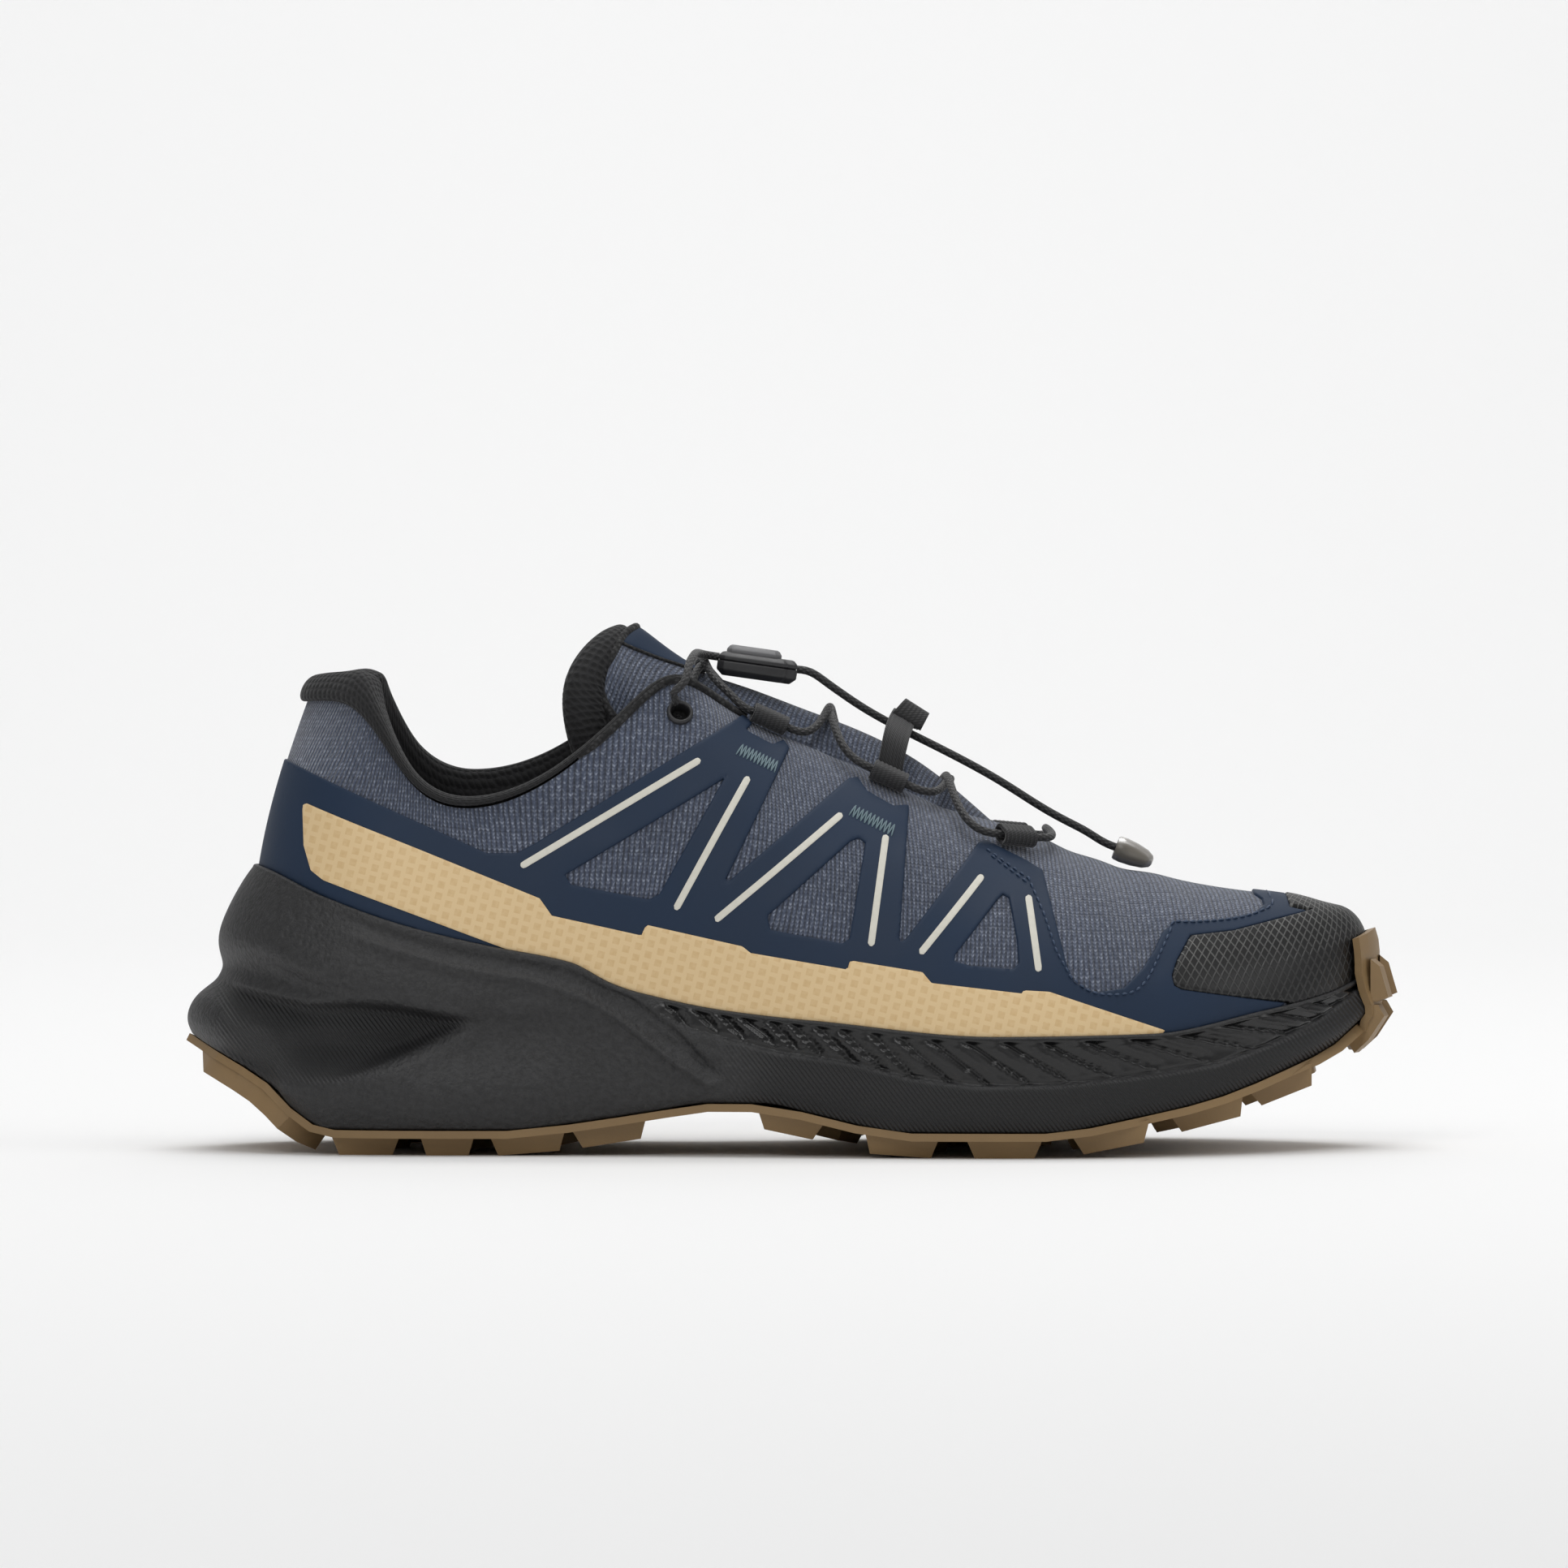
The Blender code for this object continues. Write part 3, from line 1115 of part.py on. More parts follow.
def outer_tree(piece):
    """Search tree of the piece's faces that look away from the foot."""
    corners = [v.co.copy() for v in piece.data.vertices]
    faces = []
    for face in piece.data.polygons:
        away = face.center - Vector((face.center.x, TONGUE_MIDDLE, 0.6 * UPPER_HEIGHT))
        if face.normal.dot(away) > 0.3 * away.length:
            faces.append(tuple(face.vertices))
    return BVHTree.FromPolygons(corners, faces)


def clear_of(trees, spot, clear):
    """The spot, pushed out to the clearance from each outer surface that it lies too close to."""
    spot = Vector(spot)
    for _ in range(3):
        for tree in trees:
            place, normal, _, far = tree.find_nearest(spot)
            if (spot - place).dot(normal) < clear and far < 0.012:
                spot = place + normal * clear
    return np.array(spot)


def draped(points, trees, clear, spacing=0.0035):
    """A smooth cord through the points, kept clear of the surfaces below it. Its ends stay where they are."""
    path = through(points, spacing)
    for i in range(1, len(path) - 1):
        path[i] = clear_of(trees, path[i], clear)
    return path


def tube(points, finish, diameter=CORD):
    """A cord as a mesh, for joining."""
    cord = cord_tube("tube", points, finish, diameter)
    graph = bpy.context.evaluated_depsgraph_get()
    mesh = bpy.data.meshes.new_from_object(cord.evaluated_get(graph))
    bpy.data.objects.remove(cord)
    shape = bmesh.new()
    shape.from_mesh(mesh)
    bmesh.ops.remove_doubles(shape, verts=shape.verts, dist=1e-6)
    shape.to_mesh(mesh)
    shape.free()
    made = bpy.data.objects.new("tube", mesh)
    bpy.context.scene.collection.objects.link(made)
    if not mesh.materials:
        mesh.materials.append(finish)
    return made


def make_crossings(trees):
    """The cord's crossings over the tongue: one joined X between each pair of loops, and a bar in front."""
    frames = {(i, side): loop_frame(spot, side) for i, spot in enumerate(LOOP_SPOTS) for side in (1, -1)}
    reach = LOOP_WIDTH / 2 + GAP
    clear = CORD / 2 + 2.5 * GAP
    for i in range(len(LOOP_SPOTS) - 1):
        middle = (frames[i, 1][0] + frames[i, -1][0] + frames[i + 1, 1][0] + frames[i + 1, -1][0]) / 4
        middle = clear_of(trees, middle + [0, 0, 0.01], clear)
        strands = []
        for side in (1, -1):
            start, _, ahead, _ = frames[i, side]
            end, _, behind, _ = frames[i + 1, -side]
            start = start + ahead * reach
            end = end - behind * reach
            line = [start, start + ahead * 0.003, middle, end - behind * 0.003, end]
            strands.append(tube(draped(line, trees, clear), WEBBING))
        crossing = boolean(strands[0], strands[1], "UNION")
        crossing.name = f"lace_crossing_{i + 1}"
    last = len(LOOP_SPOTS) - 1
    ends = [frames[last, side][0] + frames[last, side][2] * reach for side in (1, -1)]
    ahead = (frames[last, 1][2] + frames[last, -1][2]) / 2
    middle = (ends[0] + ends[1]) / 2 + ahead * 0.004
    middle[2] = ridge_height(middle[0]) + clear
    bar = tube(draped([ends[0], middle, ends[1]], trees, clear), WEBBING)
    bar.name = "lace_bar"


def ridge_height(x):
    """Height of the wall's top, over the toes, at x."""
    rows = np.linspace(THROAT_ROW, LAST_ROW, 200)
    line = top_line(rows)
    return float(np.interp(x, line[:, 0], line[:, 2]))


def at(x, y, z):
    """A place given in millimetres: x from the back of the heel, y from the middle, z from the floor."""
    return np.array([x / 1000 - SOLE_LENGTH / 2, y / 1000, z / 1000])


LOCK_PLACE = (141.3, 4, 119.9)
LOCK_TILT = 8  # degrees, nose down


def make_lock():
    """Cord lock: a chamfered box with a raised plate, tilted with the instep."""
    turn = Matrix.Rotation(math.radians(LOCK_TILT), 3, "Y")
    centre = at(*LOCK_PLACE)
    outline = []
    for sx, sy in ((-1, -1), (1, -1), (1, 1), (-1, 1)):
        corners = [(sx * (0.5 - 0.09), sy * 0.5), (sx * 0.5, sy * (0.5 - 0.12))]
        outline += corners if sx * sy < 0 else corners[::-1]
    outline = np.array(outline)
    layers = [(-0.5, 0.90), (-0.32, 1.0), (0.05, 1.0), (0.12, 0.90), (0.42, 0.84), (0.5, 0.76)]
    rings = []
    for level, size in layers:
        flat = outline * [LOCK_LENGTH * size, LOCK_WIDTH * size]
        rings.append(np.array([turn @ Vector((u, v, level * LOCK_HEIGHT)) for u, v in flat]) + centre)
    return ring_solid("lace_lock", rings, PLASTIC)


# The doubled cord between its ends, as x and z in the side view, millimetres
FREE_LACE = [
    (158.5, 115.2), (163.5, 111.6), (168.5, 108.4), (174.5, 105.0), (180.4, 102.0), (190.3, 97.0),
    (202.3, 90.3),
    (214.2, 82.9), (223.0, 78.2),
]
PULL_PLACE = (234.6, 6.0, 72.6)
PULL_TILT = 22
CORD_LEAD = 0.0025  # straight length of cord where it meets a piece


def lock_face(out, across, up):
    """A spot on the lock's rear or front face, and the face's outward direction. across, up: metres."""
    turn = Matrix.Rotation(math.radians(LOCK_TILT), 3, "Y")
    spot = at(*LOCK_PLACE) + np.array(turn @ Vector((out * LOCK_LENGTH / 2, across, up)))
    return spot, np.array(turn @ Vector((out, 0, 0)))


def make_free_lace():
    """The doubled cord from the lock's front face to the pull tab's rear face."""
    turn = Matrix.Rotation(math.radians(PULL_TILT), 3, "Y")
    for name, side in (("free_lace_1", -1), ("free_lace_2", 1)):
        spread = side * (CORD / 2 + GAP)
        start, out = lock_face(1, spread, 0)
        end = at(*PULL_PLACE) + np.array(turn @ Vector((-PULL_LENGTH / 2, spread, 0)))
        back = np.array(turn @ Vector((-1, 0, 0)))
        share = np.linspace(0, 1, len(FREE_LACE))
        across = start[1] + share * (end[1] - start[1])
        middle = [at(x, 0, z) + [0, y, 0] for (x, z), y in zip(FREE_LACE, across)]
        path = through([start + out * CORD_LEAD, *middle, end + back * CORD_LEAD], 0.0055)
        cord_tube(name, [start, *path, end], WEBBING)


# Points of a riser between its eyelet and the lock: x and z in millimetres from heel and floor, and its
# place across as a share of the way from the lock's end to the eyelet's end.
RISER = [
    (122.4, 1.06, 114.6), (124.2, 0.91, 118.8), (125.2, 0.656, 121.6), (126.2, 0.33, 122.6),
    (127.3, 0.141, 122.4), (128.7, 0.045, 122.1),
]


def make_risers():
    """The cord from each top eyelet up to the lock's rear face. It meets the eyelet's ring."""
    for name, side in (("lateral_riser", 1), ("medial_riser", -1)):
        centre, normal, ahead = wall_spot(*EYELET_SPOT, side)
        up = np.cross(ahead, normal)
        up *= np.sign(up[2])
        start = centre + normal * (GAP + EYELET_RING) + up * (EYELET_RADIUS + EYELET_HOLE) / 2
        end, out = lock_face(-1, -side * 0.0032, 0.0004)
        path = [at(x, 0, z) + [0, end[1] + share * (start[1] - end[1]), 0] for x, share, z in RISER]
        leads = [start, start + normal * 0.0014, start + normal * 0.0024 + up * 0.0011]
        cord_tube(name, [*leads, *path, end + out * 0.0015, end], WEBBING)


def make_pull_tab():
    """Soft horn-shaped tab at the end of the doubled cord."""
    centre = at(*PULL_PLACE)
    turn = Matrix.Rotation(math.radians(PULL_TILT), 3, "Y")
    rings = []
    for share, wide, high in ((-0.5, 0.78, 0.36), (-0.3, 0.95, 0.42), (0.1, 1.0, 0.46), (0.5, 0.55, 0.28)):
        angles = np.linspace(0, 2 * math.pi, 12, endpoint=False)
        flat = np.column_stack([np.cos(angles) * wide, np.sin(angles) * high]) * PULL_WIDTH / 2
        ring = np.column_stack([np.full(12, share * PULL_LENGTH), flat])
        rings.append(np.array([turn @ Vector(p) for p in ring]) + centre)
    return ring_solid("pull_tab", rings, SMOKE)


BAND_PATH = [
    (174.8, -11.0, 99.8), (176.0, -4.5, 104.0), (177.0, 1.5, 105.9), (177.6, 7.5, 106.0),
    (178.0, 11.5, 104.8),
]


def make_keeper_band():
    """Elastic band from the second loop up over the doubled cord."""
    centre, normal, along, climb = loop_frame(LOOP_SPOTS[1], 1)
    foot = centre + climb * (LOOP_LENGTH / 2 + GAP) - normal * BAND_TAPE / 2
    path = through([foot, *[at(*p) for p in BAND_PATH]], 0.0045)
    ahead = np.gradient(path, axis=0)
    ahead /= np.linalg.norm(ahead, axis=1)[:, None]
    wide = np.tile([math.cos(math.radians(30)), 0, -math.sin(math.radians(30))], (len(path), 1))
    up = np.cross(wide, ahead)
    up /= np.linalg.norm(up, axis=1)[:, None]
    up *= np.sign(up[:, 2:]) + (up[:, 2:] == 0)
    wide[0] = along
    up[0] = normal
    edges = [path - wide * BAND_WIDTH / 2, path + wide * BAND_WIDTH / 2]
    inside = np.stack(edges, axis=1)
    return sheet_solid("keeper_band", inside + up[:, None] * BAND_TAPE, inside, WEBBING)


def main():
    upper = shell("upper", 0, -WALL, KNIT)
    make_midsole()
    make_insole()
    make_outsole()
    padding = make_collar_padding()
    tongue = make_tongue()
    make_side_film()
    make_panels()
    make_toe_cap()
    make_eyelets(upper)
    make_loops()
    trees = [outer_tree(piece) for piece in (tongue, upper, padding)]
    make_crossings(trees)
    make_lock()
    make_free_lace()
    make_risers()
    make_pull_tab()
    make_keeper_band()


main()
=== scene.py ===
"""Looks of a trail running shoe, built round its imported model.

The toe points along +X, the outer side faces -Y and the floor is z = 0, all in metres. Outlines on the
shoe's side are given as the side view shows them: x from the back of the heel and z from the floor,
in millimetres. The sections follow the shoe as it is put together.
"""

import math

import bmesh
import bpy
import numpy as np
from mathutils import Matrix, Vector
from mathutils.bvhtree import BVHTree


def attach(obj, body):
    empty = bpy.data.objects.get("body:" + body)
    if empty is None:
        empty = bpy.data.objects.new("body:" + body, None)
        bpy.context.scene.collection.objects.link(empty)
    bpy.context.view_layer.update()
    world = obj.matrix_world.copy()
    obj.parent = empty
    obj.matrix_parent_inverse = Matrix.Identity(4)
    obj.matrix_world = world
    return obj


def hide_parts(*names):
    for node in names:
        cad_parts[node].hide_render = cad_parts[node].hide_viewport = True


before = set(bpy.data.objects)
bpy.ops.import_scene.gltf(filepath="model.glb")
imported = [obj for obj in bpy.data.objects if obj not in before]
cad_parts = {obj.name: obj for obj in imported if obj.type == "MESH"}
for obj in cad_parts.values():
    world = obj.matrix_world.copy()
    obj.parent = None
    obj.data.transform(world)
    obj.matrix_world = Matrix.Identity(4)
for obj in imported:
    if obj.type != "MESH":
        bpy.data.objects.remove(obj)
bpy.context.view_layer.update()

# Camera: a long lens almost level with the shoe, square to its outer side. The photograph's frame
# takes in 384 mm at the shoe, and its centre lies 90 mm above the floor.
FRAME_WIDTH = 0.3838
CAMERA_FAR = 2.75
CAMERA_RISE = math.radians(1.0)
AIM = (-0.0022, 0.0, 0.0902)
camera = bpy.data.objects.new("camera", bpy.data.cameras.new("camera"))
camera.data.sensor_width = 36
camera.data.lens = 36 * (CAMERA_FAR - 0.03) / FRAME_WIDTH
camera.data.clip_end = 50
back = CAMERA_FAR * math.cos(CAMERA_RISE)
camera.location = (AIM[0], AIM[1] - back, AIM[2] + CAMERA_FAR * math.sin(CAMERA_RISE))
camera.rotation_euler = (math.pi / 2 - CAMERA_RISE, 0, 0)
bpy.context.scene.collection.objects.link(camera)
bpy.context.scene.camera = camera


# Floor and light: a pale matt paper sweep under and behind the shoe, lit by one large softbox above,
# weaker ones in front and off the toe, one on the paper behind, and an even pale room.
def linear(text):
    """Linear colour of an sRGB hex value: c / 12.92 up to 0.04045, else ((c + 0.055) / 1.055) ** 2.4."""
    shares = [int(text[i : i + 2], 16) / 255 for i in (1, 3, 5)]
    return (*(c / 12.92 if c <= 0.04045 else ((c + 0.055) / 1.055) ** 2.4 for c in shares), 1)


def node(tree, kind, inputs=None, out=0, **settings):
    """Adds a node with its settings, sets or links its inputs by name or number, gives one output."""
    made = tree.nodes.new("ShaderNode" + kind)
    for name, value in settings.items():
        setattr(made, name, value)
    for place, value in (inputs or {}).items():
        if isinstance(value, bpy.types.NodeSocket):
            tree.links.new(value, made.inputs[place])
        else:
            made.inputs[place].default_value = value
    return made.outputs[out]


def surface(name, **sockets):
    """A material with one Principled shader, its sockets set by name with spaces written as underscores."""
    made = bpy.data.materials.new(name)
    made.use_nodes = True
    shader = made.node_tree.nodes["Principled BSDF"]
    for place, value in sockets.items():
        shader.inputs[place.replace("_", " ")].default_value = value
    return made, made.node_tree, shader


def drive(tree, shader, **outputs):
    """Links outputs to the shader's sockets, which are named with underscores for spaces."""
    for place, output in outputs.items():
        tree.links.new(output, shader.inputs[place.replace("_", " ")])


def put_mesh(name, points, faces, finish, uv=None, marks=None, sharp=None):
    """A mesh object from arrays of points and faces. uv and marks are given for each point."""
    mesh = bpy.data.meshes.new(name)
    faces = faces if isinstance(faces, list) else np.asarray(faces).tolist()
    mesh.from_pydata(np.asarray(points, float).reshape(-1, 3), [], faces)
    corner = np.zeros(len(mesh.loops), int)
    mesh.loops.foreach_get("vertex_index", corner)
    if uv is not None:
        layer = mesh.uv_layers.new(name="lie")
        layer.data.foreach_set("uv", np.asarray(uv, float).reshape(-1, 2)[corner].ravel())
    for mark, values in (marks or {}).items():
        layer = mesh.attributes.new(mark, "FLOAT", "POINT")
        layer.data.foreach_set("value", np.asarray(values, float).ravel())
    mesh.shade_smooth()
    if sharp is not None:
        mesh.set_sharp_from_angle(angle=math.radians(sharp))
    mesh.materials.append(finish)
    made = bpy.data.objects.new(name, mesh)
    bpy.context.scene.collection.objects.link(made)
    return made


def quads(columns, rows, closed=False, first=0, flip=False):
    """Faces of a grid of points numbered column after column. closed joins the last column to the first."""
    i, j = np.meshgrid(np.arange(columns if closed else columns - 1), np.arange(rows - 1), indexing="ij")
    a = first + i * rows + j
    b = first + (i + 1) % columns * rows + j
    faces = np.stack([a, b, b + 1, a + 1], axis=-1).reshape(-1, 4)
    return faces[:, ::-1] if flip else faces


paper, tree, shader = surface("pale matt paper", Base_Color=linear("#f3f3f3"), Roughness=0.95)
bend = np.linspace(0, math.pi / 2, 24)
reach = np.concatenate([np.linspace(-5, 1.6, 30), 1.6 + 1.2 * np.sin(bend[1:]), [2.8, 2.8]])
height = np.concatenate([np.zeros(30), 1.2 * (1 - np.cos(bend[1:])), [2.5, 5.0]])
wide = np.linspace(-4, 4, 9)
sweep = np.stack(np.broadcast_arrays(wide[:, None], reach[None], height[None]), axis=-1)
floor = put_mesh("floor", sweep, quads(9, len(reach)), paper)

world = bpy.data.worlds.new("room")
world.use_nodes = True
world.node_tree.nodes["Background"].inputs["Color"].default_value = linear("#ffffff")
world.node_tree.nodes["Background"].inputs["Strength"].default_value = 0.32
bpy.context.scene.world = world
bpy.context.scene.view_settings.view_transform = "Standard"
for name, place, size, power, aim in (
    ("softbox_above", (0.10, -0.15, 1.7), 1.3, 12.5, (0, 0, 0.05)),
    ("softbox_front", (-0.6, -2.0, 1.5), 1.1, 14, (0, 0, 0.05)),
    ("softbox_toe", (1.5, -0.5, 0.9), 0.8, 3, (0, 0, 0.05)),
    ("softbox_wall", (0, 1.3, 2.6), 1.6, 34, (0, 2.8, 0.5)),
):
    lamp = bpy.data.lights.new(name, "AREA")
    lamp.size = size
    lamp.energy = power
    light = bpy.data.objects.new(name, lamp)
    light.location = place
    light.rotation_euler = (Vector(aim) - Vector(place)).to_track_quat("-Z", "Y").to_euler()
    bpy.context.scene.collection.objects.link(light)


# Last: the foot's form that the upper is pulled over. A ring of sections round the shoe, each a curve
# from the footbed's edge up to the collar, the throat or the ridge over the toes. Every piece of the
# upper lies on this skin, so it is worked out once, at the last's sizes.
LAST_LENGTH = 0.2745
BALL_WIDTH = 0.104
UPPER_HEIGHT = 0.086
WALL = 0.0024
GAP = 0.0003
SOLE_LENGTH = 0.300
HEEL_STACK = 0.031
FOREFOOT_STACK = 0.024
TOE_SPRING = 0.0125
HEEL_FLARE = 0.0191
HEEL_CUP = 0.0395
HEEL_X = HEEL_FLARE + GAP - SOLE_LENGTH / 2 - 0.007 * LAST_LENGTH
THROAT_ROW = 11
# Columns: foot along, out, in, top along, out, in, up out, up in, rise, bulge, shoulder, drop. Lengths
# are shares of the last's length, of half its width and of the upper's height.
WALL_ROWS = np.array([
    (0.007, 0.058, 0.058, 0.045, 0.048, 0.048, 0.928, 0.928, 0.35, 0.135, 0.80, 0.285),
    (0.040, -0.385, 0.519, 0.072, -0.250, 0.375, 0.930, 0.930, 0.36, 0.105, 0.80, 0.280),
    (0.101, -0.606, 0.702, 0.105, -0.442, 0.558, 0.866, 0.884, 0.38, 0.077, 0.70, 0.300),
    (0.173, -0.673, 0.740, 0.148, -0.548, 0.644, 0.677, 0.733, 0.42, 0.058, 0.60, 0.330),
    (0.257, -0.692, 0.692, 0.206, -0.577, 0.654, 0.630, 0.692, 0.45, 0.048, 0.60, 0.330),
    (0.329, -0.721, 0.654, 0.271, -0.558, 0.625, 0.720, 0.764, 0.45, 0.048, 0.55, 0.300),
    (0.390, -0.769, 0.644, 0.332, -0.471, 0.548, 0.898, 0.915, 0.45, 0.048, 0.50, 0.250),
    (0.448, -0.827, 0.692, 0.381, -0.337, 0.471, 1.015, 1.015, 0.45, 0.048, 0.42, 0.180),
    (0.517, -0.904, 0.788, 0.441, -0.221, 0.375, 0.920, 0.920, 0.45, 0.048, 0.34, 0.100),
    (0.589, -0.967, 0.894, 0.528, -0.192, 0.346, 0.827, 0.827, 0.46, 0.048, 0.34, 0.060),
    (0.651, -0.990, 0.962, 0.611, -0.144, 0.308, 0.715, 0.715, 0.50, 0.048, 0.38, 0.040),
    (0.705, -0.987, 1.000, 0.690, 0.083, 0.083, 0.643, 0.643, 0.55, 0.048, 0.45, 0.000),
    (0.763, -0.933, 1.000, 0.744, 0.100, 0.100, 0.564, 0.564, 0.58, 0.048, 0.50, 0.000),
    (0.828, -0.798, 0.942, 0.813, 0.125, 0.125, 0.493, 0.493, 0.60, 0.048, 0.52, 0.000),
    (0.889, -0.596, 0.837, 0.878, 0.154, 0.154, 0.419, 0.419, 0.61, 0.048, 0.54, 0.000),
    (0.940, -0.346, 0.654, 0.929, 0.179, 0.179, 0.365, 0.365, 0.60, 0.058, 0.62, 0.000),
    (0.974, -0.077, 0.452, 0.958, 0.192, 0.192, 0.310, 0.310, 0.52, 0.081, 0.90, 0.020),
    (0.988, 0.212, 0.212, 0.972, 0.202, 0.202, 0.280, 0.280, 0.45, 0.115, 1.90, 0.040),
])
LAST_ROW = len(WALL_ROWS) - 1
# Columns: along, heel, spring and rim, as shares of the heel stack over the forefoot stack, of the toe
# spring and of the heel cup.
BED_ROWS = np.array([
    (-0.010, 1.00, 0.00, 1.000),
    (0.011, 1.00, 0.00, 0.965),
    (0.065, 1.00, 0.00, 0.800),
    (0.137, 1.00, 0.00, 0.623),
    (0.210, 1.00, 0.00, 0.500),
    (0.285, 0.98, 0.00, 0.400),
    (0.322, 0.93, 0.00, 0.280),
    (0.345, 0.88, 0.00, 0.235),
    (0.426, 0.68, 0.00, 0.157),
    (0.500, 0.50, 0.00, 0.134),
    (0.660, 0.00, 0.00, 0.127),
    (0.800, 0.00, 0.03, 0.130),
    (0.900, 0.00, 0.37, 0.150),
    (0.960, 0.00, 0.66, 0.152),
    (1.000, 0.00, 1.00, 0.162),
])


def natural(knots, values, spots):
    """Natural cubic spline: a tridiagonal system gives its second derivatives, which are 0 at the ends."""
    knots = np.asarray(knots, float)
    values = np.asarray(values, float).reshape(len(knots), -1)
    step = np.diff(knots)
    slope = np.diff(values, axis=0) / step[:, None]
    count = len(knots)
    matrix = np.eye(count)
    right = np.zeros_like(values)
    for i in range(1, count - 1):
        matrix[i, i - 1 : i + 2] = step[i - 1], 2 * (step[i - 1] + step[i]), step[i]
        right[i] = 6 * (slope[i] - slope[i - 1])
    bend = np.linalg.solve(matrix, right)
    spots = np.asarray(spots, float)
    cell = np.clip(np.searchsorted(knots, spots, side="right") - 1, 0, count - 2)
    width = step[cell][:, None]
    left = (knots[cell + 1] - spots)[:, None] / width
    rest = 1 - left
    curved = (left**3 - left) * bend[cell] + (rest**3 - rest) * bend[cell + 1]
    return left * values[cell] + rest * values[cell + 1] + curved * width**2 / 6


def glide(knots, values, spots):
    """Monotone cubic: a knot's tangent is the harmonic mean of the slopes beside it, or 0 at a turn."""
    knots = np.asarray(knots, float)
    values = np.asarray(values, float)
    step = np.diff(knots)
    slope = np.diff(values) / step
    tangent = np.zeros(len(knots))
    tangent[0], tangent[-1] = slope[0], slope[-1]
    same = slope[:-1] * slope[1:] > 0
    before, after = slope[:-1][same], slope[1:][same]
    tangent[1:-1][same] = 2 * before * after / (before + after)
    spots = np.clip(np.asarray(spots, float), knots[0], knots[-1])
    cell = np.clip(np.searchsorted(knots, spots, side="right") - 1, 0, len(step) - 1)
    t = (spots - knots[cell]) / step[cell]
    return (
        (2 * t**3 - 3 * t**2 + 1) * values[cell]
        + (t**3 - 2 * t**2 + t) * step[cell] * tangent[cell]
        + (3 * t**2 - 2 * t**3) * values[cell + 1]
        + (t**3 - t**2) * step[cell] * tangent[cell + 1]
    )


def footbed(x):
    """Height of the footbed: forefoot stack, the heel's share of the step and the toe's of the spring."""
    along = (x - HEEL_X) / LAST_LENGTH
    heel = glide(BED_ROWS[:, 0], BED_ROWS[:, 1], along)
    spring = glide(BED_ROWS[:, 0], BED_ROWS[:, 2], along)
    return FOREFOOT_STACK + (HEEL_STACK - FOREFOOT_STACK) * heel + TOE_SPRING * spring


def rim(x):
    """Height of the midsole's rim: the footbed plus the rim's share of the heel cup."""
    return footbed(x) + HEEL_CUP * glide(BED_ROWS[:, 0], BED_ROWS[:, 3], (x - HEEL_X) / LAST_LENGTH)


def foot_outline(rows):
    """The footbed's edge in plan: a closed spline through the outer and inner columns of the table."""
    outer = WALL_ROWS[:, [0, 1]]
    loop = np.concatenate([outer, WALL_ROWS[-2:0:-1, [0, 2]]])
    turn = len(loop)
    knots = np.arange(-3, turn + 4)
    spots = natural(knots, loop[knots % turn], np.where(rows >= 0, rows, turn + rows))
    return np.stack([HEEL_X + spots[:, 0] * LAST_LENGTH, spots[:, 1] * BALL_WIDTH / 2], axis=1)


def top_line(rows):
    bed = footbed(HEEL_X + WALL_ROWS[:, 0] * LAST_LENGTH)
    along = HEEL_X + WALL_ROWS[:, 3] * LAST_LENGTH
    outer, inner = (
        np.column_stack([along, WALL_ROWS[:, k] * BALL_WIDTH / 2, bed + WALL_ROWS[:, k + 2] * UPPER_HEIGHT])
        for k in (4, 5)
    )
    edge = np.concatenate([inner[THROAT_ROW:0:-1], outer[: THROAT_ROW + 1]])
    knots = np.arange(-THROAT_ROW, THROAT_ROW + 1)
    edge_curve = natural(knots, edge, np.clip(rows, -THROAT_ROW, THROAT_ROW))
    ridge = np.concatenate([outer[THROAT_ROW:], outer[-2 : THROAT_ROW - 1 : -1]])
    on_ridge = np.clip(np.abs(rows), THROAT_ROW, LAST_ROW)
    ridge_curve = natural(THROAT_ROW + np.arange(len(ridge)), ridge, on_ridge)
    return np.where((np.abs(rows) >= THROAT_ROW)[:, None], ridge_curve, edge_curve)


def unit(vectors):
    """Vectors at length 1: each over the root of the sum of its squares."""
    return vectors / np.linalg.norm(vectors, axis=-1, keepdims=True)


def wall(rows, levels):
    """The upper's outside: for each row a cubic curve with two handles, from foot (level 0) to top (1)."""
    rows = np.asarray(rows, float)
    t = np.asarray(levels, float)[None, :, None]
    plan = foot_outline(rows)
    foot = np.column_stack([plan, footbed(plan[:, 0]) + GAP])
    top = top_line(rows)
    number = np.arange(LAST_ROW + 1)
    handles = (glide(number, WALL_ROWS[:, k], np.abs(rows))[:, None] for k in (8, 9, 10, 11))
    rise, bulge, shoulder, drop = handles
    height = (top[:, 2] - foot[:, 2])[:, None]
    lean = foot - top
    lean[:, 2] = 0
    away = unit(lean)
    up = np.array([[0, 0, 1.0]])
    first = foot + up * rise * height + away * bulge * BALL_WIDTH / 2
    second = top + lean * shoulder - up * drop * height
    return (
        (1 - t) ** 3 * foot[:, None]
        + 3 * t * (1 - t) ** 2 * first[:, None]
        + 3 * t**2 * (1 - t) * second[:, None]
        + t**3 * top[:, None]
    )


def signed_row(place):
    """Row number of a place round the ring: 0 to 17 on the outer side, then -17 to 0 back on the inner."""
    place = np.mod(place, 2 * LAST_ROW)
    return np.where(place <= LAST_ROW, place, place - 2 * LAST_ROW)


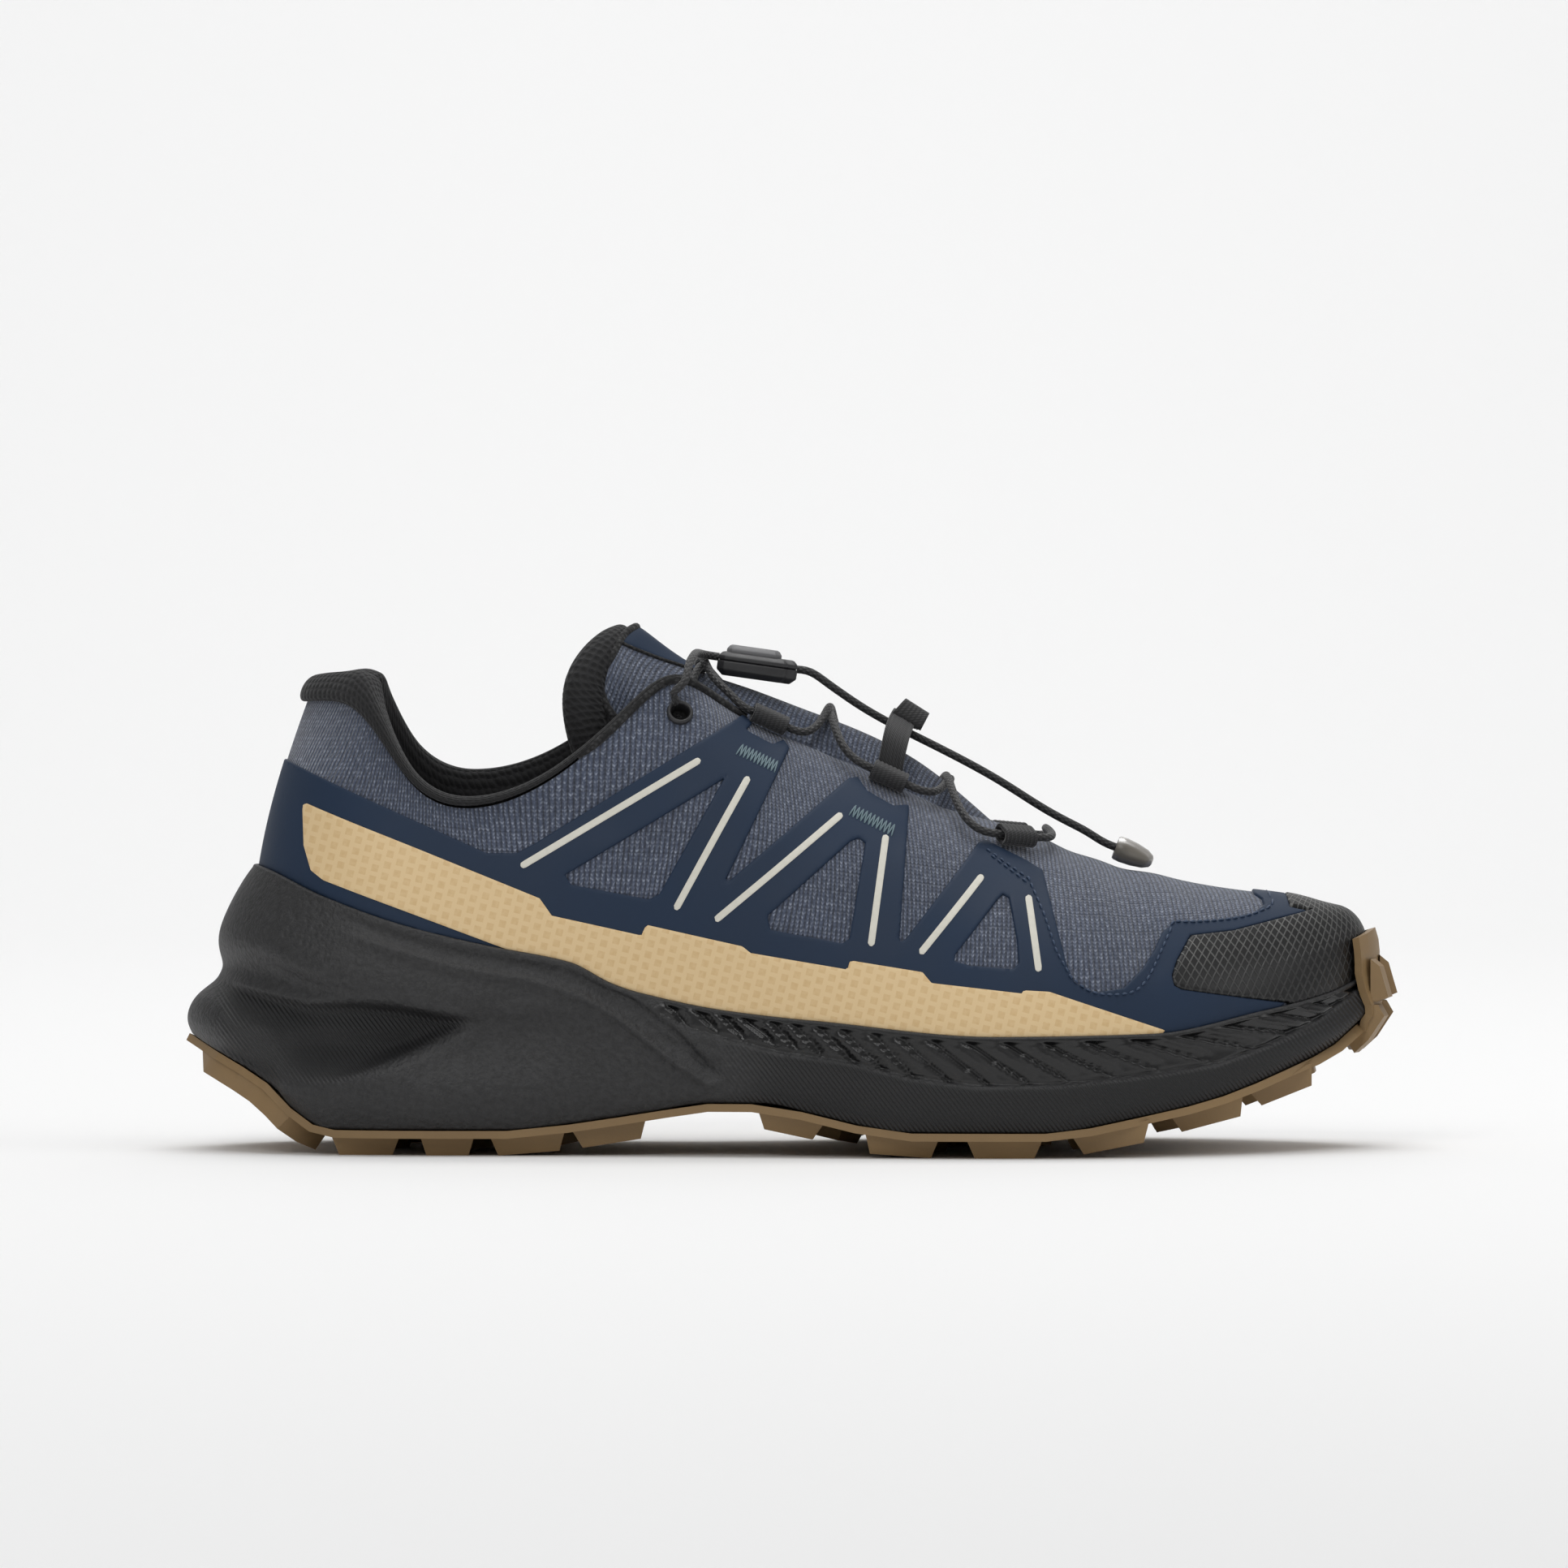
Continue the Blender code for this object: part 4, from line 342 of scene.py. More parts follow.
def wall_normals(rows, levels):
    """Unit normals of the wall: the cross product of a small step along it and one up it."""
    step = 1e-3
    levels = np.asarray(levels, float)
    place = np.where(rows >= 0, rows, 2 * LAST_ROW + rows)
    along = wall(signed_row(place + step), levels) - wall(signed_row(place - step), levels)
    low = np.clip(levels - step, 0, 1 - 2 * step)
    normal = np.cross(along, wall(rows, low + 2 * step) - wall(rows, low))
    normal /= np.maximum(np.linalg.norm(normal, axis=2, keepdims=True), 1e-12)
    normal[(np.abs(rows)[:, None] >= THROAT_ROW) & (levels[None, :] >= 1), 1] = 0
    normal[(np.abs(rows)[:, None] > LAST_ROW - 0.1) & (levels[None, :] >= 1)] = (0.55, 0, 1)
    return unit(normal)


def side_mm(points):
    """x from the back of the heel and z from the floor, in millimetres."""
    return 1000 * (points[..., 0] + SOLE_LENGTH / 2), 1000 * points[..., 2]


def away_from_line(x, z, line):
    """Distance from each point to the nearest piece of a broken line, in the side view."""
    line = np.asarray(line, float)
    near = np.full(np.shape(x), 1e9)
    for (ax, az), (bx, bz) in zip(line[:-1], line[1:]):
        ux, uz = bx - ax, bz - az
        share = np.clip(((x - ax) * ux + (z - az) * uz) / (ux * ux + uz * uz), 0, 1)
        near = np.minimum(near, np.hypot(x - ax - share * ux, z - az - share * uz))
    return near


# Soft troughs and ridges of the standing, empty upper: a line in the side view, its depth (negative
# for a ridge) and its half width, all in millimetres.
CREASES = [
    ([(238, 47), (233, 58), (231, 68)], 0.55, 4.0),
    ([(226, 50), (221, 60), (218, 72)], 0.45, 4.5),
    ([(245, 60), (240, 66)], -0.35, 4.0),
    ([(214, 66), (206, 77)], 0.50, 3.5),
    ([(64, 92), (84, 81), (104, 83)], 0.60, 6.0),
    ([(40, 100), (48, 84)], 0.40, 6.0),
    ([(88, 92), (112, 101)], -0.45, 6.0),
    ([(104, 76), (125, 84)], -0.40, 6.0),
    ([(152, 60), (160, 70)], -0.35, 6.0),
    ([(196, 52), (200, 58)], -0.30, 4.0),
    ([(150, 88), (160, 96)], 0.35, 4.0),
    ([(178, 78), (186, 84)], 0.35, 4.0),
]


def bell(value, width):
    """A bell curve: 1 at 0, falling as e to the minus square of value over width."""
    return np.exp(-((value / width) ** 2))


def relief(points):
    """How far creases push the skin out: each is a bell curve of the distance from its line."""
    x, z = side_mm(points)
    out = np.zeros(np.shape(x))
    for line, depth, width in CREASES:
        out -= depth / 1000 * bell(away_from_line(x, z, line), width)
    return out


RING_COLUMNS = 952
RING_LEVELS = 102
ring_rows = signed_row(np.arange(RING_COLUMNS) * 2 * LAST_ROW / RING_COLUMNS)
ring_levels = np.linspace(0, 1, RING_LEVELS)
skin_out = wall_normals(ring_rows, ring_levels)
skin = wall(ring_rows, ring_levels)
skin = skin + skin_out * relief(skin)[..., None]

# Where the knit's ribs run: their pitch is counted along the shoe at half height, and they lean
# forward on the quarters and stand upright over the toes.
half_height = skin[:, int(0.6 * RING_LEVELS)]
stride = np.linalg.norm(np.roll(half_height, -1, axis=0) - half_height, axis=1)
outer_half = RING_COLUMNS // 2
run = np.concatenate([[0], np.cumsum(stride[:outer_half])])
round_ring = np.minimum(np.arange(RING_COLUMNS), RING_COLUMNS - np.arange(RING_COLUMNS))
skin_x, skin_z = side_mm(skin)
lean = np.interp(skin_x, [0, 60, 130, 190, 225, 300], [0.10, 0.40, 0.42, 0.22, 0.0, -0.12])
steps = np.linalg.norm(np.diff(skin, axis=1), axis=2)
climb = np.concatenate([np.zeros((RING_COLUMNS, 1)), np.cumsum(steps, axis=1)], axis=1)
skin_lie = np.stack([run[round_ring][:, None] - lean * (skin_z / 1000 - 0.06), climb], axis=-1)
skin_turn = np.stack([run[round_ring][:, None] + 0 * climb, climb], axis=-1)

# The two sides share the points of the ridge over the toes.
skin_index = np.arange(RING_COLUMNS * RING_LEVELS).reshape(RING_COLUMNS, RING_LEVELS)
shared = np.where(ring_rows <= -THROAT_ROW)[0]
skin_index[shared, -1] = skin_index[RING_COLUMNS - shared, -1]
before, after = skin_index, np.roll(skin_index, -1, axis=0)
corners = [before[:, :-1], after[:, :-1], after[:, 1:], before[:, 1:]]
skin_triangles = np.concatenate([
    np.stack([corners[0], corners[1], corners[2]], axis=-1).reshape(-1, 3),
    np.stack([corners[0], corners[2], corners[3]], axis=-1).reshape(-1, 3),
])
whole = (skin_triangles[:, 0] != skin_triangles[:, 1]) & (skin_triangles[:, 1] != skin_triangles[:, 2])
skin_triangles = skin_triangles[whole & (skin_triangles[:, 0] != skin_triangles[:, 2])]


# Knit upper: one blue grey rib knit, warp threads of two blues with light flecks, bonded to foam and
# lining and closed along the ridge over the toes. It is cut open at the collar and the throat.
RIB_PITCH = 0.00125
STITCH_PITCH = 0.0011
RIPSTOP_PITCH = 0.0056


def knit_surface(name, deep, light, groove):
    """Rib knit: ribs are a triangle wave across the lie, and stitches one along it that turns at each rib's
    middle. A wider grid of fine lines crosses both, and light flecks sit on the raised threads."""
    made, tree, shader = surface(name, Roughness=0.82, Sheen_Weight=0.25, Sheen_Roughness=0.5)
    lie = node(tree, "UVMap", uv_map="lie")
    across, along = node(tree, "SeparateXYZ", {0: lie}, out=slice(2))
    turns = node(tree, "Math", {0: across, 1: 1 / RIB_PITCH}, operation="MULTIPLY")
    fold = node(tree, "Math", {0: turns, 1: 0.5}, operation="PINGPONG")
    rib = node(tree, "Math", {0: fold, 1: 2.0}, operation="MULTIPLY")
    rib = node(tree, "Math", {0: rib, 1: 0.6}, operation="POWER")
    chevron = node(tree, "Math", {0: along, 1: 1 / STITCH_PITCH, 2: fold}, operation="MULTIPLY_ADD")
    stitch = node(tree, "Math", {0: chevron, 1: 0.5}, operation="PINGPONG")
    stitch = node(tree, "Math", {0: stitch, 1: 2.0}, operation="MULTIPLY")
    lines = []
    for way in (along, across):
        turns = node(tree, "Math", {0: way, 1: 1 / RIPSTOP_PITCH}, operation="MULTIPLY")
        turns = node(tree, "Math", {0: turns, 1: 0.5}, operation="PINGPONG")
        lines.append(node(tree, "MapRange", {0: turns, 2: 0.06}))
    grid = node(tree, "Math", {0: lines[0], 1: lines[1]}, operation="MINIMUM")
    stretch = node(tree, "VectorMath", {0: lie, 1: (1600.0, 520.0, 1.0)}, operation="MULTIPLY")
    fleck = node(tree, "TexNoise", {"Vector": stretch, "Scale": 1.0, "Detail": 1.0}, noise_dimensions="2D")
    fleck = node(tree, "MapRange", {0: fleck, 1: 0.42, 2: 0.78})
    place = node(tree, "TexCoord", out="Object")
    cloud = node(tree, "TexNoise", {"Vector": place, "Scale": 55.0, "Detail": 3.0})
    height = node(tree, "Math", {0: stitch, 1: 0.35, 2: rib}, operation="MULTIPLY_ADD")
    height = node(tree, "Math", {0: grid, 1: 0.25, 2: height}, operation="MULTIPLY_ADD")
    colour = node(tree, "Mix", {0: rib, 6: linear(groove), 7: linear(deep)}, out=2, data_type="RGBA")
    bright = node(tree, "Math", {0: fleck, 1: stitch}, operation="MULTIPLY")
    bright = node(tree, "Math", {0: bright, 1: rib}, operation="MULTIPLY")
    colour = node(tree, "Mix", {0: bright, 6: colour, 7: linear(light)}, out=2, data_type="RGBA")
    shade = node(tree, "MapRange", {0: cloud, 1: 0.3, 2: 0.7, 3: 0.90, 4: 1.10})
    grid_shade = node(tree, "MapRange", {0: grid, 3: 0.80})
    shade = node(tree, "Math", {0: shade, 1: grid_shade}, operation="MULTIPLY")
    colour = node(tree, "HueSaturation", {"Color": colour, "Value": shade})
    bump = node(tree, "Bump", {"Height": height, "Strength": 0.9, "Distance": 0.00035})
    drive(tree, shader, Base_Color=colour, Normal=bump)
    return made


knit = knit_surface("blue grey rib knit", "#475064", "#9ba3b3", "#1a1f2b")
lining, tree, shader = surface("black warp knit lining", Roughness=0.9, Sheen_Weight=0.1)
place = node(tree, "TexCoord", out="Object")
thread = node(tree, "TexVoronoi", {"Vector": place, "Scale": 950.0})
tone = node(tree, "MapRange", {0: thread, 1: 0.1, 2: 0.6})
colour = node(tree, "Mix", {0: tone, 6: linear("#363637"), 7: linear("#0e0e0f")}, out=2, data_type="RGBA")
bump = node(tree, "Bump", {"Height": thread, "Strength": 0.8, "Distance": 0.0004})
drive(tree, shader, Base_Color=colour, Normal=bump)

INNER_LEVELS = 29
EYELET_SPOT = (122.4, 107.9)
EYELET_HOLE = 0.0022
inner_columns = np.arange(0, RING_COLUMNS, 4)
inner_levels = np.linspace(0, 1, INNER_LEVELS)
inner_rows = ring_rows[inner_columns]
inside = wall(inner_rows, inner_levels) - wall_normals(inner_rows, inner_levels) * WALL
inner_index = np.arange(inside.shape[0] * INNER_LEVELS).reshape(-1, INNER_LEVELS)
shared_inner = np.where(inner_rows <= -THROAT_ROW)[0]
inner_index[shared_inner, -1] = inner_index[len(inner_columns) - shared_inner, -1]
nearby = np.roll(inner_index, -1, axis=0)
inner_faces = np.stack([inner_index[:, 1:], nearby[:, 1:], nearby[:, :-1], inner_index[:, :-1]], axis=-1)
inner_faces = inner_faces.reshape(-1, 4)


def wall_spot(x, z, side):
    """The wall's point, outward normal and forward tangent at x and z in the side view. side 1 is outer."""
    rows = np.linspace(5, LAST_ROW - 1, 361) * side
    levels = np.linspace(0.3, 1, 141)
    points = wall(rows, levels)
    px, pz = side_mm(points)
    i, j = np.unravel_index(np.argmin((px - x) ** 2 + (pz - z) ** 2), px.shape)
    normal = wall_normals(rows[[i]], levels[[j]])[0, 0]
    ahead = (top_line(rows[[min(i + 4, 360)]]) - top_line(rows[[max(i - 4, 0)]]))[0]
    ahead = ahead - normal * (ahead @ normal)
    return points[i, j], normal, ahead / np.linalg.norm(ahead)


def cut_to(corners, data, field):
    """Keeps a triangle mesh where field is above 0. A triangle on the edge is cut along field 0."""
    inside = field[corners] > 0
    count = inside.sum(axis=1)
    cut = corners[(count == 1) | (count == 2)]
    kept = inside[(count == 1) | (count == 2)]
    single = kept.sum(axis=1) == 1
    odd = np.where(single, kept.argmax(axis=1), (~kept).argmax(axis=1))
    a, b, c = np.take_along_axis(cut, (odd[:, None] + np.arange(3)) % 3, axis=1).T
    size = len(data)
    pairs = np.concatenate([np.minimum(a, far) * size + np.maximum(a, far) for far in (b, c)])
    unique, back = np.unique(pairs, return_inverse=True)
    low, high = unique // size, unique % size
    share = (field[low] / (field[low] - field[high]))[:, None]
    ab, ac = size + back[: len(a)], size + back[len(a) :]
    made = [corners[count == 3], np.stack([a, ab, ac], axis=1)[single]]
    made += [np.stack([ab, b, c], axis=1)[~single], np.stack([ab, c, ac], axis=1)[~single]]
    faces = np.concatenate(made)
    data = np.concatenate([data, data[low] * (1 - share) + data[high] * share])
    used, faces = np.unique(faces, return_inverse=True)
    return data[used], faces.reshape(-1, 3)


hole_gap = np.full(skin_x.shape, 1.0)
for side in (1, -1):
    eyelet_gap = np.linalg.norm(skin - wall_spot(*EYELET_SPOT, side)[0], axis=2)
    hole_gap = np.minimum(hole_gap, eyelet_gap - 1.2 * EYELET_HOLE)
data = np.concatenate([skin.reshape(-1, 3), skin_lie.reshape(-1, 2)], axis=1)
data, faces = cut_to(skin_triangles, data, hole_gap.ravel())
upper = put_mesh("knit_upper", data[:, :3], faces, knit, uv=data[:, 3:])
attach(upper, "root")
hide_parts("upper")
upper_lining = put_mesh("upper_lining", inside, inner_faces, lining)
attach(upper_lining, "root")

# The knit's cut edge round the collar and throat, folded in over the wall's thickness.
EDGE_COLUMNS = 361
EDGE_SWELL = 0.0002
edge_rows = np.linspace(-THROAT_ROW, THROAT_ROW, EDGE_COLUMNS)
edge_out = wall_normals(edge_rows, [1.0])[:, 0]
edge_top = wall(edge_rows, [1.0])[:, 0]
edge_top = edge_top + edge_out * relief(edge_top)[:, None]
edge_up = unit(edge_top - wall(edge_rows, [0.98])[:, 0])
fold = np.linspace(0, math.pi, 7)[None, :, None]
fold_ring = edge_top[:, None] - edge_out[:, None] * WALL * (1 - np.cos(fold)) / 2
fold_ring = fold_ring + edge_up[:, None] * EDGE_SWELL * np.sin(fold)
fold_edge = put_mesh("upper_edge", fold_ring, quads(EDGE_COLUMNS, 7), lining)
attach(fold_edge, "root")


# Midsole: one moulded block of black foam. The upper sits in its cup; its heel flares out behind, its
# side is scooped under a swooping ledge, and a glossy band of slanting leaves runs round the forefoot.
LUG_HEIGHT = 0.0043
SHEET = 0.0019
FLOOR_DROP = GAP + SHEET + LUG_HEIGHT
ARCH_RISE = 0.0068
HEEL_BEVEL = 0.0231
SIDE_FLARE = 0.0080
RIM_LIP = 0.0018
# Columns: along, then bevel, arch and spring, the shares by which the underside stands over its plane.
UNDER_ROWS = np.array([
    (-0.068, 1.00, 0.00, 0.00),
    (-0.048, 0.88, 0.00, 0.00),
    (0.020, 0.42, 0.00, 0.00),
    (0.035, 0.22, 0.00, 0.00),
    (0.069, 0.00, 0.00, 0.00),
    (0.228, 0.00, 0.00, 0.00),
    (0.282, 0.00, 0.22, 0.00),
    (0.354, 0.00, 0.66, 0.00),
    (0.412, 0.00, 1.00, 0.00),
    (0.455, 0.00, 1.00, 0.00),
    (0.499, 0.00, 0.66, 0.00),
    (0.553, 0.00, 0.16, 0.00),
    (0.582, 0.00, 0.00, 0.00),
    (0.705, 0.00, 0.00, 0.00),
    (0.784, 0.00, 0.00, 0.27),
    (0.857, 0.00, 0.00, 0.62),
    (0.929, 0.00, 0.00, 1.20),
    (0.965, 0.00, 0.00, 1.55),
    (0.990, 0.00, 0.00, 1.95),
    (1.010, 0.00, 0.00, 2.20),
])
# Row, and whether reach is a share of the heel's flare; then height share and reach for seven levels.
SOLE_ZONES = np.array([
    (0, 1, 0, 0.94, 0.10, 0.985, 0.23, 0.80, 0.335, 0.50, 0.44, 0.43, 0.61, 0.456, 0.865, 0.25),
    (1.5, 0, 0, 0.75, 0.12, 1.30, 0.27, 1.45, 0.42, 0.90, 0.60, 0.58, 0.70, 0.86, 0.88, 0.50),
    (3, 0, 0, 0.55, 0.10, 0.95, 0.25, 1.00, 0.40, 0.60, 0.56, 0.38, 0.68, 0.62, 0.86, 0.40),
    (5, 0, 0, 0.35, 0.10, 0.60, 0.25, 0.68, 0.42, 0.64, 0.60, 0.52, 0.72, 0.46, 0.88, 0.32),
    (7, 0, 0, 0.28, 0.10, 0.48, 0.25, 0.52, 0.42, 0.48, 0.60, 0.40, 0.72, 0.36, 0.88, 0.28),
    (11, 0, 0, 0.32, 0.12, 0.56, 0.28, 0.60, 0.46, 0.54, 0.54, 0.38, 0.72, 0.34, 0.88, 0.27),
    (14, 0, 0, 0.26, 0.12, 0.42, 0.28, 0.50, 0.46, 0.48, 0.54, 0.38, 0.72, 0.32, 0.88, 0.26),
    (16, 0, 0, 0.29, 0.12, 0.46, 0.28, 0.60, 0.46, 0.57, 0.54, 0.50, 0.72, 0.38, 0.88, 0.30),
    (17, 0, 0, 0.31, 0.12, 0.50, 0.28, 0.65, 0.46, 0.62, 0.54, 0.56, 0.72, 0.42, 0.88, 0.31),
])
SOLE_COLUMNS = 900
SOLE_LEVELS = 60
# The ledge's two edges, the top of the scoop and its slanting front, and the band's lower line.
LEDGE_TOP = [(99, 45.7), (108.7, 39.2), (121.8, 29.8), (133.7, 17.1)]
LEDGE_LOW = [
    (35.6, 55.2), (47.3, 52.1), (66.2, 46.3), (86.6, 42.7), (99.1, 38.7), (108.7, 32.8), (121.8, 22.7),
    (129, 17.9),
]
SCOOP_TOP = [
    (8.7, 43.1), (22.3, 39.9), (31.6, 37.9), (42.5, 38.3), (53.6, 37.5), (65.4, 35.2), (75.9, 33.6),
]
SCOOP_FRONT = [(75.9, 33.6), (44.9, 18.3)]
BAND_LOW = [
    (117.8, 34.8), (124.8, 31.4), (146.6, 25.8), (162.5, 23.8), (178.4, 19.9), (194.3, 17.9), (214.2, 18.3),
    (234.1, 20.3), (253.9, 22.8), (265.9, 26.8), (280, 33), (291.7, 40.7),
]
# The grooves between the band's leaves, each from its top to its foot.
GROOVES = [
    ((119.1, 36.8), (122.6, 33.0)), ((125.8, 35.6), (129.7, 32.0)), ((132.1, 34.4), (136.4, 30.0)),
    ((137.9, 33.2), (143.5, 28.8)), ((144.7, 32.4), (149.4, 27.2)), ((150.2, 31.6), (156.0, 25.6)),
    ((156.4, 30.8), (163.9, 23.6)), ((162.3, 30.0), (171.0, 21.8)), ((169.8, 29.2), (178.8, 19.5)),
    ((176.8, 28.0), (187.5, 18.7)), ((184.4, 27.6), (196.5, 18.3)), ((192.9, 27.2), (206.2, 18.7)),
    ((202.1, 27.2), (215.8, 19.5)), ((212.0, 27.2), (226.1, 20.7)), ((222.3, 27.6), (236.8, 22.1)),
    ((232.9, 28.4), (249.0, 23.8)), ((242.2, 29.9), (261.1, 26.4)), ((253.5, 31.8), (272.6, 29.2)),
    ((265.7, 34.4), (282.0, 31.8)), ((276.6, 36.6), (289.7, 34.8)), ((285.7, 39.2), (294.8, 38.1)),
]
# How far the side's forms stand out or in, in millimetres.
SCOOP_DEPTH = 3.7
SCOOP_RIDGE = 1.0
FRONT_RIDGE = 0.70
LEDGE_RIDGE = 1.2
LEDGE_TROUGH = 1.0
LEDGE_LINE = 0.9
BAND_LINE = 0.55
BAND_DEPTH = 0.15
LEAF_DEPTH = 1.5
LEAF_LIP = 0.5


def underside(x):
    """Height of the underside: lug and sheet, plus its shares of bevel, arch and toe spring."""
    along = (x - HEEL_X) / LAST_LENGTH
    sizes = (HEEL_BEVEL, ARCH_RISE, TOE_SPRING)
    lifts = (size * glide(UNDER_ROWS[:, 0], UNDER_ROWS[:, k + 1], along) for k, size in enumerate(sizes))
    return FLOOR_DROP + sum(lifts)


def plan_normals(ring):
    """Outward unit normals of a closed ring in plan: its step ahead turned a quarter turn."""
    ahead = np.roll(ring[:, :2], -1, axis=0) - np.roll(ring[:, :2], 1, axis=0)
    normal = np.column_stack([ahead[:, 1], -ahead[:, 0], np.zeros(len(ahead))])
    return unit(normal)


def smooth(value, low, high):
    """0 below low and 1 above high, with the cubic 3t^2 - 2t^3 between."""
    t = np.clip((value - low) / (high - low), 0, 1)
    return t * t * (3 - 2 * t)


def below_line(x, z, line):
    """How far each point lies below a line that runs from left to right, straight down."""
    line = np.asarray(line, float)
    return np.interp(x, line[:, 0], line[:, 1]) - z


def wall_at_height(heights):
    """The wall's point in each column at its height: the two levels beside it, mixed."""
    rising = np.maximum.accumulate(sole_wall[:, :, 2], axis=1)
    upper_level = np.clip((rising < heights[:, None]).sum(axis=1), 1, sole_wall.shape[1] - 1)
    column = np.arange(len(heights))
    low, high = sole_wall[column, upper_level - 1], sole_wall[column, upper_level]
    share = np.clip((heights - low[:, 2]) / np.maximum(high[:, 2] - low[:, 2], 1e-9), 0, 1)[:, None]
    place = low + share * (high - low)
    place[:, 2] = heights
    return place


sole_rows = signed_row(np.arange(SOLE_COLUMNS) * 2 * LAST_ROW / SOLE_COLUMNS)
sole_wall = wall(sole_rows, np.linspace(0, 1, 81))
foot_ring = sole_wall[:, 0]
outward = plan_normals(foot_ring)
rim_height = rim(foot_ring[:, 0])
for _ in range(6):
    rim_height = rim(wall_at_height(rim_height)[:, 0])
zone_place = np.abs(sole_rows)
sole_rings = []
for level in range(7):
    share = glide(SOLE_ZONES[:, 0], SOLE_ZONES[:, 2 + 2 * level], zone_place)
    flare = np.where(SOLE_ZONES[:, 1] > 0, HEEL_FLARE, SIDE_FLARE)
    reach = glide(SOLE_ZONES[:, 0], SOLE_ZONES[:, 3 + 2 * level] * flare, zone_place)
    if level == 0:
        ring = foot_ring + outward * (GAP + reach)[:, None]
        low = underside(ring[:, 0])
        ring[:, 2] = low
    else:
        height = low + share * (rim_height - low)
        ring = wall_at_height(np.maximum(height, foot_ring[:, 2])) + outward * (GAP + reach)[:, None]
        ring[:, 2] = height
    sole_rings.append(ring)
rim_edge = wall_at_height(rim_height)
sole_rings.append(rim_edge + outward * (GAP + RIM_LIP))
sole_side = natural(np.arange(8), np.array(sole_rings).reshape(8, -1), np.linspace(0, 7, SOLE_LEVELS))
sole_side = sole_side.reshape(SOLE_LEVELS, SOLE_COLUMNS, 3).transpose(1, 0, 2)

side_x, side_z = side_mm(sole_side)
on_side = smooth(np.abs(outward[:, 1]), 0.15, 0.5)[:, None]
below_band = below_line(side_x, side_z, BAND_LOW)
band = smooth(-below_band, -0.3, 0.3) * smooth(side_x, 113, 119)
groove_gap = np.full(side_x.shape, 1e9)
groove_side = np.zeros(side_x.shape)
for groove in GROOVES:
    gap_here = away_from_line(side_x, side_z, groove)
    (ax, az), (bx, bz) = groove
    across_line = (bx - ax) * (side_z - az) - (bz - az) * (side_x - ax)
    groove_side = np.where(gap_here < groove_gap, np.sign(across_line), groove_side)
    groove_gap = np.minimum(groove_gap, gap_here)
under_ledge = below_line(side_x, side_z, LEDGE_LOW)
above_ledge = below_line(side_x, side_z, LEDGE_TOP)
on_ledge = smooth(side_x, 34, 52) * smooth(-side_x, -134, -128)
under_scoop = below_line(side_x, side_z, SCOOP_TOP)
(ax, az), (bx, bz) = SCOOP_FRONT
behind_front = ((bz - az) * (side_x - ax) - (bx - ax) * (side_z - az)) / math.hypot(bx - ax, bz - az)
scoop = smooth(under_scoop, 0, 3.2) * smooth(behind_front, -0.5, 5)
scoop *= smooth(side_z, 14, 26) * smooth(side_x, 2, 24)

# How far the side stands out of its plain form, in millimetres: the scoop, shallower near the footbed
# so as not to cut through the cup, the ridges over it and before it, the ledge with the trough under
# it and the line over it, the leaves of the band, and the line under the band.
stand_out = -SCOOP_DEPTH * scoop * on_side * (1 - 0.42 * smooth(side_z, 26, 31.5))
stand_out += SCOOP_RIDGE * bell(under_scoop, 1.7) * smooth(side_x, 4, 16) * smooth(-side_x, -76, -66)
before_scoop = bell(behind_front + 1.5, 2.5) * smooth(under_scoop, 0, 4)
stand_out += FRONT_RIDGE * before_scoop * smooth(side_z, 15, 22) * smooth(side_x, 40, 52)
stand_out += on_ledge * LEDGE_RIDGE * bell(under_ledge, 1.2)
stand_out -= on_ledge * LEDGE_TROUGH * bell(under_ledge + 4.0, 2.2)
over_ledge = smooth(side_x, 98, 106) * smooth(-side_x, -133, -126)
stand_out -= LEDGE_LINE * bell(above_ledge, 1.0) * over_ledge
leaf = -BAND_DEPTH - LEAF_DEPTH * np.exp(-groove_gap / 1.6) * (groove_side >= 0)
leaf += LEAF_LIP * np.exp(-groove_gap / 1.2) * (groove_side < 0)
stand_out += band * leaf
stand_out -= BAND_LINE * bell(below_band, 0.6) * smooth(side_x, 116, 122)
up_side = np.linspace(0, 1, SOLE_LEVELS)
fade = smooth(up_side, 0.0, 0.08) * smooth(-up_side, -0.985, -0.93)
sole_side = sole_side + outward[:, None] * (stand_out * fade[None] / 1000)[..., None]

LIP_RISE = 0.0007
lip = np.linspace(0, math.pi, 9)[1:]
lip_ring = rim_edge[:, None] + outward[:, None] * (GAP + RIM_LIP * (1 + np.cos(lip)) / 2)[None, :, None]
lip_ring = lip_ring + np.array([0, 0, LIP_RISE]) * np.sin(lip)[None, :, None]
cup = [
    wall_at_height(foot_ring[:, 2] + share * (rim_height - foot_ring[:, 2])) + outward * GAP
    for share in (0.8, 0.5, 0.25, 0.05)
]
bed_edge = foot_ring + outward * GAP
bed_edge[:, 2] = footbed(foot_ring[:, 0])
sole_grid = np.concatenate([sole_side, lip_ring, np.stack([*cup, bed_edge], axis=1)], axis=1)
depth = sole_grid.shape[1]


def rungs(ends, columns, stride, flip):
    """Faces across a closed ring, from each outer column to the inner column of the same row."""
    i = np.arange(columns // 2)
    j = (columns - i) % columns
    faces = np.stack([i, i + 1, (columns - i - 1) % columns, j], axis=-1) * stride + ends
    return faces[:, ::-1] if flip else faces


def without_repeats(faces):
    """Lists of corners with a corner that follows itself left out, for the rungs that end in a point."""
    kept = [[corner for k, corner in enumerate(face) if corner != face[k - 1]] for face in faces.tolist()]
    return [face for face in kept if len(face) > 2]


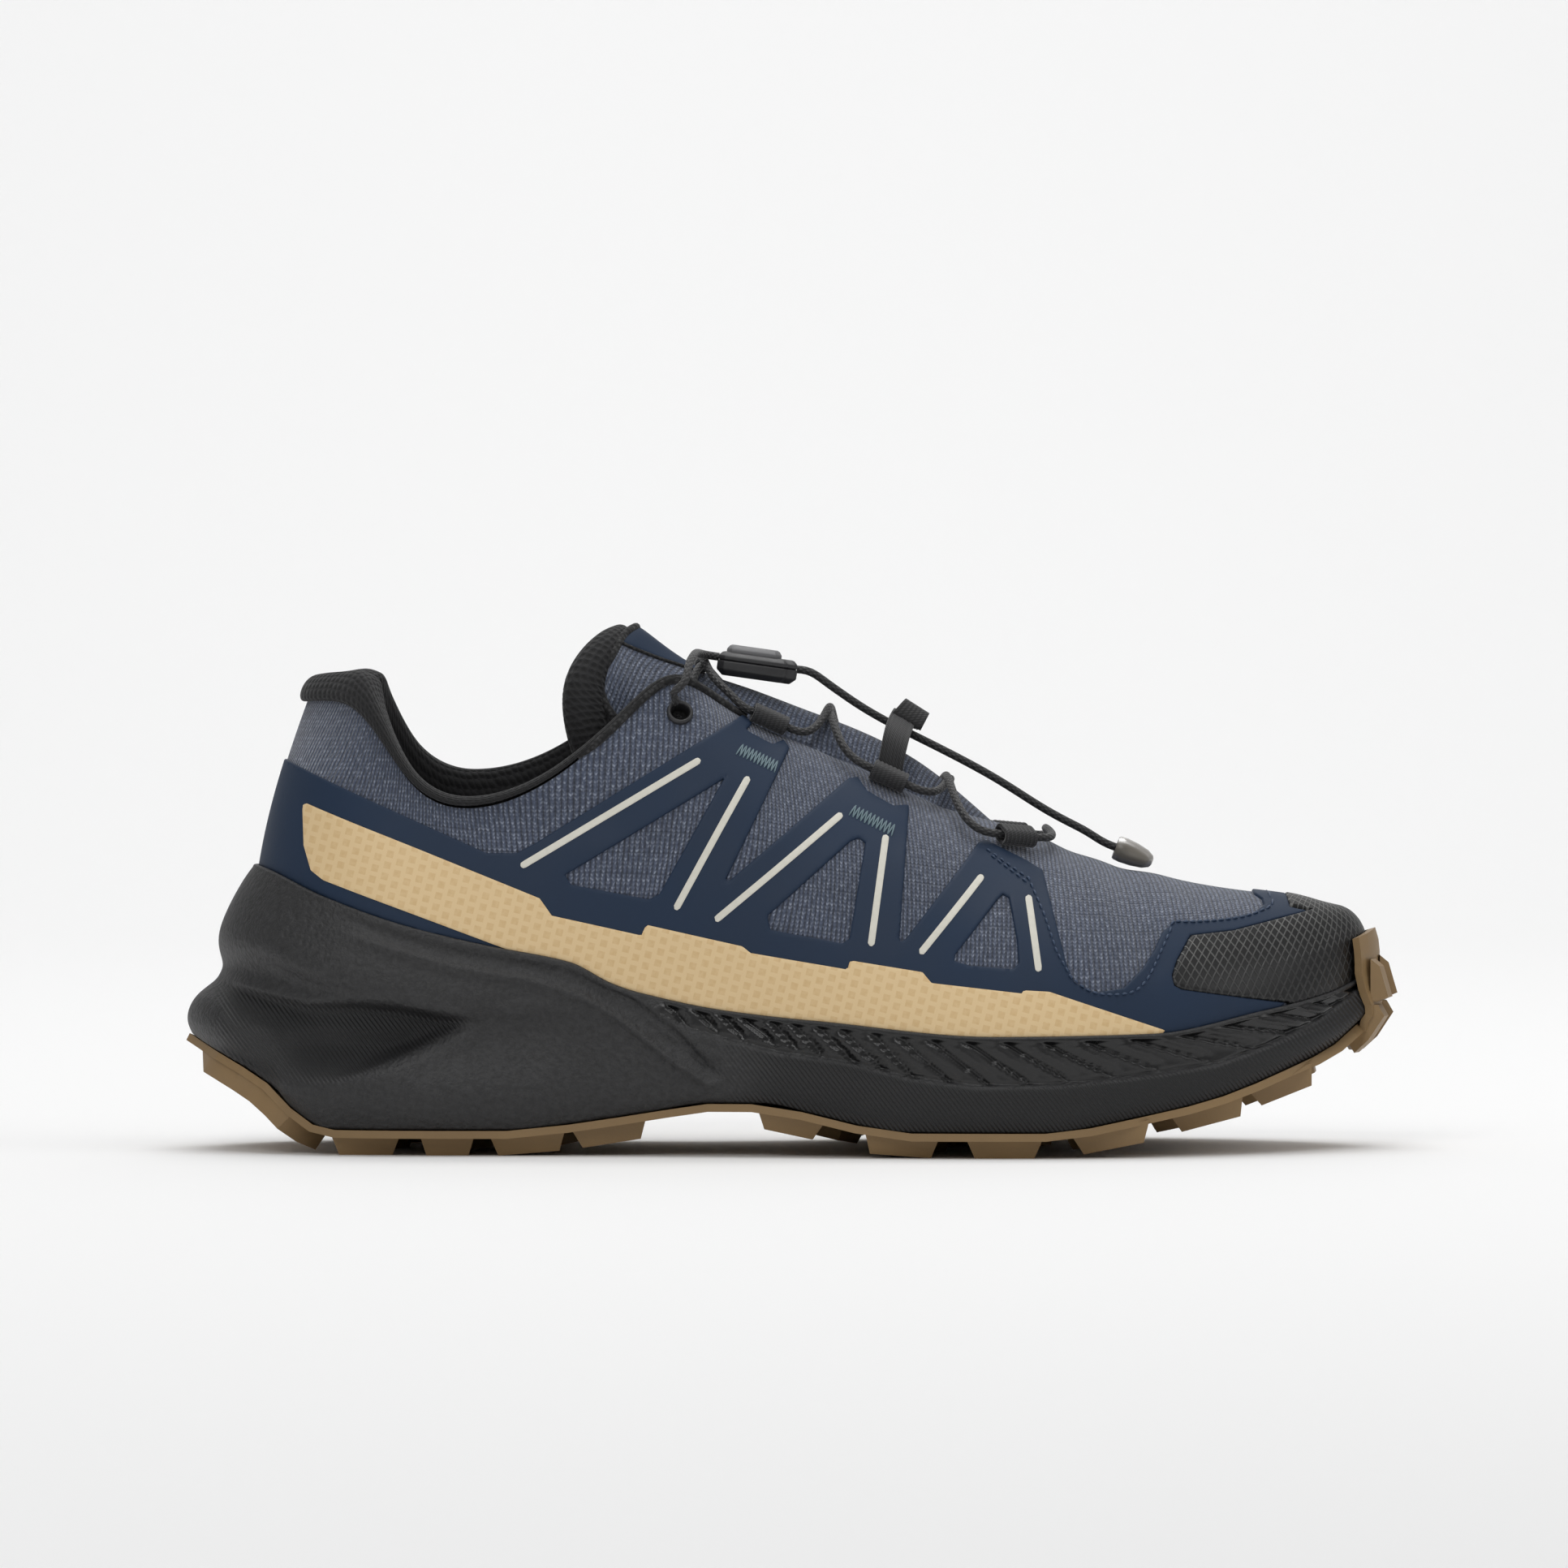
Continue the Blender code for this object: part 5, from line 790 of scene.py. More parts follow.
sole_faces = quads(SOLE_COLUMNS, depth, closed=True).tolist()
sole_faces += without_repeats(rungs(0, SOLE_COLUMNS, depth, True))
sole_faces += without_repeats(rungs(depth - 1, SOLE_COLUMNS, depth, False))
# ribbed marks the moulded ribs in the scoop and under the band, and also where the foam is darkened with
# painted shade.
ribbed = smooth(scoop, 0.05, 0.5) + smooth(side_x, 128, 150) * smooth(below_band, 0.4, 1.6)
pad = np.zeros((SOLE_COLUMNS, depth - SOLE_LEVELS))
foam_marks = {
    "ribbed": np.concatenate([np.clip(ribbed, 0, 1), pad], axis=1),
    "gloss": np.concatenate([band, pad], axis=1),
}

# Foam: pitted by the mould where it is plain, ribbed where the mould is, and glossy on the band. Where it
# is ribbed, in the scoop and under the band, its colour is also darkened as painted shade.
FOAM_RIB_PITCH = 0.00095
foam, tree, shader = surface("black moulded EVA foam", Specular_IOR_Level=0.5)
place = node(tree, "TexCoord", out="Object")
ribs_and_shade_mark = node(tree, "Attribute", out="Fac", attribute_name="ribbed")
gloss_mark = node(tree, "Attribute", out="Fac", attribute_name="gloss")
grain = node(tree, "TexNoise", {"Vector": place, "Scale": 700.0, "Detail": 3.0, "Roughness": 0.6})
grain_height = node(tree, "MapRange", {0: grain, 1: 0.32, 2: 0.68})
turned = node(tree, "Mapping", {"Vector": place, "Rotation": (0, math.radians(38), 0)})
per_metre = 2 * math.pi / FOAM_RIB_PITCH / 20
waves = node(tree, "TexWave", {"Vector": turned, "Scale": per_metre}, bands_direction="X")
rib_height = node(tree, "Math", {0: waves, 1: ribs_and_shade_mark}, operation="MULTIPLY")
plain = node(tree, "Math", {0: 1.0, 1: ribs_and_shade_mark}, operation="SUBTRACT")
plain = node(tree, "Math", {0: plain, 1: gloss_mark}, operation="SUBTRACT", use_clamp=True)
grain_height = node(tree, "Math", {0: grain_height, 1: plain}, operation="MULTIPLY")
height = node(tree, "Math", {0: grain_height, 1: 0.55, 2: rib_height}, operation="MULTIPLY_ADD")
bump = node(tree, "Bump", {"Height": height, "Strength": 0.9, "Distance": 0.00042})
cloud = node(tree, "TexNoise", {"Vector": place, "Scale": 30.0, "Detail": 2.0})
rough = node(tree, "MapRange", {0: cloud, 1: 0.3, 2: 0.7, 3: 0.52, 4: 0.64})
rough = node(tree, "Math", {0: gloss_mark, 1: -0.30, 2: rough}, operation="MULTIPLY_ADD")
tone = node(tree, "MapRange", {0: grain, 1: 0.3, 2: 0.7})
colour = node(tree, "Mix", {0: tone, 6: linear("#1a1a1b"), 7: linear("#2b2b2c")}, out=2, data_type="RGBA")
# Painted shade: the ribbed parts, in the scoop and under the band, are mixed towards a darker black.
colour = node(tree, "Mix", {0: ribs_and_shade_mark, 6: colour, 7: linear("#161617")}, out=2, data_type="RGBA")
colour = node(tree, "Mix", {0: gloss_mark, 6: colour, 7: linear("#0e0e0f")}, out=2, data_type="RGBA")
drive(tree, shader, Base_Color=colour, Roughness=rough, Normal=bump)

midsole = put_mesh("midsole_foam", sole_grid, sole_faces, foam, marks=foam_marks)
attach(midsole, "root")
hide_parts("midsole")


# Outsole: brown gum rubber in one moulding, with a thin sheet, chevron lugs with sloping flanks, and a
# strap of blocks that climbs the toe. Its mould edges are slightly rounded.
def moulded_surface(name, deep, light, cloud, rough=None, fine=None, **sockets):
    """A moulded, coated or printed surface. A noise, cloud, mixes its two colours and takes its roughness
    from one value of rough to the other. fine is a second noise's scale, then its bump's strength and
    depth."""
    made, tree, shader = surface(name, **sockets)
    place = node(tree, "TexCoord", out="Object")
    cloud = node(tree, "TexNoise", {"Vector": place, **cloud})
    colour = node(tree, "Mix", {0: cloud, 6: linear(deep), 7: linear(light)}, out=2, data_type="RGBA")
    drive(tree, shader, Base_Color=colour)
    if rough:
        turned = node(tree, "MapRange", {0: cloud, 1: 0.3, 2: 0.7, 3: rough[0], 4: rough[1]})
        drive(tree, shader, Roughness=turned)
    if fine:
        pores = node(tree, "TexNoise", {"Vector": place, "Scale": fine[0], "Detail": 2.0})
        bump = node(tree, "Bump", {"Height": pores, "Strength": fine[1], "Distance": fine[2]})
        drive(tree, shader, Normal=bump)
    return made


MOULD_SHARP = math.radians(24)
gum = moulded_surface(
    "brown gum rubber", "#7a6242", "#8f7550", {"Scale": 60.0, "Detail": 4.0, "Roughness": 0.6},
    rough=(0.45, 0.62), fine=(1500.0, 0.35, 0.0001), Specular_IOR_Level=0.45,
)
shape = bmesh.new()
shape.from_mesh(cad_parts["outsole"].data)
bmesh.ops.remove_doubles(shape, verts=shape.verts, dist=1e-6)
bmesh.ops.dissolve_limit(shape, angle_limit=math.radians(0.6), verts=shape.verts, edges=shape.edges)
mesh = bpy.data.meshes.new("outsole_rubber")
shape.to_mesh(mesh)
shape.free()
mesh.materials.clear()
mesh.materials.append(gum)
mesh.shade_smooth()
mesh.set_sharp_from_angle(angle=MOULD_SHARP)
outsole = bpy.data.objects.new("outsole_rubber", mesh)
bpy.context.scene.collection.objects.link(outsole)
rounding = outsole.modifiers.new("mould_edges", "BEVEL")
rounding.width = 0.00035
rounding.segments = 2
rounding.limit_method = "ANGLE"
rounding.angle_limit = MOULD_SHARP
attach(outsole, "root")
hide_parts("outsole")


# Insole: a foam sockliner with a black knit face, laid on the footbed with its edge turned up.
INSOLE = 0.0040
LINER_ROWS = 160
LINER_ACROSS = 41
LINER_RIM = 0.0020
across = np.linspace(-1, 1, LINER_ACROSS)
liner_rows = np.linspace(0.02, LAST_ROW - 0.02, LINER_ROWS)
inset = [
    wall(side * liner_rows, [0.0])[:, 0] - wall_normals(side * liner_rows, [0.0])[:, 0] * (WALL + 2 * GAP)
    for side in (1, -1)
]
share = (across[None, :, None] + 1) / 2
liner = inset[0][:, None] * (1 - share) + inset[1][:, None] * share
half_width = np.linalg.norm(inset[1] - inset[0], axis=1)[:, None] / 2
from_edge = half_width * (1 - np.abs(across)[None])
liner[..., 2] = footbed(liner[..., 0]) + GAP + INSOLE + LINER_RIM * (1 - smooth(from_edge, 0, 0.008))
sockliner = put_mesh("sockliner", liner, quads(LINER_ROWS, LINER_ACROSS), lining)
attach(sockliner, "root")
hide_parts("insole")


# Collar: black spacer mesh over soft foam, rolled over the knit's edge round the ankle and hung inside
# it, thickest behind the heel.
COLLAR_ROLL = 0.0085
COLLAR_PAD = 0.0060
# Columns: row, height of the roll and thickness inside, as shares.
PAD_ROWS = np.array([
    (0, 0.86, 0.90), (0.9, 0.96, 0.95), (1.7, 1.12, 1.00), (2.3, 1.00, 1.00), (3.0, 0.66, 0.98),
    (3.8, 0.42, 0.90), (4.6, 0.33, 0.80), (5.5, 0.30, 0.50), (6.5, 0.27, 0.32), (7.5, 0.24, 0.28),
    (8.0, 0.20, 0.24),
])
PAD_COLUMNS = 300
PAD_SIDES = 56


def spacer_mesh(name, pitch):
    """Black spacer mesh: small round holes in the plane of the lie, darker and deeper than the threads."""
    made, tree, shader = surface(name, Roughness=0.85, Sheen_Weight=0.06)
    lie = node(tree, "UVMap", uv_map="lie")
    sizes = {"Vector": lie, "Scale": 1 / pitch, "Randomness": 0.25}
    cells = node(tree, "TexVoronoi", sizes, voronoi_dimensions="2D")
    hole = node(tree, "MapRange", {0: cells, 1: 0.15, 2: 0.55})
    colours = {0: hole, 6: linear("#050506"), 7: linear("#18181a")}
    colour = node(tree, "Mix", colours, out=2, data_type="RGBA")
    thread = node(tree, "TexNoise", {"Vector": lie, "Scale": 3500.0, "Detail": 1.0}, noise_dimensions="2D")
    height = node(tree, "Math", {0: thread, 1: 0.3, 2: hole}, operation="MULTIPLY_ADD")
    bump = node(tree, "Bump", {"Height": height, "Strength": 0.8, "Distance": 0.0004})
    drive(tree, shader, Base_Color=colour, Normal=bump)
    return made


def closed_through(ring, count):
    """A closed spline through each column's ring of points, first wrapped three points each way."""
    size = ring.shape[1]
    wrapped = np.arange(-3, size + 4)
    flat = ring[:, wrapped % size].transpose(1, 0, 2).reshape(len(wrapped), -1)
    smoothed = natural(wrapped, flat, np.linspace(0, size, count, endpoint=False))
    return smoothed.reshape(count, ring.shape[0], 3).transpose(1, 0, 2)


def closed_round(rings):
    """Rings with the first point of each added at its end."""
    return np.concatenate([rings, rings[:, :1]], axis=1)


def run_along(points):
    """Arc length from the first point to each: the sum of the steps so far."""
    return np.concatenate([[0], np.cumsum(np.linalg.norm(np.diff(points, axis=0), axis=1))])


def grid_lie(first, second):
    """The uv of a grid: one measure along its first direction and one along its second."""
    return np.stack(np.broadcast_arrays(first[:, None], second[None]), axis=-1)


collar_mesh = spacer_mesh("black spacer mesh", 0.0017)
pad_rows = np.linspace(-8, 8, PAD_COLUMNS)
roll = (COLLAR_ROLL * glide(PAD_ROWS[:, 0], PAD_ROWS[:, 1], np.abs(pad_rows)))[:, None]
pad = (COLLAR_PAD * glide(PAD_ROWS[:, 0], PAD_ROWS[:, 2], np.abs(pad_rows)))[:, None]
face = wall(pad_rows, [0.8, 0.91, 1])
out = wall_normals(pad_rows, [0.8, 0.91, 1])
top = face[:, 2]
rise = unit(top - wall(pad_rows, [0.97])[:, 0])
side = out[:, 2]
# Ten points round each section, from the knit's edge over the roll and down inside. puff lets the roll
# hang out over the edge behind the heel.
puff = 1 - smooth(np.abs(pad_rows), 1.8, 3.4)[:, None]
pad_ring = np.stack([
    top + rise * (2 * GAP - 0.0011 * puff) + side * (0.0003 + 0.0006 * puff),
    top + rise * (GAP + (0.42 - 0.12 * puff) * roll) + side * (0.0012 + 0.0012 * puff),
    top + rise * (GAP + 0.86 * roll) + side * (0.0010 * puff - 0.0006),
    top + rise * (GAP + roll) - side * (WALL + 0.35 * pad),
    top + rise * (GAP + 0.70 * roll) - side * (WALL + GAP + 0.90 * pad),
    face[:, 1] - out[:, 1] * (WALL + GAP + pad),
    face[:, 0] - out[:, 0] * (WALL + GAP + 0.40 * pad),
    face[:, 0] - out[:, 0] * (WALL + GAP),
    face[:, 1] - out[:, 1] * (WALL + GAP),
    top + rise * 2 * GAP - side * (WALL + GAP),
], axis=1)
pad_grid = closed_through(pad_ring, PAD_SIDES)
pad_lie = grid_lie(run_along(pad_grid[:, 12]), np.linspace(0, 0.05, PAD_SIDES))
pad_lie = np.concatenate([pad_lie, pad_lie[:, -1:] + [0, 0.0009]], axis=1)
pad_faces = quads(PAD_COLUMNS, PAD_SIDES + 1, flip=True)
collar = put_mesh("collar_pad", closed_round(pad_grid), pad_faces, collar_mesh, uv=pad_lie)
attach(collar, "root")
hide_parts("collar_padding")


# Tongue: a padded flap under the lacing, faced with the same rib knit and edged with black lining. Its
# top folds over, and bears a plain navy patch.
TONGUE = 0.0048
TONGUE_MIDDLE = 0.0040
# Columns: row of the wall (or none), crown x and z, then edge x, half width and z, and wing likewise, in
# millimetres in the side view. Stations with a row follow the wall's inside.
STATIONS = [
    (10.75, (203.5, 77.2), None, None),
    (10.3, (194, 85.6), None, None),
    (9.7, (181, 95.8), None, None),
    (9.1, (166, 103.6), None, None),
    (8.5, (152, 109.0), None, None),
    (7.9, (139, 113.9), None, None),
    (None, (129, 117.4), (124, 16.5, 108.0), (119, 18.8, 96.0)),
    (None, (120, 122.6), (112.5, 16.5, 112.5), (108, 18.6, 101.0)),
    (None, (113.5, 127.5), (106.5, 15.5, 119.0), (102.5, 18.0, 108.5)),
    (None, (110.5, 129.3), (105.5, 12.0, 123.5), (102.0, 14.5, 116.0)),
]


def at(x, y, z):
    """A place from millimetres: x from the back of the heel, y from the middle, z from the floor."""
    return np.array([x / 1000 - SOLE_LENGTH / 2, y / 1000, z / 1000])


def tongue_section(row, crown, edge, wing):
    """Nine points across the tongue's outside at one station, from outer wing over crown to inner wing."""
    top = at(crown[0], 1000 * TONGUE_MIDDLE, crown[1])
    if row is None:
        sides = [
            [at(x, 1000 * TONGUE_MIDDLE + side * half, z) for x, half, z in (wing, edge)]
            for side in (-1, 1)
        ]
    else:
        under_pad = COLLAR_PAD * float(glide(PAD_ROWS[:, 0], PAD_ROWS[:, 2], [row])[0]) if row < 9 else 0
        deep = -(WALL + 5 * GAP + under_pad)
        sides = []
        for side in (1, -1):
            rows = np.array([side * row])
            sides.append((wall(rows, [0.80, 0.97]) + wall_normals(rows, [0.80, 0.97]) * deep)[0])
    points = []
    for low, high in sides:
        middle = (high + top) / 2
        middle[2] = high[2] + 0.72 * (top[2] - high[2])
        points.append([low, (low + high) / 2 + (high - top) * (0.04, 0.04, 0), high, middle])
    return np.array(points[0] + [top] + points[1][::-1])


TONGUE_ALONG = 130
TONGUE_ACROSS = 81
SPINE = TONGUE_ACROSS // 2
stations, wide = len(STATIONS), 9
sections = np.array([tongue_section(*station) for station in STATIONS])
spots = np.linspace(0, stations - 1, TONGUE_ALONG)
lengthwise = natural(np.arange(stations), sections.reshape(stations, -1), spots)
lengthwise = lengthwise.reshape(TONGUE_ALONG, wide, 3).transpose(1, 0, 2).reshape(wide, -1)
crosswise = natural(np.arange(wide), lengthwise, np.linspace(0, wide - 1, TONGUE_ACROSS))
tongue_out = crosswise.reshape(TONGUE_ACROSS, TONGUE_ALONG, 3).transpose(1, 0, 2)
tongue_up = unit(np.cross(np.gradient(tongue_out, axis=0), np.gradient(tongue_out, axis=1)))
tongue_up *= np.sign(tongue_up[:, SPINE, 2].mean())
edge_share = np.minimum(np.arange(TONGUE_ACROSS), TONGUE_ACROSS - 1 - np.arange(TONGUE_ACROSS)) / 20
end_share = np.minimum((TONGUE_ALONG - 1 - np.arange(TONGUE_ALONG)) / 5, 1)
plump = TONGUE * (0.35 + 0.65 * np.clip(edge_share, 0, 1))[None, :]
plump = plump * np.sqrt(np.clip(end_share, 0.15, 1))[:, None]
tongue_in = tongue_out - tongue_up * plump[..., None]
step_up = run_along(tongue_out[:, SPINE])
tongue_lie = grid_lie(step_up, run_along(tongue_out[90]))
ahead = tongue_out[61, SPINE] - tongue_out[60, SPINE]
aside = tongue_out[60, SPINE + 1] - tongue_out[60, SPINE]
flip_tongue = np.cross(ahead, aside) @ tongue_up[60, SPINE] < 0
face_grid, face_lie = tongue_out[:126, 5:76], tongue_lie[:126, 5:76]
face_faces = quads(*face_grid.shape[:2], flip=flip_tongue)
tongue_front = put_mesh("tongue_front", face_grid, face_faces, knit, uv=face_lie)
back_grid = np.concatenate([tongue_out[:, :6][:, ::-1], tongue_in, tongue_out[:, 75:][:, ::-1]], axis=1)
back_lie = grid_lie(step_up, np.linspace(0, 0.1, back_grid.shape[1]))
back_faces = quads(TONGUE_ALONG, back_grid.shape[1], flip=flip_tongue)
tongue_back = put_mesh("tongue_lining", back_grid, back_faces, collar_mesh, uv=back_lie)
for piece in (tongue_front, tongue_back):
    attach(piece, "root")
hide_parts("tongue")


def drawn_in(rings):
    """Rings with both ends closed: their middles are added before the first and after the last."""
    ends = [rings[[k]].mean(axis=1, keepdims=True).repeat(rings.shape[1], axis=1) for k in (0, -1)]
    return np.concatenate([ends[0], rings, ends[1]])


def rope_mesh(name, path, radius, finish, sides):
    """A rope along a path: circles square to it, drawn in at both ends. uv: turn round it, length along."""
    path = np.asarray(path, float)
    ahead = unit(np.gradient(path, axis=0))
    beside = np.cross([0.0, 0.0, 1.0], ahead)
    beside /= np.maximum(np.linalg.norm(beside, axis=1), 1e-9)[:, None]
    above = np.cross(ahead, beside)
    angle = np.linspace(0, 2 * math.pi, sides, endpoint=False)[None, :, None]
    spoke = np.cos(angle) * beside[:, None] + np.sin(angle) * above[:, None]
    rings = path[:, None] + np.broadcast_to(radius, len(path))[:, None, None] * spoke
    closed = closed_round(drawn_in(rings))
    run = run_along(path)
    run = np.concatenate([run[:1], run, run[-1:]])
    girth = 2 * math.pi * float(np.mean(radius))
    lie = np.stack(np.broadcast_arrays(np.linspace(0, girth, sides + 1)[None], run[:, None]), axis=-1)
    return put_mesh(name, closed, quads(len(closed), sides + 1, flip=True), finish, uv=lie, sharp=60)


# The binding sewn round the tongue: up both edges and over the top.
BINDING_RADIUS = 0.0011
bound = (tongue_out[20:, 5], tongue_out[20:, 75], tongue_out[125, 5:76])
for number, path in enumerate(bound):
    tape = rope_mesh(f"tongue_binding_{number + 1}", path, BINDING_RADIUS, lining, sides=10)
    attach(tape, "root")


# Side film: navy polyurethane film, cut in one piece and welded over the knit. It wraps the heel, runs
# down to the sole and rises in arms to the lace loops, with windows that show the knit.
FILM_EDGE = [
    (10, 96.4), (24, 96.4), (75, 73.6), (82.5, 73.6), (87, 76), (137.3, 106.9), (139.7, 105.3),
    (137.9, 103.5), (144.8, 99.8), (147.6, 100.9), (148.8, 99.1), (133.5, 67.8), (133.2, 66.9),
    (134.8, 67.2), (163.7, 91.6), (165.7, 91.8), (168, 88.5), (174.5, 84.8), (178.2, 85.1), (175.6, 52.9),
    (176.2, 52.3), (177.5, 52.9), (195.7, 76), (197, 76.5), (207, 71.5), (211, 69.1), (212.4, 63.1),
    (214.2, 55.4), (216.3, 46.9), (218.2, 42.5), (223.2, 39.9), (230.5, 41), (235.4, 45.7), (238.4, 50),
    (240.5, 54.2), (243.6, 56.6), (253, 56.6), (263.8, 58.2), (266.4, 60.1), (266.1, 61.6), (264.3, 62.8),
    (264.3, 70), (272, 70), (272, 62.4), (272.5, 59.4), (276.6, 58.5), (269.7, 57.1), (258, 54.5),
    (247.1, 53.5), (243.5, 47.7), (242.1, 43.9), (242.7, 41.4), (244.7, 40.4), (254.3, 39), (270.6, 36.7),
]
WINDOWS = [
    [(94, 68.6), (95.6, 66), (115, 62.4), (117.6, 63.8), (133.7, 92.6)],
    [(143.5, 58.8), (144.3, 55.2), (162.1, 51.9), (163.9, 53), (167.9, 76.3), (166.1, 77.7), (163.9, 76.9)],
    [
        (189.2, 49.5), (189, 47.7), (193, 46.5), (203.5, 45.7), (205.1, 47.1), (204.7, 53), (202.9, 63),
        (201.1, 64), (199.5, 62.4),
    ],
]


def rim_line(start, end, lift, count=40):
    """Points along the midsole's rim, raised by lift, from x start to x end, in millimetres."""
    xs = np.linspace(start, end, count)
    return list(zip(xs, 1000 * (rim(xs / 1000 - SOLE_LENGTH / 2) + lift)))


def inside_by(x, z, outline):
    """Signed distance to a closed outline: to its nearest edge, positive inside by an even-odd count."""
    outline = np.asarray(outline, float)
    near = away_from_line(x, z, np.concatenate([outline, outline[:1]]))
    odd = np.zeros(np.shape(x), bool)
    for (ax, az), (bx, bz) in zip(outline, np.roll(outline, -1, axis=0)):
        if az != bz:
            odd ^= ((az > z) != (bz > z)) & (x < (bx - ax) * (z - az) / (bz - az) + ax)
    return np.where(odd, near, -near)


def on_skin(name, field, lift, thick, finish, lie=None, round_off=0.00025):
    """A thin piece on the skin where field is above 0: its face lies lift + thick out, its edge drops."""
    parts = [skin, skin_out, skin_lie if lie is None else lie]
    data = np.concatenate([part.reshape(-1, part.shape[-1]) for part in parts], axis=1)
    data, faces = cut_to(skin_triangles, data, field.ravel())
    points, normals, uv = data[:, :3], unit(data[:, 3:6]), data[:, 6:8]
    start = faces.ravel()
    end = np.roll(faces, -1, axis=1).ravel()
    size = len(points)
    free = ~np.isin(start * size + end, end * size + start)
    start, end = start[free], end[free]
    step = points[end] - points[start]
    aside = np.cross(step, normals[start])
    away = np.zeros((size, 3))
    np.add.at(away, start, aside)
    np.add.at(away, end, aside)
    ring, number = np.unique(np.concatenate([start, end]), return_inverse=True)
    start_place, end_place = number[: len(start)], number[len(start) :]
    away = away[ring] / np.maximum(np.linalg.norm(away[ring], axis=1), 1e-12)[:, None]
    face_points = points + normals * (lift + thick)
    face_points[ring] -= normals[ring] * thick * 0.12
    skirt = [
        points[ring] + normals[ring] * (lift + thick * high) + away * round_off * wide
        for wide, high in ((0.75, 0.6), (1.0, 0.0))
    ]
    skirt[-1] -= normals[ring] * (lift + 0.0001)
    stacks = [ring, size + np.arange(len(ring)), size + len(ring) + np.arange(len(ring))]
    sides = []
    for top_ring, low_ring in zip(stacks[:-1], stacks[1:]):
        sides.append(np.stack([top_ring[end_place], top_ring[start_place], low_ring[start_place]], axis=1))
        sides.append(np.stack([top_ring[end_place], low_ring[start_place], low_ring[end_place]], axis=1))
    all_points = np.concatenate([face_points, *skirt])
    all_uv = np.concatenate([uv, uv[ring], uv[ring]])
    made = put_mesh(name, all_points, np.concatenate([faces, *sides]), finish, uv=all_uv, sharp=50)
    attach(made, "root")
    return made


FILM_LIFT = 0.0001
FILM_THICK = 0.0006
film_field = inside_by(skin_x, skin_z, FILM_EDGE + rim_line(269, 10, 0.0005))
for window in WINDOWS:
    film_field = np.minimum(film_field, -inside_by(skin_x, skin_z, window))
navy = moulded_surface(
    "navy polyurethane film", "#162539", "#1b2e46", {"Scale": 40.0, "Detail": 3.0},
    rough=(0.56, 0.68), fine=(1400.0, 0.25, 0.0001), Specular_IOR_Level=0.3,
)
film = on_skin("side_film_sheet", film_field, FILM_LIFT, FILM_THICK, navy)
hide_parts("side_film")


# Side panels: a sand print on the film above the sole, one on each side, with a faint grid of darker
# squares in its ink.
PANEL_EDGE = [
    (30.2, 85), (31, 85.4), (88, 62.6), (91, 58.4), (113.2, 53.6), (114.4, 56.2), (137.7, 51.1),
    (139.7, 49.5), (163.5, 45.5), (164.1, 47.7), (181.4, 44.9), (183.6, 42.3), (205.8, 39.7), (205.7, 40.5),
    (212.2, 40.1), (240, 30.8),
]
PANEL_FOOT = [(80, 50.6), (35.4, 67.2), (32.4, 69.5), (30.6, 75.5)]
PANEL_THICK = 0.00035
SQUARE_PITCH = 0.0028
panel_top = FILM_LIFT + FILM_THICK
panel_outline = PANEL_EDGE + rim_line(244, 84, 0.0005) + PANEL_FOOT
panel_field = inside_by(skin_x, skin_z, panel_outline)
sand, tree, shader = surface("sand screen print", Specular_IOR_Level=0.4, Roughness=0.55)
place = node(tree, "TexCoord", out="Object")
turned = node(tree, "Mapping", {"Vector": place, "Rotation": (0, math.radians(-14), 0)})
x, _, z = node(tree, "SeparateXYZ", {0: turned}, out=slice(3))
column = node(tree, "Math", {0: x, 1: 1 / SQUARE_PITCH}, operation="MULTIPLY")
stagger = node(tree, "Math", {0: column}, operation="FLOOR")
stagger = node(tree, "Math", {0: stagger, 1: 0.5}, operation="MULTIPLY")
level = node(tree, "Math", {0: z, 1: 1 / SQUARE_PITCH, 2: stagger}, operation="MULTIPLY_ADD")
squares = []
for turns in (column, level):
    middle = node(tree, "Math", {0: turns}, operation="FRACT")
    middle = node(tree, "Math", {0: middle, 1: 0.5}, operation="SUBTRACT")
    fold = node(tree, "Math", {0: middle}, operation="ABSOLUTE")
    squares.append(node(tree, "MapRange", {0: fold, 1: 0.28, 2: 0.33, 3: 1.0, 4: 0.0}))
square = node(tree, "Math", {0: squares[0], 1: squares[1]}, operation="MULTIPLY")
weave = node(tree, "TexNoise", {"Vector": place, "Scale": 900.0, "Detail": 2.0})
shade = node(tree, "MapRange", {0: weave, 1: 0.3, 2: 0.7, 3: 0.35, 4: 0.75})
square = node(tree, "Math", {0: square, 1: shade}, operation="MULTIPLY")
colour = node(tree, "Mix", {0: square, 6: linear("#dabf92"), 7: linear("#cbaa79")}, out=2, data_type="RGBA")
bump = node(tree, "Bump", {"Height": weave, "Strength": 0.2, "Distance": 0.0001})
drive(tree, shader, Base_Color=colour, Normal=bump)
for name, rows, solid in (
    ("sand_print_outer", 1, "lateral_panel"),
    ("sand_print_inner", -1, "medial_panel"),
):
    this_side = np.where(ring_rows * rows > 0, 1.0, -1.0)[:, None]
    panel = on_skin(name, np.minimum(panel_field, this_side), panel_top, PANEL_THICK, sand)
    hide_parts(solid)


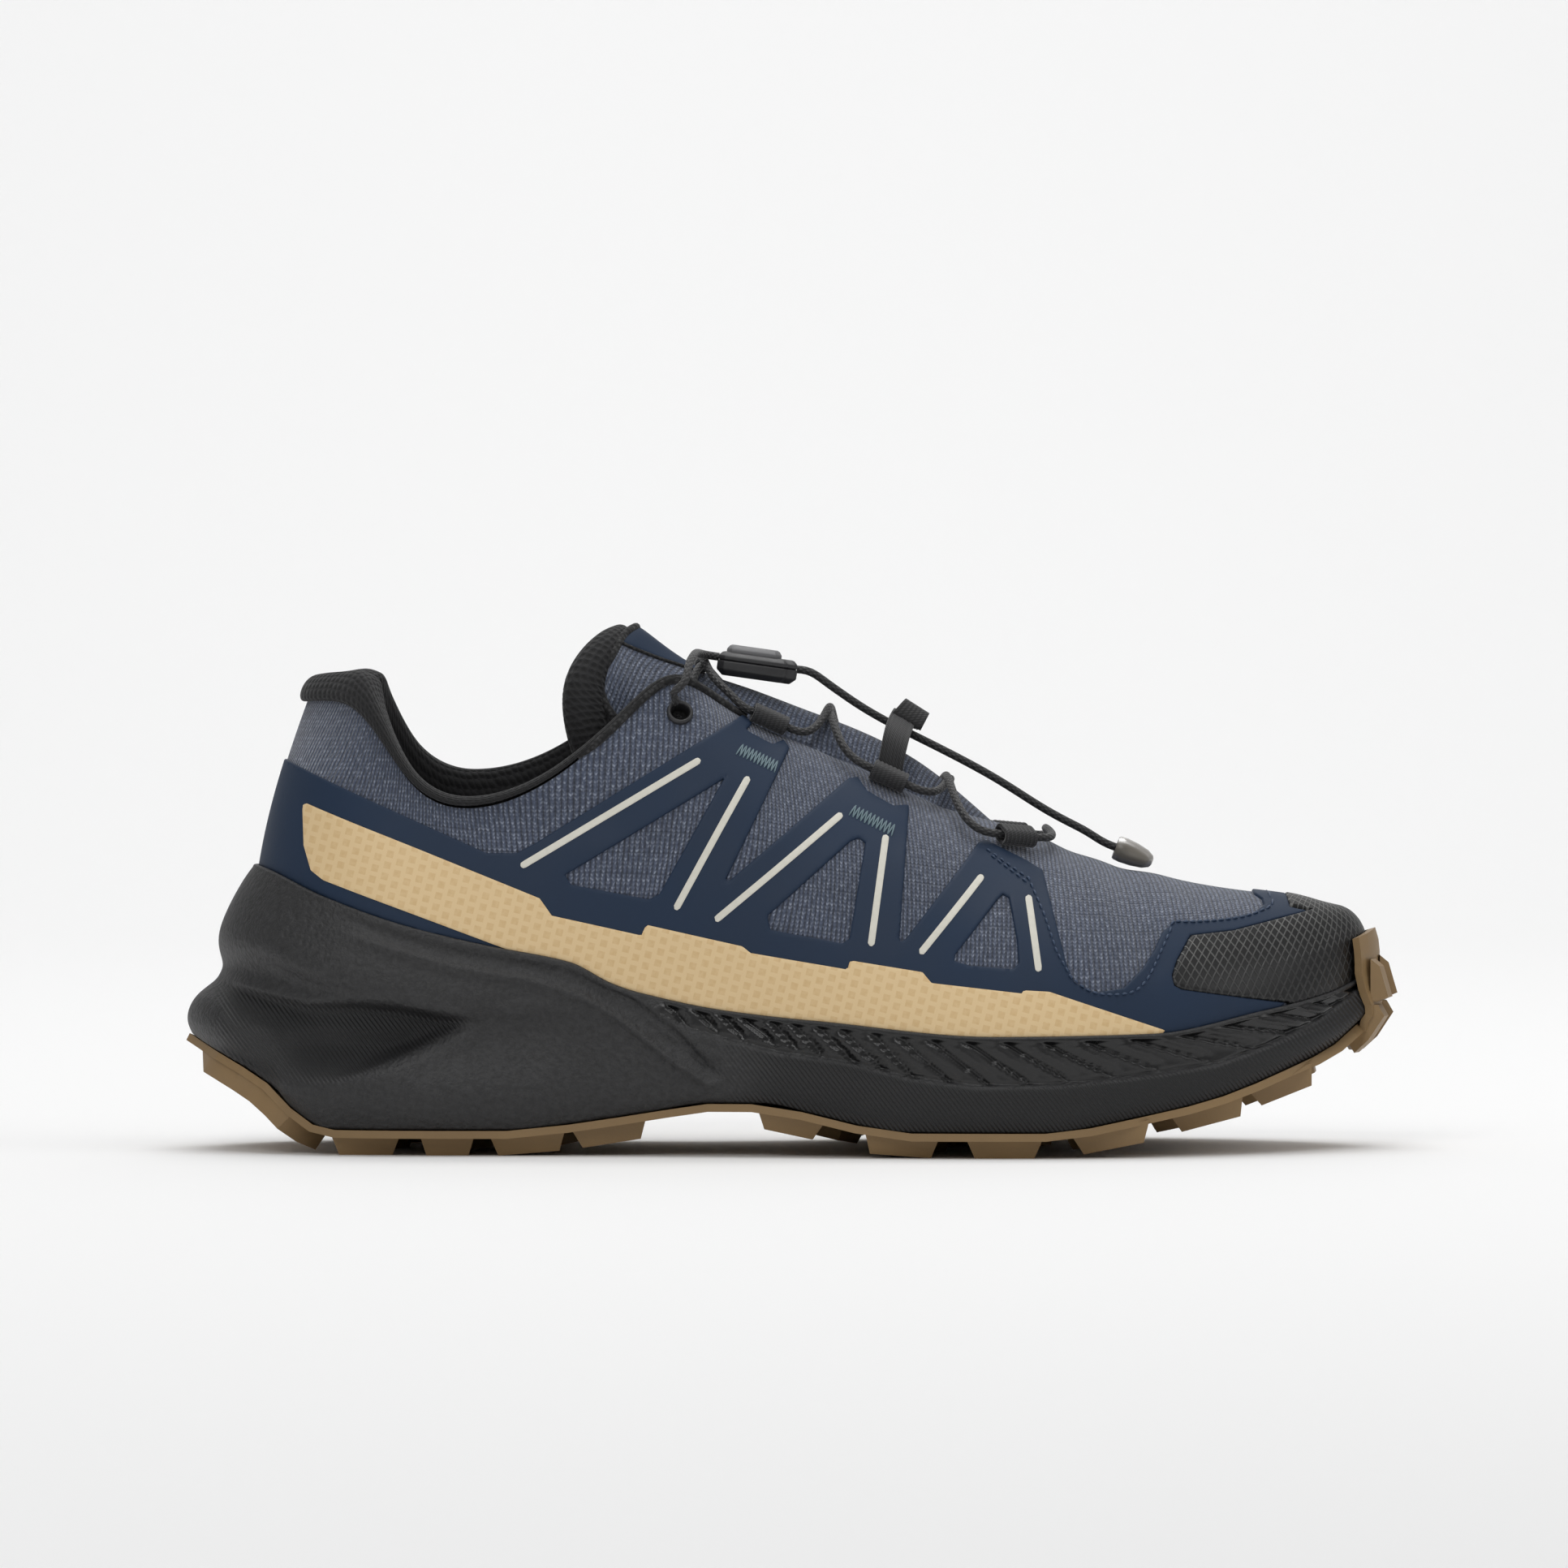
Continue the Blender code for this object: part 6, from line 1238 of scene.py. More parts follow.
# Stripes: raised off-white ink lines along the film's arms, 1.5 mm wide with round ends.
STRIPES = [
    ((84.2, 70.9), (126.6, 96.0)), ((121.8, 60.8), (138.5, 91.4)), ((131.7, 58.0), (161.3, 82.5)),
    ((169.1, 52.1), (172.5, 77.1)), ((181.4, 50.1), (195.7, 67.4)), ((209.6, 45.9), (207.4, 62.4)),
]
STRIPE_HALF = 0.75
INK_THICK = 0.00018
stripe_gap = np.full(skin_x.shape, 1e9)
for stripe in STRIPES:
    stripe_gap = np.minimum(stripe_gap, away_from_line(skin_x, skin_z, stripe))
ink = moulded_surface("off white raised ink", "#c9c7bb", "#d8d5ca", {"Scale": 700.0}, Roughness=0.6)
stripe_lines = on_skin("arm_stripes", STRIPE_HALF - stripe_gap, panel_top, INK_THICK, ink, round_off=0.0001)


# Toe cap: a black rubber coating over the toes, moulded with a net of raised threads on its shoulders
# and worn smooth and glossy low down, where it meets the sole. The threads carry a painted highlight in
# light grey, broken up by a noise and fading out low down, so the cap's lower part reads darker.
CAP_EDGE = [
    (305, 70), (272.4, 70), (272.4, 62.6), (273, 59.9), (278.4, 58.6), (269.8, 56.6), (258.1, 54),
    (247.4, 53), (244, 47.5), (242.6, 43.9), (243.1, 41.8), (244.8, 40.9), (254.3, 39.5), (271.1, 37.2),
]
CAP_THICK = 0.0009
NET_PITCH = 0.0023
cap_field = inside_by(skin_x, skin_z, CAP_EDGE + rim_line(272, 305, 0.0005, 12))
cap, tree, shader = surface("black toe cap rubber", Specular_IOR_Level=0.4)
lie = node(tree, "UVMap", uv_map="lie")
across, along = node(tree, "SeparateXYZ", {0: lie}, out=slice(2))
threads = []
for turn in (0.62, -0.62):
    place = node(tree, "Math", {0: along, 1: turn, 2: across}, operation="MULTIPLY_ADD")
    turns = node(tree, "Math", {0: place, 1: 1 / NET_PITCH}, operation="MULTIPLY")
    fold = node(tree, "Math", {0: turns, 1: 0.5}, operation="PINGPONG")
    threads.append(node(tree, "MapRange", {0: fold, 1: 0.05, 2: 0.15, 3: 1.0, 4: 0.0}))
net = node(tree, "Math", {0: threads[0], 1: threads[1]}, operation="MAXIMUM")
place = node(tree, "TexCoord", out="Object")
# highlight_noise breaks up the painted highlight on the net's threads.
highlight_noise = node(tree, "TexNoise", {"Vector": place, "Scale": 70.0, "Detail": 4.0})
high = node(tree, "MapRange", {0: along, 1: 0.016, 2: 0.028, 3: 0.15, 4: 1.0})
net_high = node(tree, "Math", {0: net, 1: high}, operation="MULTIPLY")
light = node(tree, "Math", {0: net_high, 1: highlight_noise}, operation="MULTIPLY")
# Painted highlight: the raised threads are mixed towards light grey on the black rubber, strongest high on
# the cap and gone low down.
colour = node(tree, "Mix", {0: light, 6: linear("#0d0d0e"), 7: linear("#8c8c8a")}, out=2, data_type="RGBA")
rough = node(tree, "MapRange", {0: high, 1: 0.15, 2: 1.0, 3: 0.38, 4: 0.50})
bump = node(tree, "Bump", {"Height": net_high, "Strength": 1.0, "Distance": 0.0006})
drive(tree, shader, Base_Color=colour, Roughness=rough, Normal=bump)
toe_cap = on_skin("toe_cap_rubber", cap_field, FILM_LIFT, CAP_THICK, cap, lie=skin_turn, round_off=0.0004)
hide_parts("toe_cap")


# Seams: running stitches of thick navy thread along the film's inner edge over the toes, and bar tacks
# of grey green thread under the two rear lace loops, on both sides.
TOE_SEAM = [
    (217.4, 43.9), (223.1, 40.1), (230.5, 39.7), (234.1, 41.1), (236.6, 43.9), (239.2, 48.7), (242.6, 55.6),
    (244.4, 56.4), (253.9, 56.5), (261.7, 57.5), (266.4, 59.0), (268.2, 60.1), (267.8, 62.2),
]
LOOP_SEAMS = [
    [(197.7, 73.7), (207.4, 67.0)],
    [(198.9, 72.2), (206.4, 66.6)],
    [(207.4, 67.0), (211.2, 58.5), (214.0, 50.0), (217.4, 43.9)],
]
BAR_TACKS = [((136.2, 98.9), (145.6, 94.4)), ((164.0, 84.0), (174.3, 78.9))]
skin_tree = BVHTree.FromPolygons([Vector(p) for p in skin.reshape(-1, 3)], skin_triangles.tolist())


def hit_side(spots, side):
    """Points and normals where lines across the shoe first meet the skin. side is -1 for the outer side."""
    points, normals = [], []
    for x, z in spots:
        start = Vector((x / 1000 - SOLE_LENGTH / 2, side * 0.12, z / 1000))
        place, normal, _, _ = skin_tree.ray_cast(start, Vector((0, -side, 0)))
        if place is not None:
            points.append(place)
            normals.append(normal if normal.y * side > 0 else -normal)
    return np.array(points), np.array(normals)


def evenly(line, spacing):
    """Points along a broken line, evenly spaced, and the direction there."""
    line = np.asarray(line, float)
    run = run_along(line)
    count = max(2, int(run[-1] / spacing) + 1)
    spots = np.linspace(0, run[-1], count)
    points = np.column_stack([np.interp(spots, run, line[:, k]) for k in range(2)])
    return points, unit(np.gradient(points, axis=0))


# A stitch's places along and shares of its girth, and the number of sides of its thread.
STITCH_BULB = np.array([(-0.5, 0), (-0.48, 0.5), (-0.3, 0.9), (0, 1.0), (0.3, 0.9), (0.48, 0.5), (0.5, 0)])
STITCH_SIDES = 6


def stitches(name, strokes, radius, finish, lift):
    """Threads that dive at both ends: each stroke is a short closed tube, humped over the skin."""
    points, faces = [], []
    angle = np.linspace(0, 2 * math.pi, STITCH_SIDES, endpoint=False)
    for side in (-1, 1):
        starts, normals = hit_side([stroke[0] for stroke in strokes], side)
        ends, _ = hit_side([stroke[1] for stroke in strokes], side)
        if len(starts) != len(ends):
            continue
        along = ends - starts
        long = np.linalg.norm(along, axis=1)[:, None]
        along = along / long
        aside = np.cross(normals, along)
        middle = (starts + ends) / 2
        share = STITCH_BULB[None, :, 0, None]
        girth = STITCH_BULB[None, :, 1, None, None] * radius
        centre = middle[:, None] + along[:, None] * share * long[:, None]
        centre = centre + normals[:, None] * (lift + radius * 0.9 * (1 - 3.2 * share**2))
        cosine, sine = (turned[None, None, :, None] for turned in (np.cos(angle), np.sin(angle)))
        ring = cosine * aside[:, None, None] + sine * normals[:, None, None]
        rings = centre[:, :, None] + girth * ring
        first = sum(len(p) for p in points)
        levels = len(STITCH_BULB)
        ring_number = np.arange(len(starts))[:, None, None] * levels + np.arange(levels - 1)[None, :, None]
        base = first + STITCH_SIDES * ring_number
        k = np.arange(STITCH_SIDES)[None, None]
        n = (k + 1) % STITCH_SIDES
        around = np.stack([base + k, base + n, base + STITCH_SIDES + n, base + STITCH_SIDES + k], axis=-1)
        faces.append(around.reshape(-1, 4))
        points.append(rings.reshape(-1, 3))
    made = put_mesh(name, np.concatenate(points), np.concatenate(faces), finish)
    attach(made, "root")
    return made


def running(line, pitch, share):
    """Stroke ends for running stitches along a line: each is share of the pitch long."""
    spots, ahead = evenly(line, pitch)
    reach = ahead * pitch * share / 2
    return [(tuple(spot - far), tuple(spot + far)) for spot, far in zip(spots, reach)]


SEAM_PITCH = 1.75
SEAM_SHARE = 0.72
thread = surface("navy polyester thread", Base_Color=linear("#2f4059"), Roughness=0.55)[0]
grey_thread = surface("grey green polyester thread", Base_Color=linear("#5f747c"), Roughness=0.5)[0]
smooth_seam = natural(np.arange(len(TOE_SEAM)), TOE_SEAM, np.linspace(0, len(TOE_SEAM) - 1, 120))
strokes = []
for line in (smooth_seam, *LOOP_SEAMS):
    strokes += running(line, SEAM_PITCH, SEAM_SHARE)
seam = stitches("toe_seam", strokes, 0.00030, thread, panel_top)
TACK_TURNS = 11
TACK_HALF = 1.5
tack = []
for (ax, az), (bx, bz) in BAR_TACKS:
    ahead = np.array([bx - ax, bz - az])
    long = np.linalg.norm(ahead)
    ahead /= long
    aside = np.array([-ahead[1], ahead[0]]) * TACK_HALF
    for k in range(TACK_TURNS):
        spot = np.array([ax, az]) + ahead * long * (k + 0.5) / TACK_TURNS
        low, high = spot - aside - ahead * 0.25, spot + aside + ahead * 0.25
        tack += [(tuple(low), tuple(high)), (tuple(high), tuple(spot - aside + ahead * 0.7))]
tacks = stitches("bar_tacks", tack, 0.00024, grey_thread, panel_top)


# Eyelets: a punched hole at the top of each eyestay, lined with a black moulded ring.
EYELET_RADIUS = 0.0033
EYELET_SIDES = 48
plastic = moulded_surface(
    "black moulded nylon", "#1d1d1f", "#2b2b2d", {"Scale": 160.0, "Detail": 2.0},
    rough=(0.36, 0.48), fine=(1800.0, 0.2, 0.00008), Specular_IOR_Level=0.5,
)
angle = np.linspace(0, 2 * math.pi, EYELET_SIDES, endpoint=False)
turn = np.linspace(0, 2 * math.pi, 16, endpoint=False)
ring_middle = (EYELET_RADIUS + EYELET_HOLE) / 2
ring_half = (EYELET_RADIUS - EYELET_HOLE) / 2
for name, side, solid in (("eyelet_outer", 1, "lateral_eyelet"), ("eyelet_inner", -1, "medial_eyelet")):
    centre, normal, ahead = wall_spot(*EYELET_SPOT, side)
    beside = np.cross(normal, ahead)
    spoke = np.cos(angle)[:, None] * ahead + np.sin(angle)[:, None] * beside
    rings = centre + spoke[:, None] * (ring_middle + ring_half * np.cos(turn))[None, :, None]
    rings = closed_round(rings + normal * (0.0004 + 0.0009 * np.sin(turn))[None, :, None])
    eyelet = put_mesh(name, rings, quads(EYELET_SIDES, 17, closed=True), plastic)
    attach(eyelet, "root")
    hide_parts(solid)
    well = centre + spoke[:, None] * EYELET_HOLE + normal * np.linspace(0.0008, -0.0032, 5)[None, :, None]
    hole = put_mesh(name + "_barrel", well, quads(EYELET_SIDES, 5, closed=True), plastic)
    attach(hole, "root")


# Lace loops: a black ribbed tape folded round the cord and sewn under the film, three on each side.
CORD = 0.0020
LOOP_SPOTS = [(143.0, 104.4), (172.6, 90.0), (203.8, 75.4)]
LOOP_WIDTH = 0.0090
LOOP_LENGTH = 0.0066
LOOP_TAPE = 0.0009
LOOP_THICK = 2 * (LOOP_TAPE + GAP) + CORD


def ribbed_webbing(name, pitch, colour, light):
    """Woven tape: ribs are a triangle wave across the lie, with finer slanting threads along it."""
    made, tree, shader = surface(name, Roughness=0.75, Sheen_Weight=0.2)
    lie = node(tree, "UVMap", uv_map="lie")
    across, along = node(tree, "SeparateXYZ", {0: lie}, out=slice(2))
    turns = node(tree, "Math", {0: across, 1: 1 / pitch}, operation="MULTIPLY")
    fold = node(tree, "Math", {0: turns, 1: 0.5}, operation="PINGPONG")
    rib = node(tree, "Math", {0: fold, 1: 2.0}, operation="MULTIPLY")
    picks = node(tree, "Math", {0: along, 1: 1 / (0.8 * pitch), 2: turns}, operation="MULTIPLY_ADD")
    pick = node(tree, "Math", {0: picks, 1: 0.5}, operation="PINGPONG")
    height = node(tree, "Math", {0: pick, 1: 0.8, 2: rib}, operation="MULTIPLY_ADD")
    tone = node(tree, "Math", {0: rib, 1: pick}, operation="MULTIPLY")
    colour = node(tree, "Mix", {0: tone, 6: linear(colour), 7: linear(light)}, out=2, data_type="RGBA")
    bump = node(tree, "Bump", {"Height": height, "Strength": 0.8, "Distance": 0.00025})
    drive(tree, shader, Base_Color=colour, Normal=bump)
    return made


webbing = ribbed_webbing("black ribbed webbing", 0.001125, "#08080a", "#424246")


def loop_frame(spot, side):
    """A loop's centre, outward direction, direction of its cord, and the way up to the throat."""
    point, normal, ahead = wall_spot(*spot, side)
    up = np.cross(ahead, normal)
    up *= np.sign(up[2])
    return point + normal * (2 * GAP + LOOP_THICK / 2), normal, ahead, up


def loop_shape(half_long, half_thick, count=32):
    """A racetrack of two half circles and straights, from its half sizes along the loop and off it."""
    angle = np.linspace(0, 2 * math.pi, count, endpoint=False) + math.pi / count
    round_part = np.column_stack([np.cos(angle), np.sin(angle)]) * half_thick
    round_part[:, 0] += np.sign(round_part[:, 0]) * (half_long - half_thick)
    return round_part


frames = {(i, side): loop_frame(spot, side) for i, spot in enumerate(LOOP_SPOTS) for side in (1, -1)}
for (i, side), (centre, normal, ahead, up) in frames.items():
    name = f"{'lateral' if side > 0 else 'medial'}_loop_{i + 1}"
    outer = loop_shape(LOOP_LENGTH / 2, LOOP_THICK / 2)
    inner = loop_shape(LOOP_LENGTH / 2 - LOOP_TAPE, LOOP_THICK / 2 - LOOP_TAPE)
    inner[:, 1] *= 0.92
    across = np.linspace(-1, 1, 57)
    ribs = 0.00022 * np.abs(np.sin(4 * math.pi * (across + 1))) ** 0.7
    ringed = outer[None] + unit(outer)[None] * (ribs - 0.0002)[:, None, None]
    ringed = np.concatenate([ringed, inner[None].repeat(2, axis=0)])
    wide = np.concatenate([across, [1, -1]]) * LOOP_WIDTH / 2
    rings = centre + ringed[..., :1] * up + ringed[..., 1:] * normal + wide[:, None, None] * ahead
    closed = closed_round(np.concatenate([rings, rings[:1]]))
    lie = grid_lie(np.concatenate([wide, wide[:1]]), np.linspace(0, 0.018, 33))
    loop = put_mesh("webbing_" + name, closed, quads(len(closed), 33, flip=side < 0), webbing, uv=lie)
    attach(loop, "root")
    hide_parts(name)


# Lace: one round braided cord with a black cover. It starts inside one top eyelet, crosses over the
# tongue from loop to loop, turns in a bar in front of the last pair and ends inside the other eyelet.
GIRTH = math.pi * CORD
BRAID_LENGTH = 0.0019
cord_black, tree, shader = surface("black braided polyester cord", Roughness=0.55, Sheen_Weight=0.15)
lie = node(tree, "UVMap", uv_map="lie")
across, along = node(tree, "SeparateXYZ", {0: lie}, out=slice(2))
run_turns = node(tree, "Math", {0: along, 1: 1 / BRAID_LENGTH}, operation="MULTIPLY")
plaits = []
for hand in (1, -1):
    turns = node(tree, "Math", {0: across, 1: hand * 6 / GIRTH, 2: run_turns}, operation="MULTIPLY_ADD")
    fold = node(tree, "Math", {0: turns, 1: 0.5}, operation="PINGPONG")
    plaits.append(node(tree, "MapRange", {0: fold, 1: 0.04, 2: 0.42}))
plait = node(tree, "Math", {0: plaits[0], 1: plaits[1]}, operation="MULTIPLY")
colour = node(tree, "Mix", {0: plait, 6: linear("#070708"), 7: linear("#2a2a2d")}, out=2, data_type="RGBA")
bump = node(tree, "Bump", {"Height": plait, "Strength": 0.8, "Distance": 0.00022})
drive(tree, shader, Base_Color=colour, Normal=bump)
tongue_faces = quads(TONGUE_ALONG, TONGUE_ACROSS).tolist()
tongue_tree = BVHTree.FromPolygons([Vector(p) for p in tongue_out.reshape(-1, 3)], tongue_faces)
LACE_CLEAR = CORD / 2 + GAP


def through(points, spacing):
    """A natural cubic spline through the points, over its chord length, read about every spacing."""
    points = np.asarray(points, float)
    chord = run_along(points)
    count = max(3, int(round(chord[-1] / spacing)) + 1)
    return natural(chord, points, np.linspace(0, chord[-1], count))


def kept_clear(path, trees):
    """Each inner point near a surface, or up to 6 mm under it, moves out along its normal until clear."""
    for i in range(1, len(path) - 1):
        for tree_of_piece in trees:
            spot = Vector(path[i])
            place, normal, _, far = tree_of_piece.find_nearest(spot)
            if normal.dot(place - Vector((place.x, TONGUE_MIDDLE, 0.05))) < 0:
                normal = -normal
            if far < LACE_CLEAR or (far < 0.006 and (spot - place).dot(normal) < 0):
                path[i] = place + normal * LACE_CLEAR
    return path


def strand(points, trees):
    """A cord over surfaces: a spline through points, pushed clear and smoothed in turn, its ends kept."""
    path = through(points, 0.001)
    for _ in range(5):
        path = kept_clear(path, trees)
        path[1:-1] = (path[:-2] + 2 * path[1:-1] + path[2:]) / 4
    return kept_clear(path, trees)


def gate(i, side, end):
    """Where the cord leaves a loop, at its rear (end -1) or its front (end 1), and 3 mm further on."""
    centre, _, ahead, _ = frames[i, side]
    return [centre + ahead * end * far for far in (LOOP_WIDTH / 2 + GAP, LOOP_WIDTH / 2 + 0.003)]


def from_eyelet(side, lift):
    """The cord from inside one side's eyelet over the tongue's crown to the other side's first loop."""
    point, normal, _ = wall_spot(*EYELET_SPOT, side)
    across = [
        (123.4, 17.5, 109.5), (124.8, 13.5, 113.8), (126.0, 7.0, 117.8), (127.5, 0.0, 119.3 + lift),
        (129.5, -7.0, 118.0), (133.0, -13.0, 114.0), (136.5, -15.8, 110.5),
    ]
    places = [at(x, 1000 * TONGUE_MIDDLE - side * y, z) for x, y, z in across]
    return strand([point - normal * (WALL + 0.0004), *places, *gate(0, -side, -1)[::-1]], [tongue_tree])


def crossing(i, side, lift):
    """The cord from the front of a loop over the tongue to the rear of the next loop of the other side."""
    crown = [(159.0, 107.2), (188.0, 90.2)][i]
    middle = at(crown[0], 1000 * TONGUE_MIDDLE, crown[1] + lift)
    return strand([*gate(i, side, 1), middle, *gate(i + 1, -side, -1)[::-1]], [tongue_tree, skin_tree])


bar_middle = at(212.6, 1000 * TONGUE_MIDDLE, 79.3)
bar = strand([*gate(2, -1, 1), bar_middle, *gate(2, 1, 1)[::-1]], [tongue_tree, skin_tree])
lace_run = np.concatenate([
    from_eyelet(1, 0), crossing(0, -1, 0), crossing(1, 1, 0), bar,
    crossing(1, -1, 2.1)[::-1], crossing(0, 1, 2.1)[::-1], from_eyelet(-1, 2.1)[::-1],
])
lace = rope_mesh("lace", through(lace_run, 0.0005), CORD / 2, cord_black, sides=14)
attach(lace, "root")
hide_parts("lace_crossing_1", "lace_crossing_2", "lace_bar")


# Cord lock: two black mouldings with a spring between them, and a lighter bare button plate on top. The
# doubled cord runs through it. The risers come up to it from the eyelets and go on as the free cord.
LOCK_LENGTH = 0.0195
LOCK_WIDTH = 0.0140
LOCK_HEIGHT = 0.0078
LOCK_PLACE = (141.3, 4, 119.9)
LOCK_TILT = math.radians(8)
plate_grey = moulded_surface(
    "grey moulded nylon", "#58585a", "#666668", {"Scale": 200.0, "Detail": 2.0},
    fine=(1500.0, 0.2, 0.00008), Roughness=0.42,
)


def tilted(points, angle, place):
    """Points turned about the Y axis, nose down, and moved to a place given in millimetres."""
    turn = np.array(Matrix.Rotation(angle, 3, "Y"))
    return np.asarray(points, float) @ turn.T + at(*place)


def moulding(name, outline, layers, finish, place=(0, 0, 0)):
    """A closed moulding: one outline in plan, scaled and raised layer by layer, closed above and below."""
    rings = []
    for height, long, wide in layers:
        flat = np.asarray(outline) * [LOCK_LENGTH * long, LOCK_WIDTH * wide]
        rings.append(np.column_stack([flat, np.full(len(flat), height * LOCK_HEIGHT)]) + place)
    closed = closed_round(drawn_in(np.stack(rings)))
    faces = quads(len(closed), closed.shape[1], flip=True)
    made = put_mesh(name, tilted(closed, LOCK_TILT, LOCK_PLACE), faces, finish, sharp=25)
    shape = bmesh.new()
    shape.from_mesh(made.data)
    bmesh.ops.remove_doubles(shape, verts=shape.verts, dist=1e-6)
    bmesh.ops.recalc_face_normals(shape, faces=shape.faces)
    edges = [edge for edge in shape.edges if edge.is_manifold and edge.calc_face_angle() > 0.5]
    bmesh.ops.bevel(shape, geom=edges, offset=0.00022, segments=3, affect="EDGES", profile=0.5)
    shape.to_mesh(made.data)
    shape.free()
    made.data.shade_smooth()
    made.data.set_sharp_from_angle(angle=math.radians(35))
    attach(made, "root")
    return made


LOCK_OUTLINE = [
    (-0.5, -0.38), (-0.42, -0.5), (0.34, -0.5), (0.38, -0.43), (0.47, -0.43), (0.5, -0.38),
    (0.5, 0.38), (0.47, 0.43), (0.38, 0.43), (0.34, 0.5), (-0.42, 0.5), (-0.5, 0.38),
]
lock_base = moulding("lock_base", LOCK_OUTLINE, [
    (-0.50, 0.86, 0.80), (-0.36, 1.0, 0.96), (-0.30, 1.02, 1.0), (-0.05, 1.02, 1.0), (-0.02, 0.98, 0.95),
], plastic)
lock_top = moulding("lock_top", LOCK_OUTLINE, [
    (-0.02, 0.97, 0.93), (0.01, 1.02, 0.99), (0.12, 1.01, 0.99), (0.24, 0.92, 0.82), (0.26, 0.86, 0.70),
], plastic)
BUTTON_OUTLINE = [
    (-0.5, -0.28), (-0.42, -0.5), (0.40, -0.5), (0.5, -0.3),
    (0.5, 0.3), (0.40, 0.5), (-0.42, 0.5), (-0.5, 0.28),
]
lock_button = moulding("lock_button", BUTTON_OUTLINE, [
    (0.20, 0.70, 0.70), (0.36, 0.70, 0.70), (0.46, 0.64, 0.58), (0.50, 0.58, 0.46),
], plate_grey, place=(-0.0012, 0, 0))
lock_seat = moulding("lock_heel", [(-0.5, -0.5), (0.5, -0.5), (0.5, 0.5), (-0.5, 0.5)], [
    (-0.34, 0.10, 0.60), (-0.30, 0.14, 0.66), (0.16, 0.14, 0.66), (0.22, 0.10, 0.60),
], plastic, place=(-0.0080, 0, 0))
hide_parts("lace_lock")


# Pull tab: a short smoky horn of soft translucent plastic. The doubled cord goes into its open end and
# is knotted inside.
PULL_LENGTH = 0.0098
PULL_WIDTH = 0.0070
PULL_PLACE = (234.6, 6.0, 72.6)
PULL_TILT = math.radians(22)
smoke = moulded_surface(
    "smoky moulded plastic", "#6e685f", "#8f8a81", {"Scale": 180.0, "Detail": 3.0},
    rough=(0.28, 0.40), IOR=1.49, Transmission_Weight=0.35, Subsurface_Weight=0.15,
    Subsurface_Radius=(0.002, 0.002, 0.002),
)
# Columns: place along, half width and half height, as shares of the tab's length and width.
PULL_RINGS = np.array([
    (-0.16, 0.0, 0.0), (-0.20, 0.20, 0.20), (-0.30, 0.27, 0.27), (-0.47, 0.30, 0.29), (-0.50, 0.33, 0.32),
    (-0.50, 0.42, 0.39), (-0.46, 0.46, 0.43), (-0.30, 0.48, 0.45), (0.0, 0.46, 0.42), (0.30, 0.42, 0.34),
    (0.46, 0.30, 0.22), (0.50, 0.16, 0.12), (0.50, 0.0, 0.0),
])
angle = np.linspace(0, 2 * math.pi, 37)
pull_rings = np.stack(np.broadcast_arrays(
    PULL_RINGS[:, :1] * PULL_LENGTH,
    PULL_RINGS[:, 1:2] * PULL_WIDTH * np.cos(angle),
    PULL_RINGS[:, 2:] * PULL_WIDTH * np.sin(angle),
), axis=-1)
pull_grid = tilted(pull_rings, PULL_TILT, PULL_PLACE)
pull_tab = put_mesh("pull_tab_horn", pull_grid, quads(len(PULL_RINGS), 37), smoke, sharp=50)
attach(pull_tab, "root")
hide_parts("pull_tab")

# The free cord's route, as x and z in the side view, and the risers' route: x and z, with the place
# across between them as a share of the way from the lock's end to the eyelet's end.
FREE_LACE = [
    (158.5, 115.2), (163.5, 111.6), (168.5, 108.4), (174.5, 105.0), (180.4, 102.0), (190.3, 97.0),
    (202.3, 90.3), (214.2, 82.9), (223.0, 78.2),
]
RISER = [
    (122.4, 1.06, 114.6), (124.2, 0.91, 118.8), (125.2, 0.656, 121.6), (126.2, 0.33, 122.6),
    (127.3, 0.141, 122.4), (128.7, 0.045, 122.1),
]
CORD_LEAD = 0.0025
EYELET_RING = 0.0009
RISER_SPREAD = 0.0032


def lock_face(out, across, up):
    """A spot on the lock's rear (out -1) or front (out 1) face, and the face's outward direction."""
    spot = tilted([[out * LOCK_LENGTH / 2, across, up], [0, 0, 0], [out, 0, 0]], LOCK_TILT, LOCK_PLACE)
    return spot[0], spot[2] - spot[1]


def cord_piece(name, path, solid):
    """A round braided cord along a path, in place of the model's part, which is hidden."""
    made = rope_mesh(name, path, CORD / 2, cord_black, sides=14)
    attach(made, "root")
    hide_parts(solid)


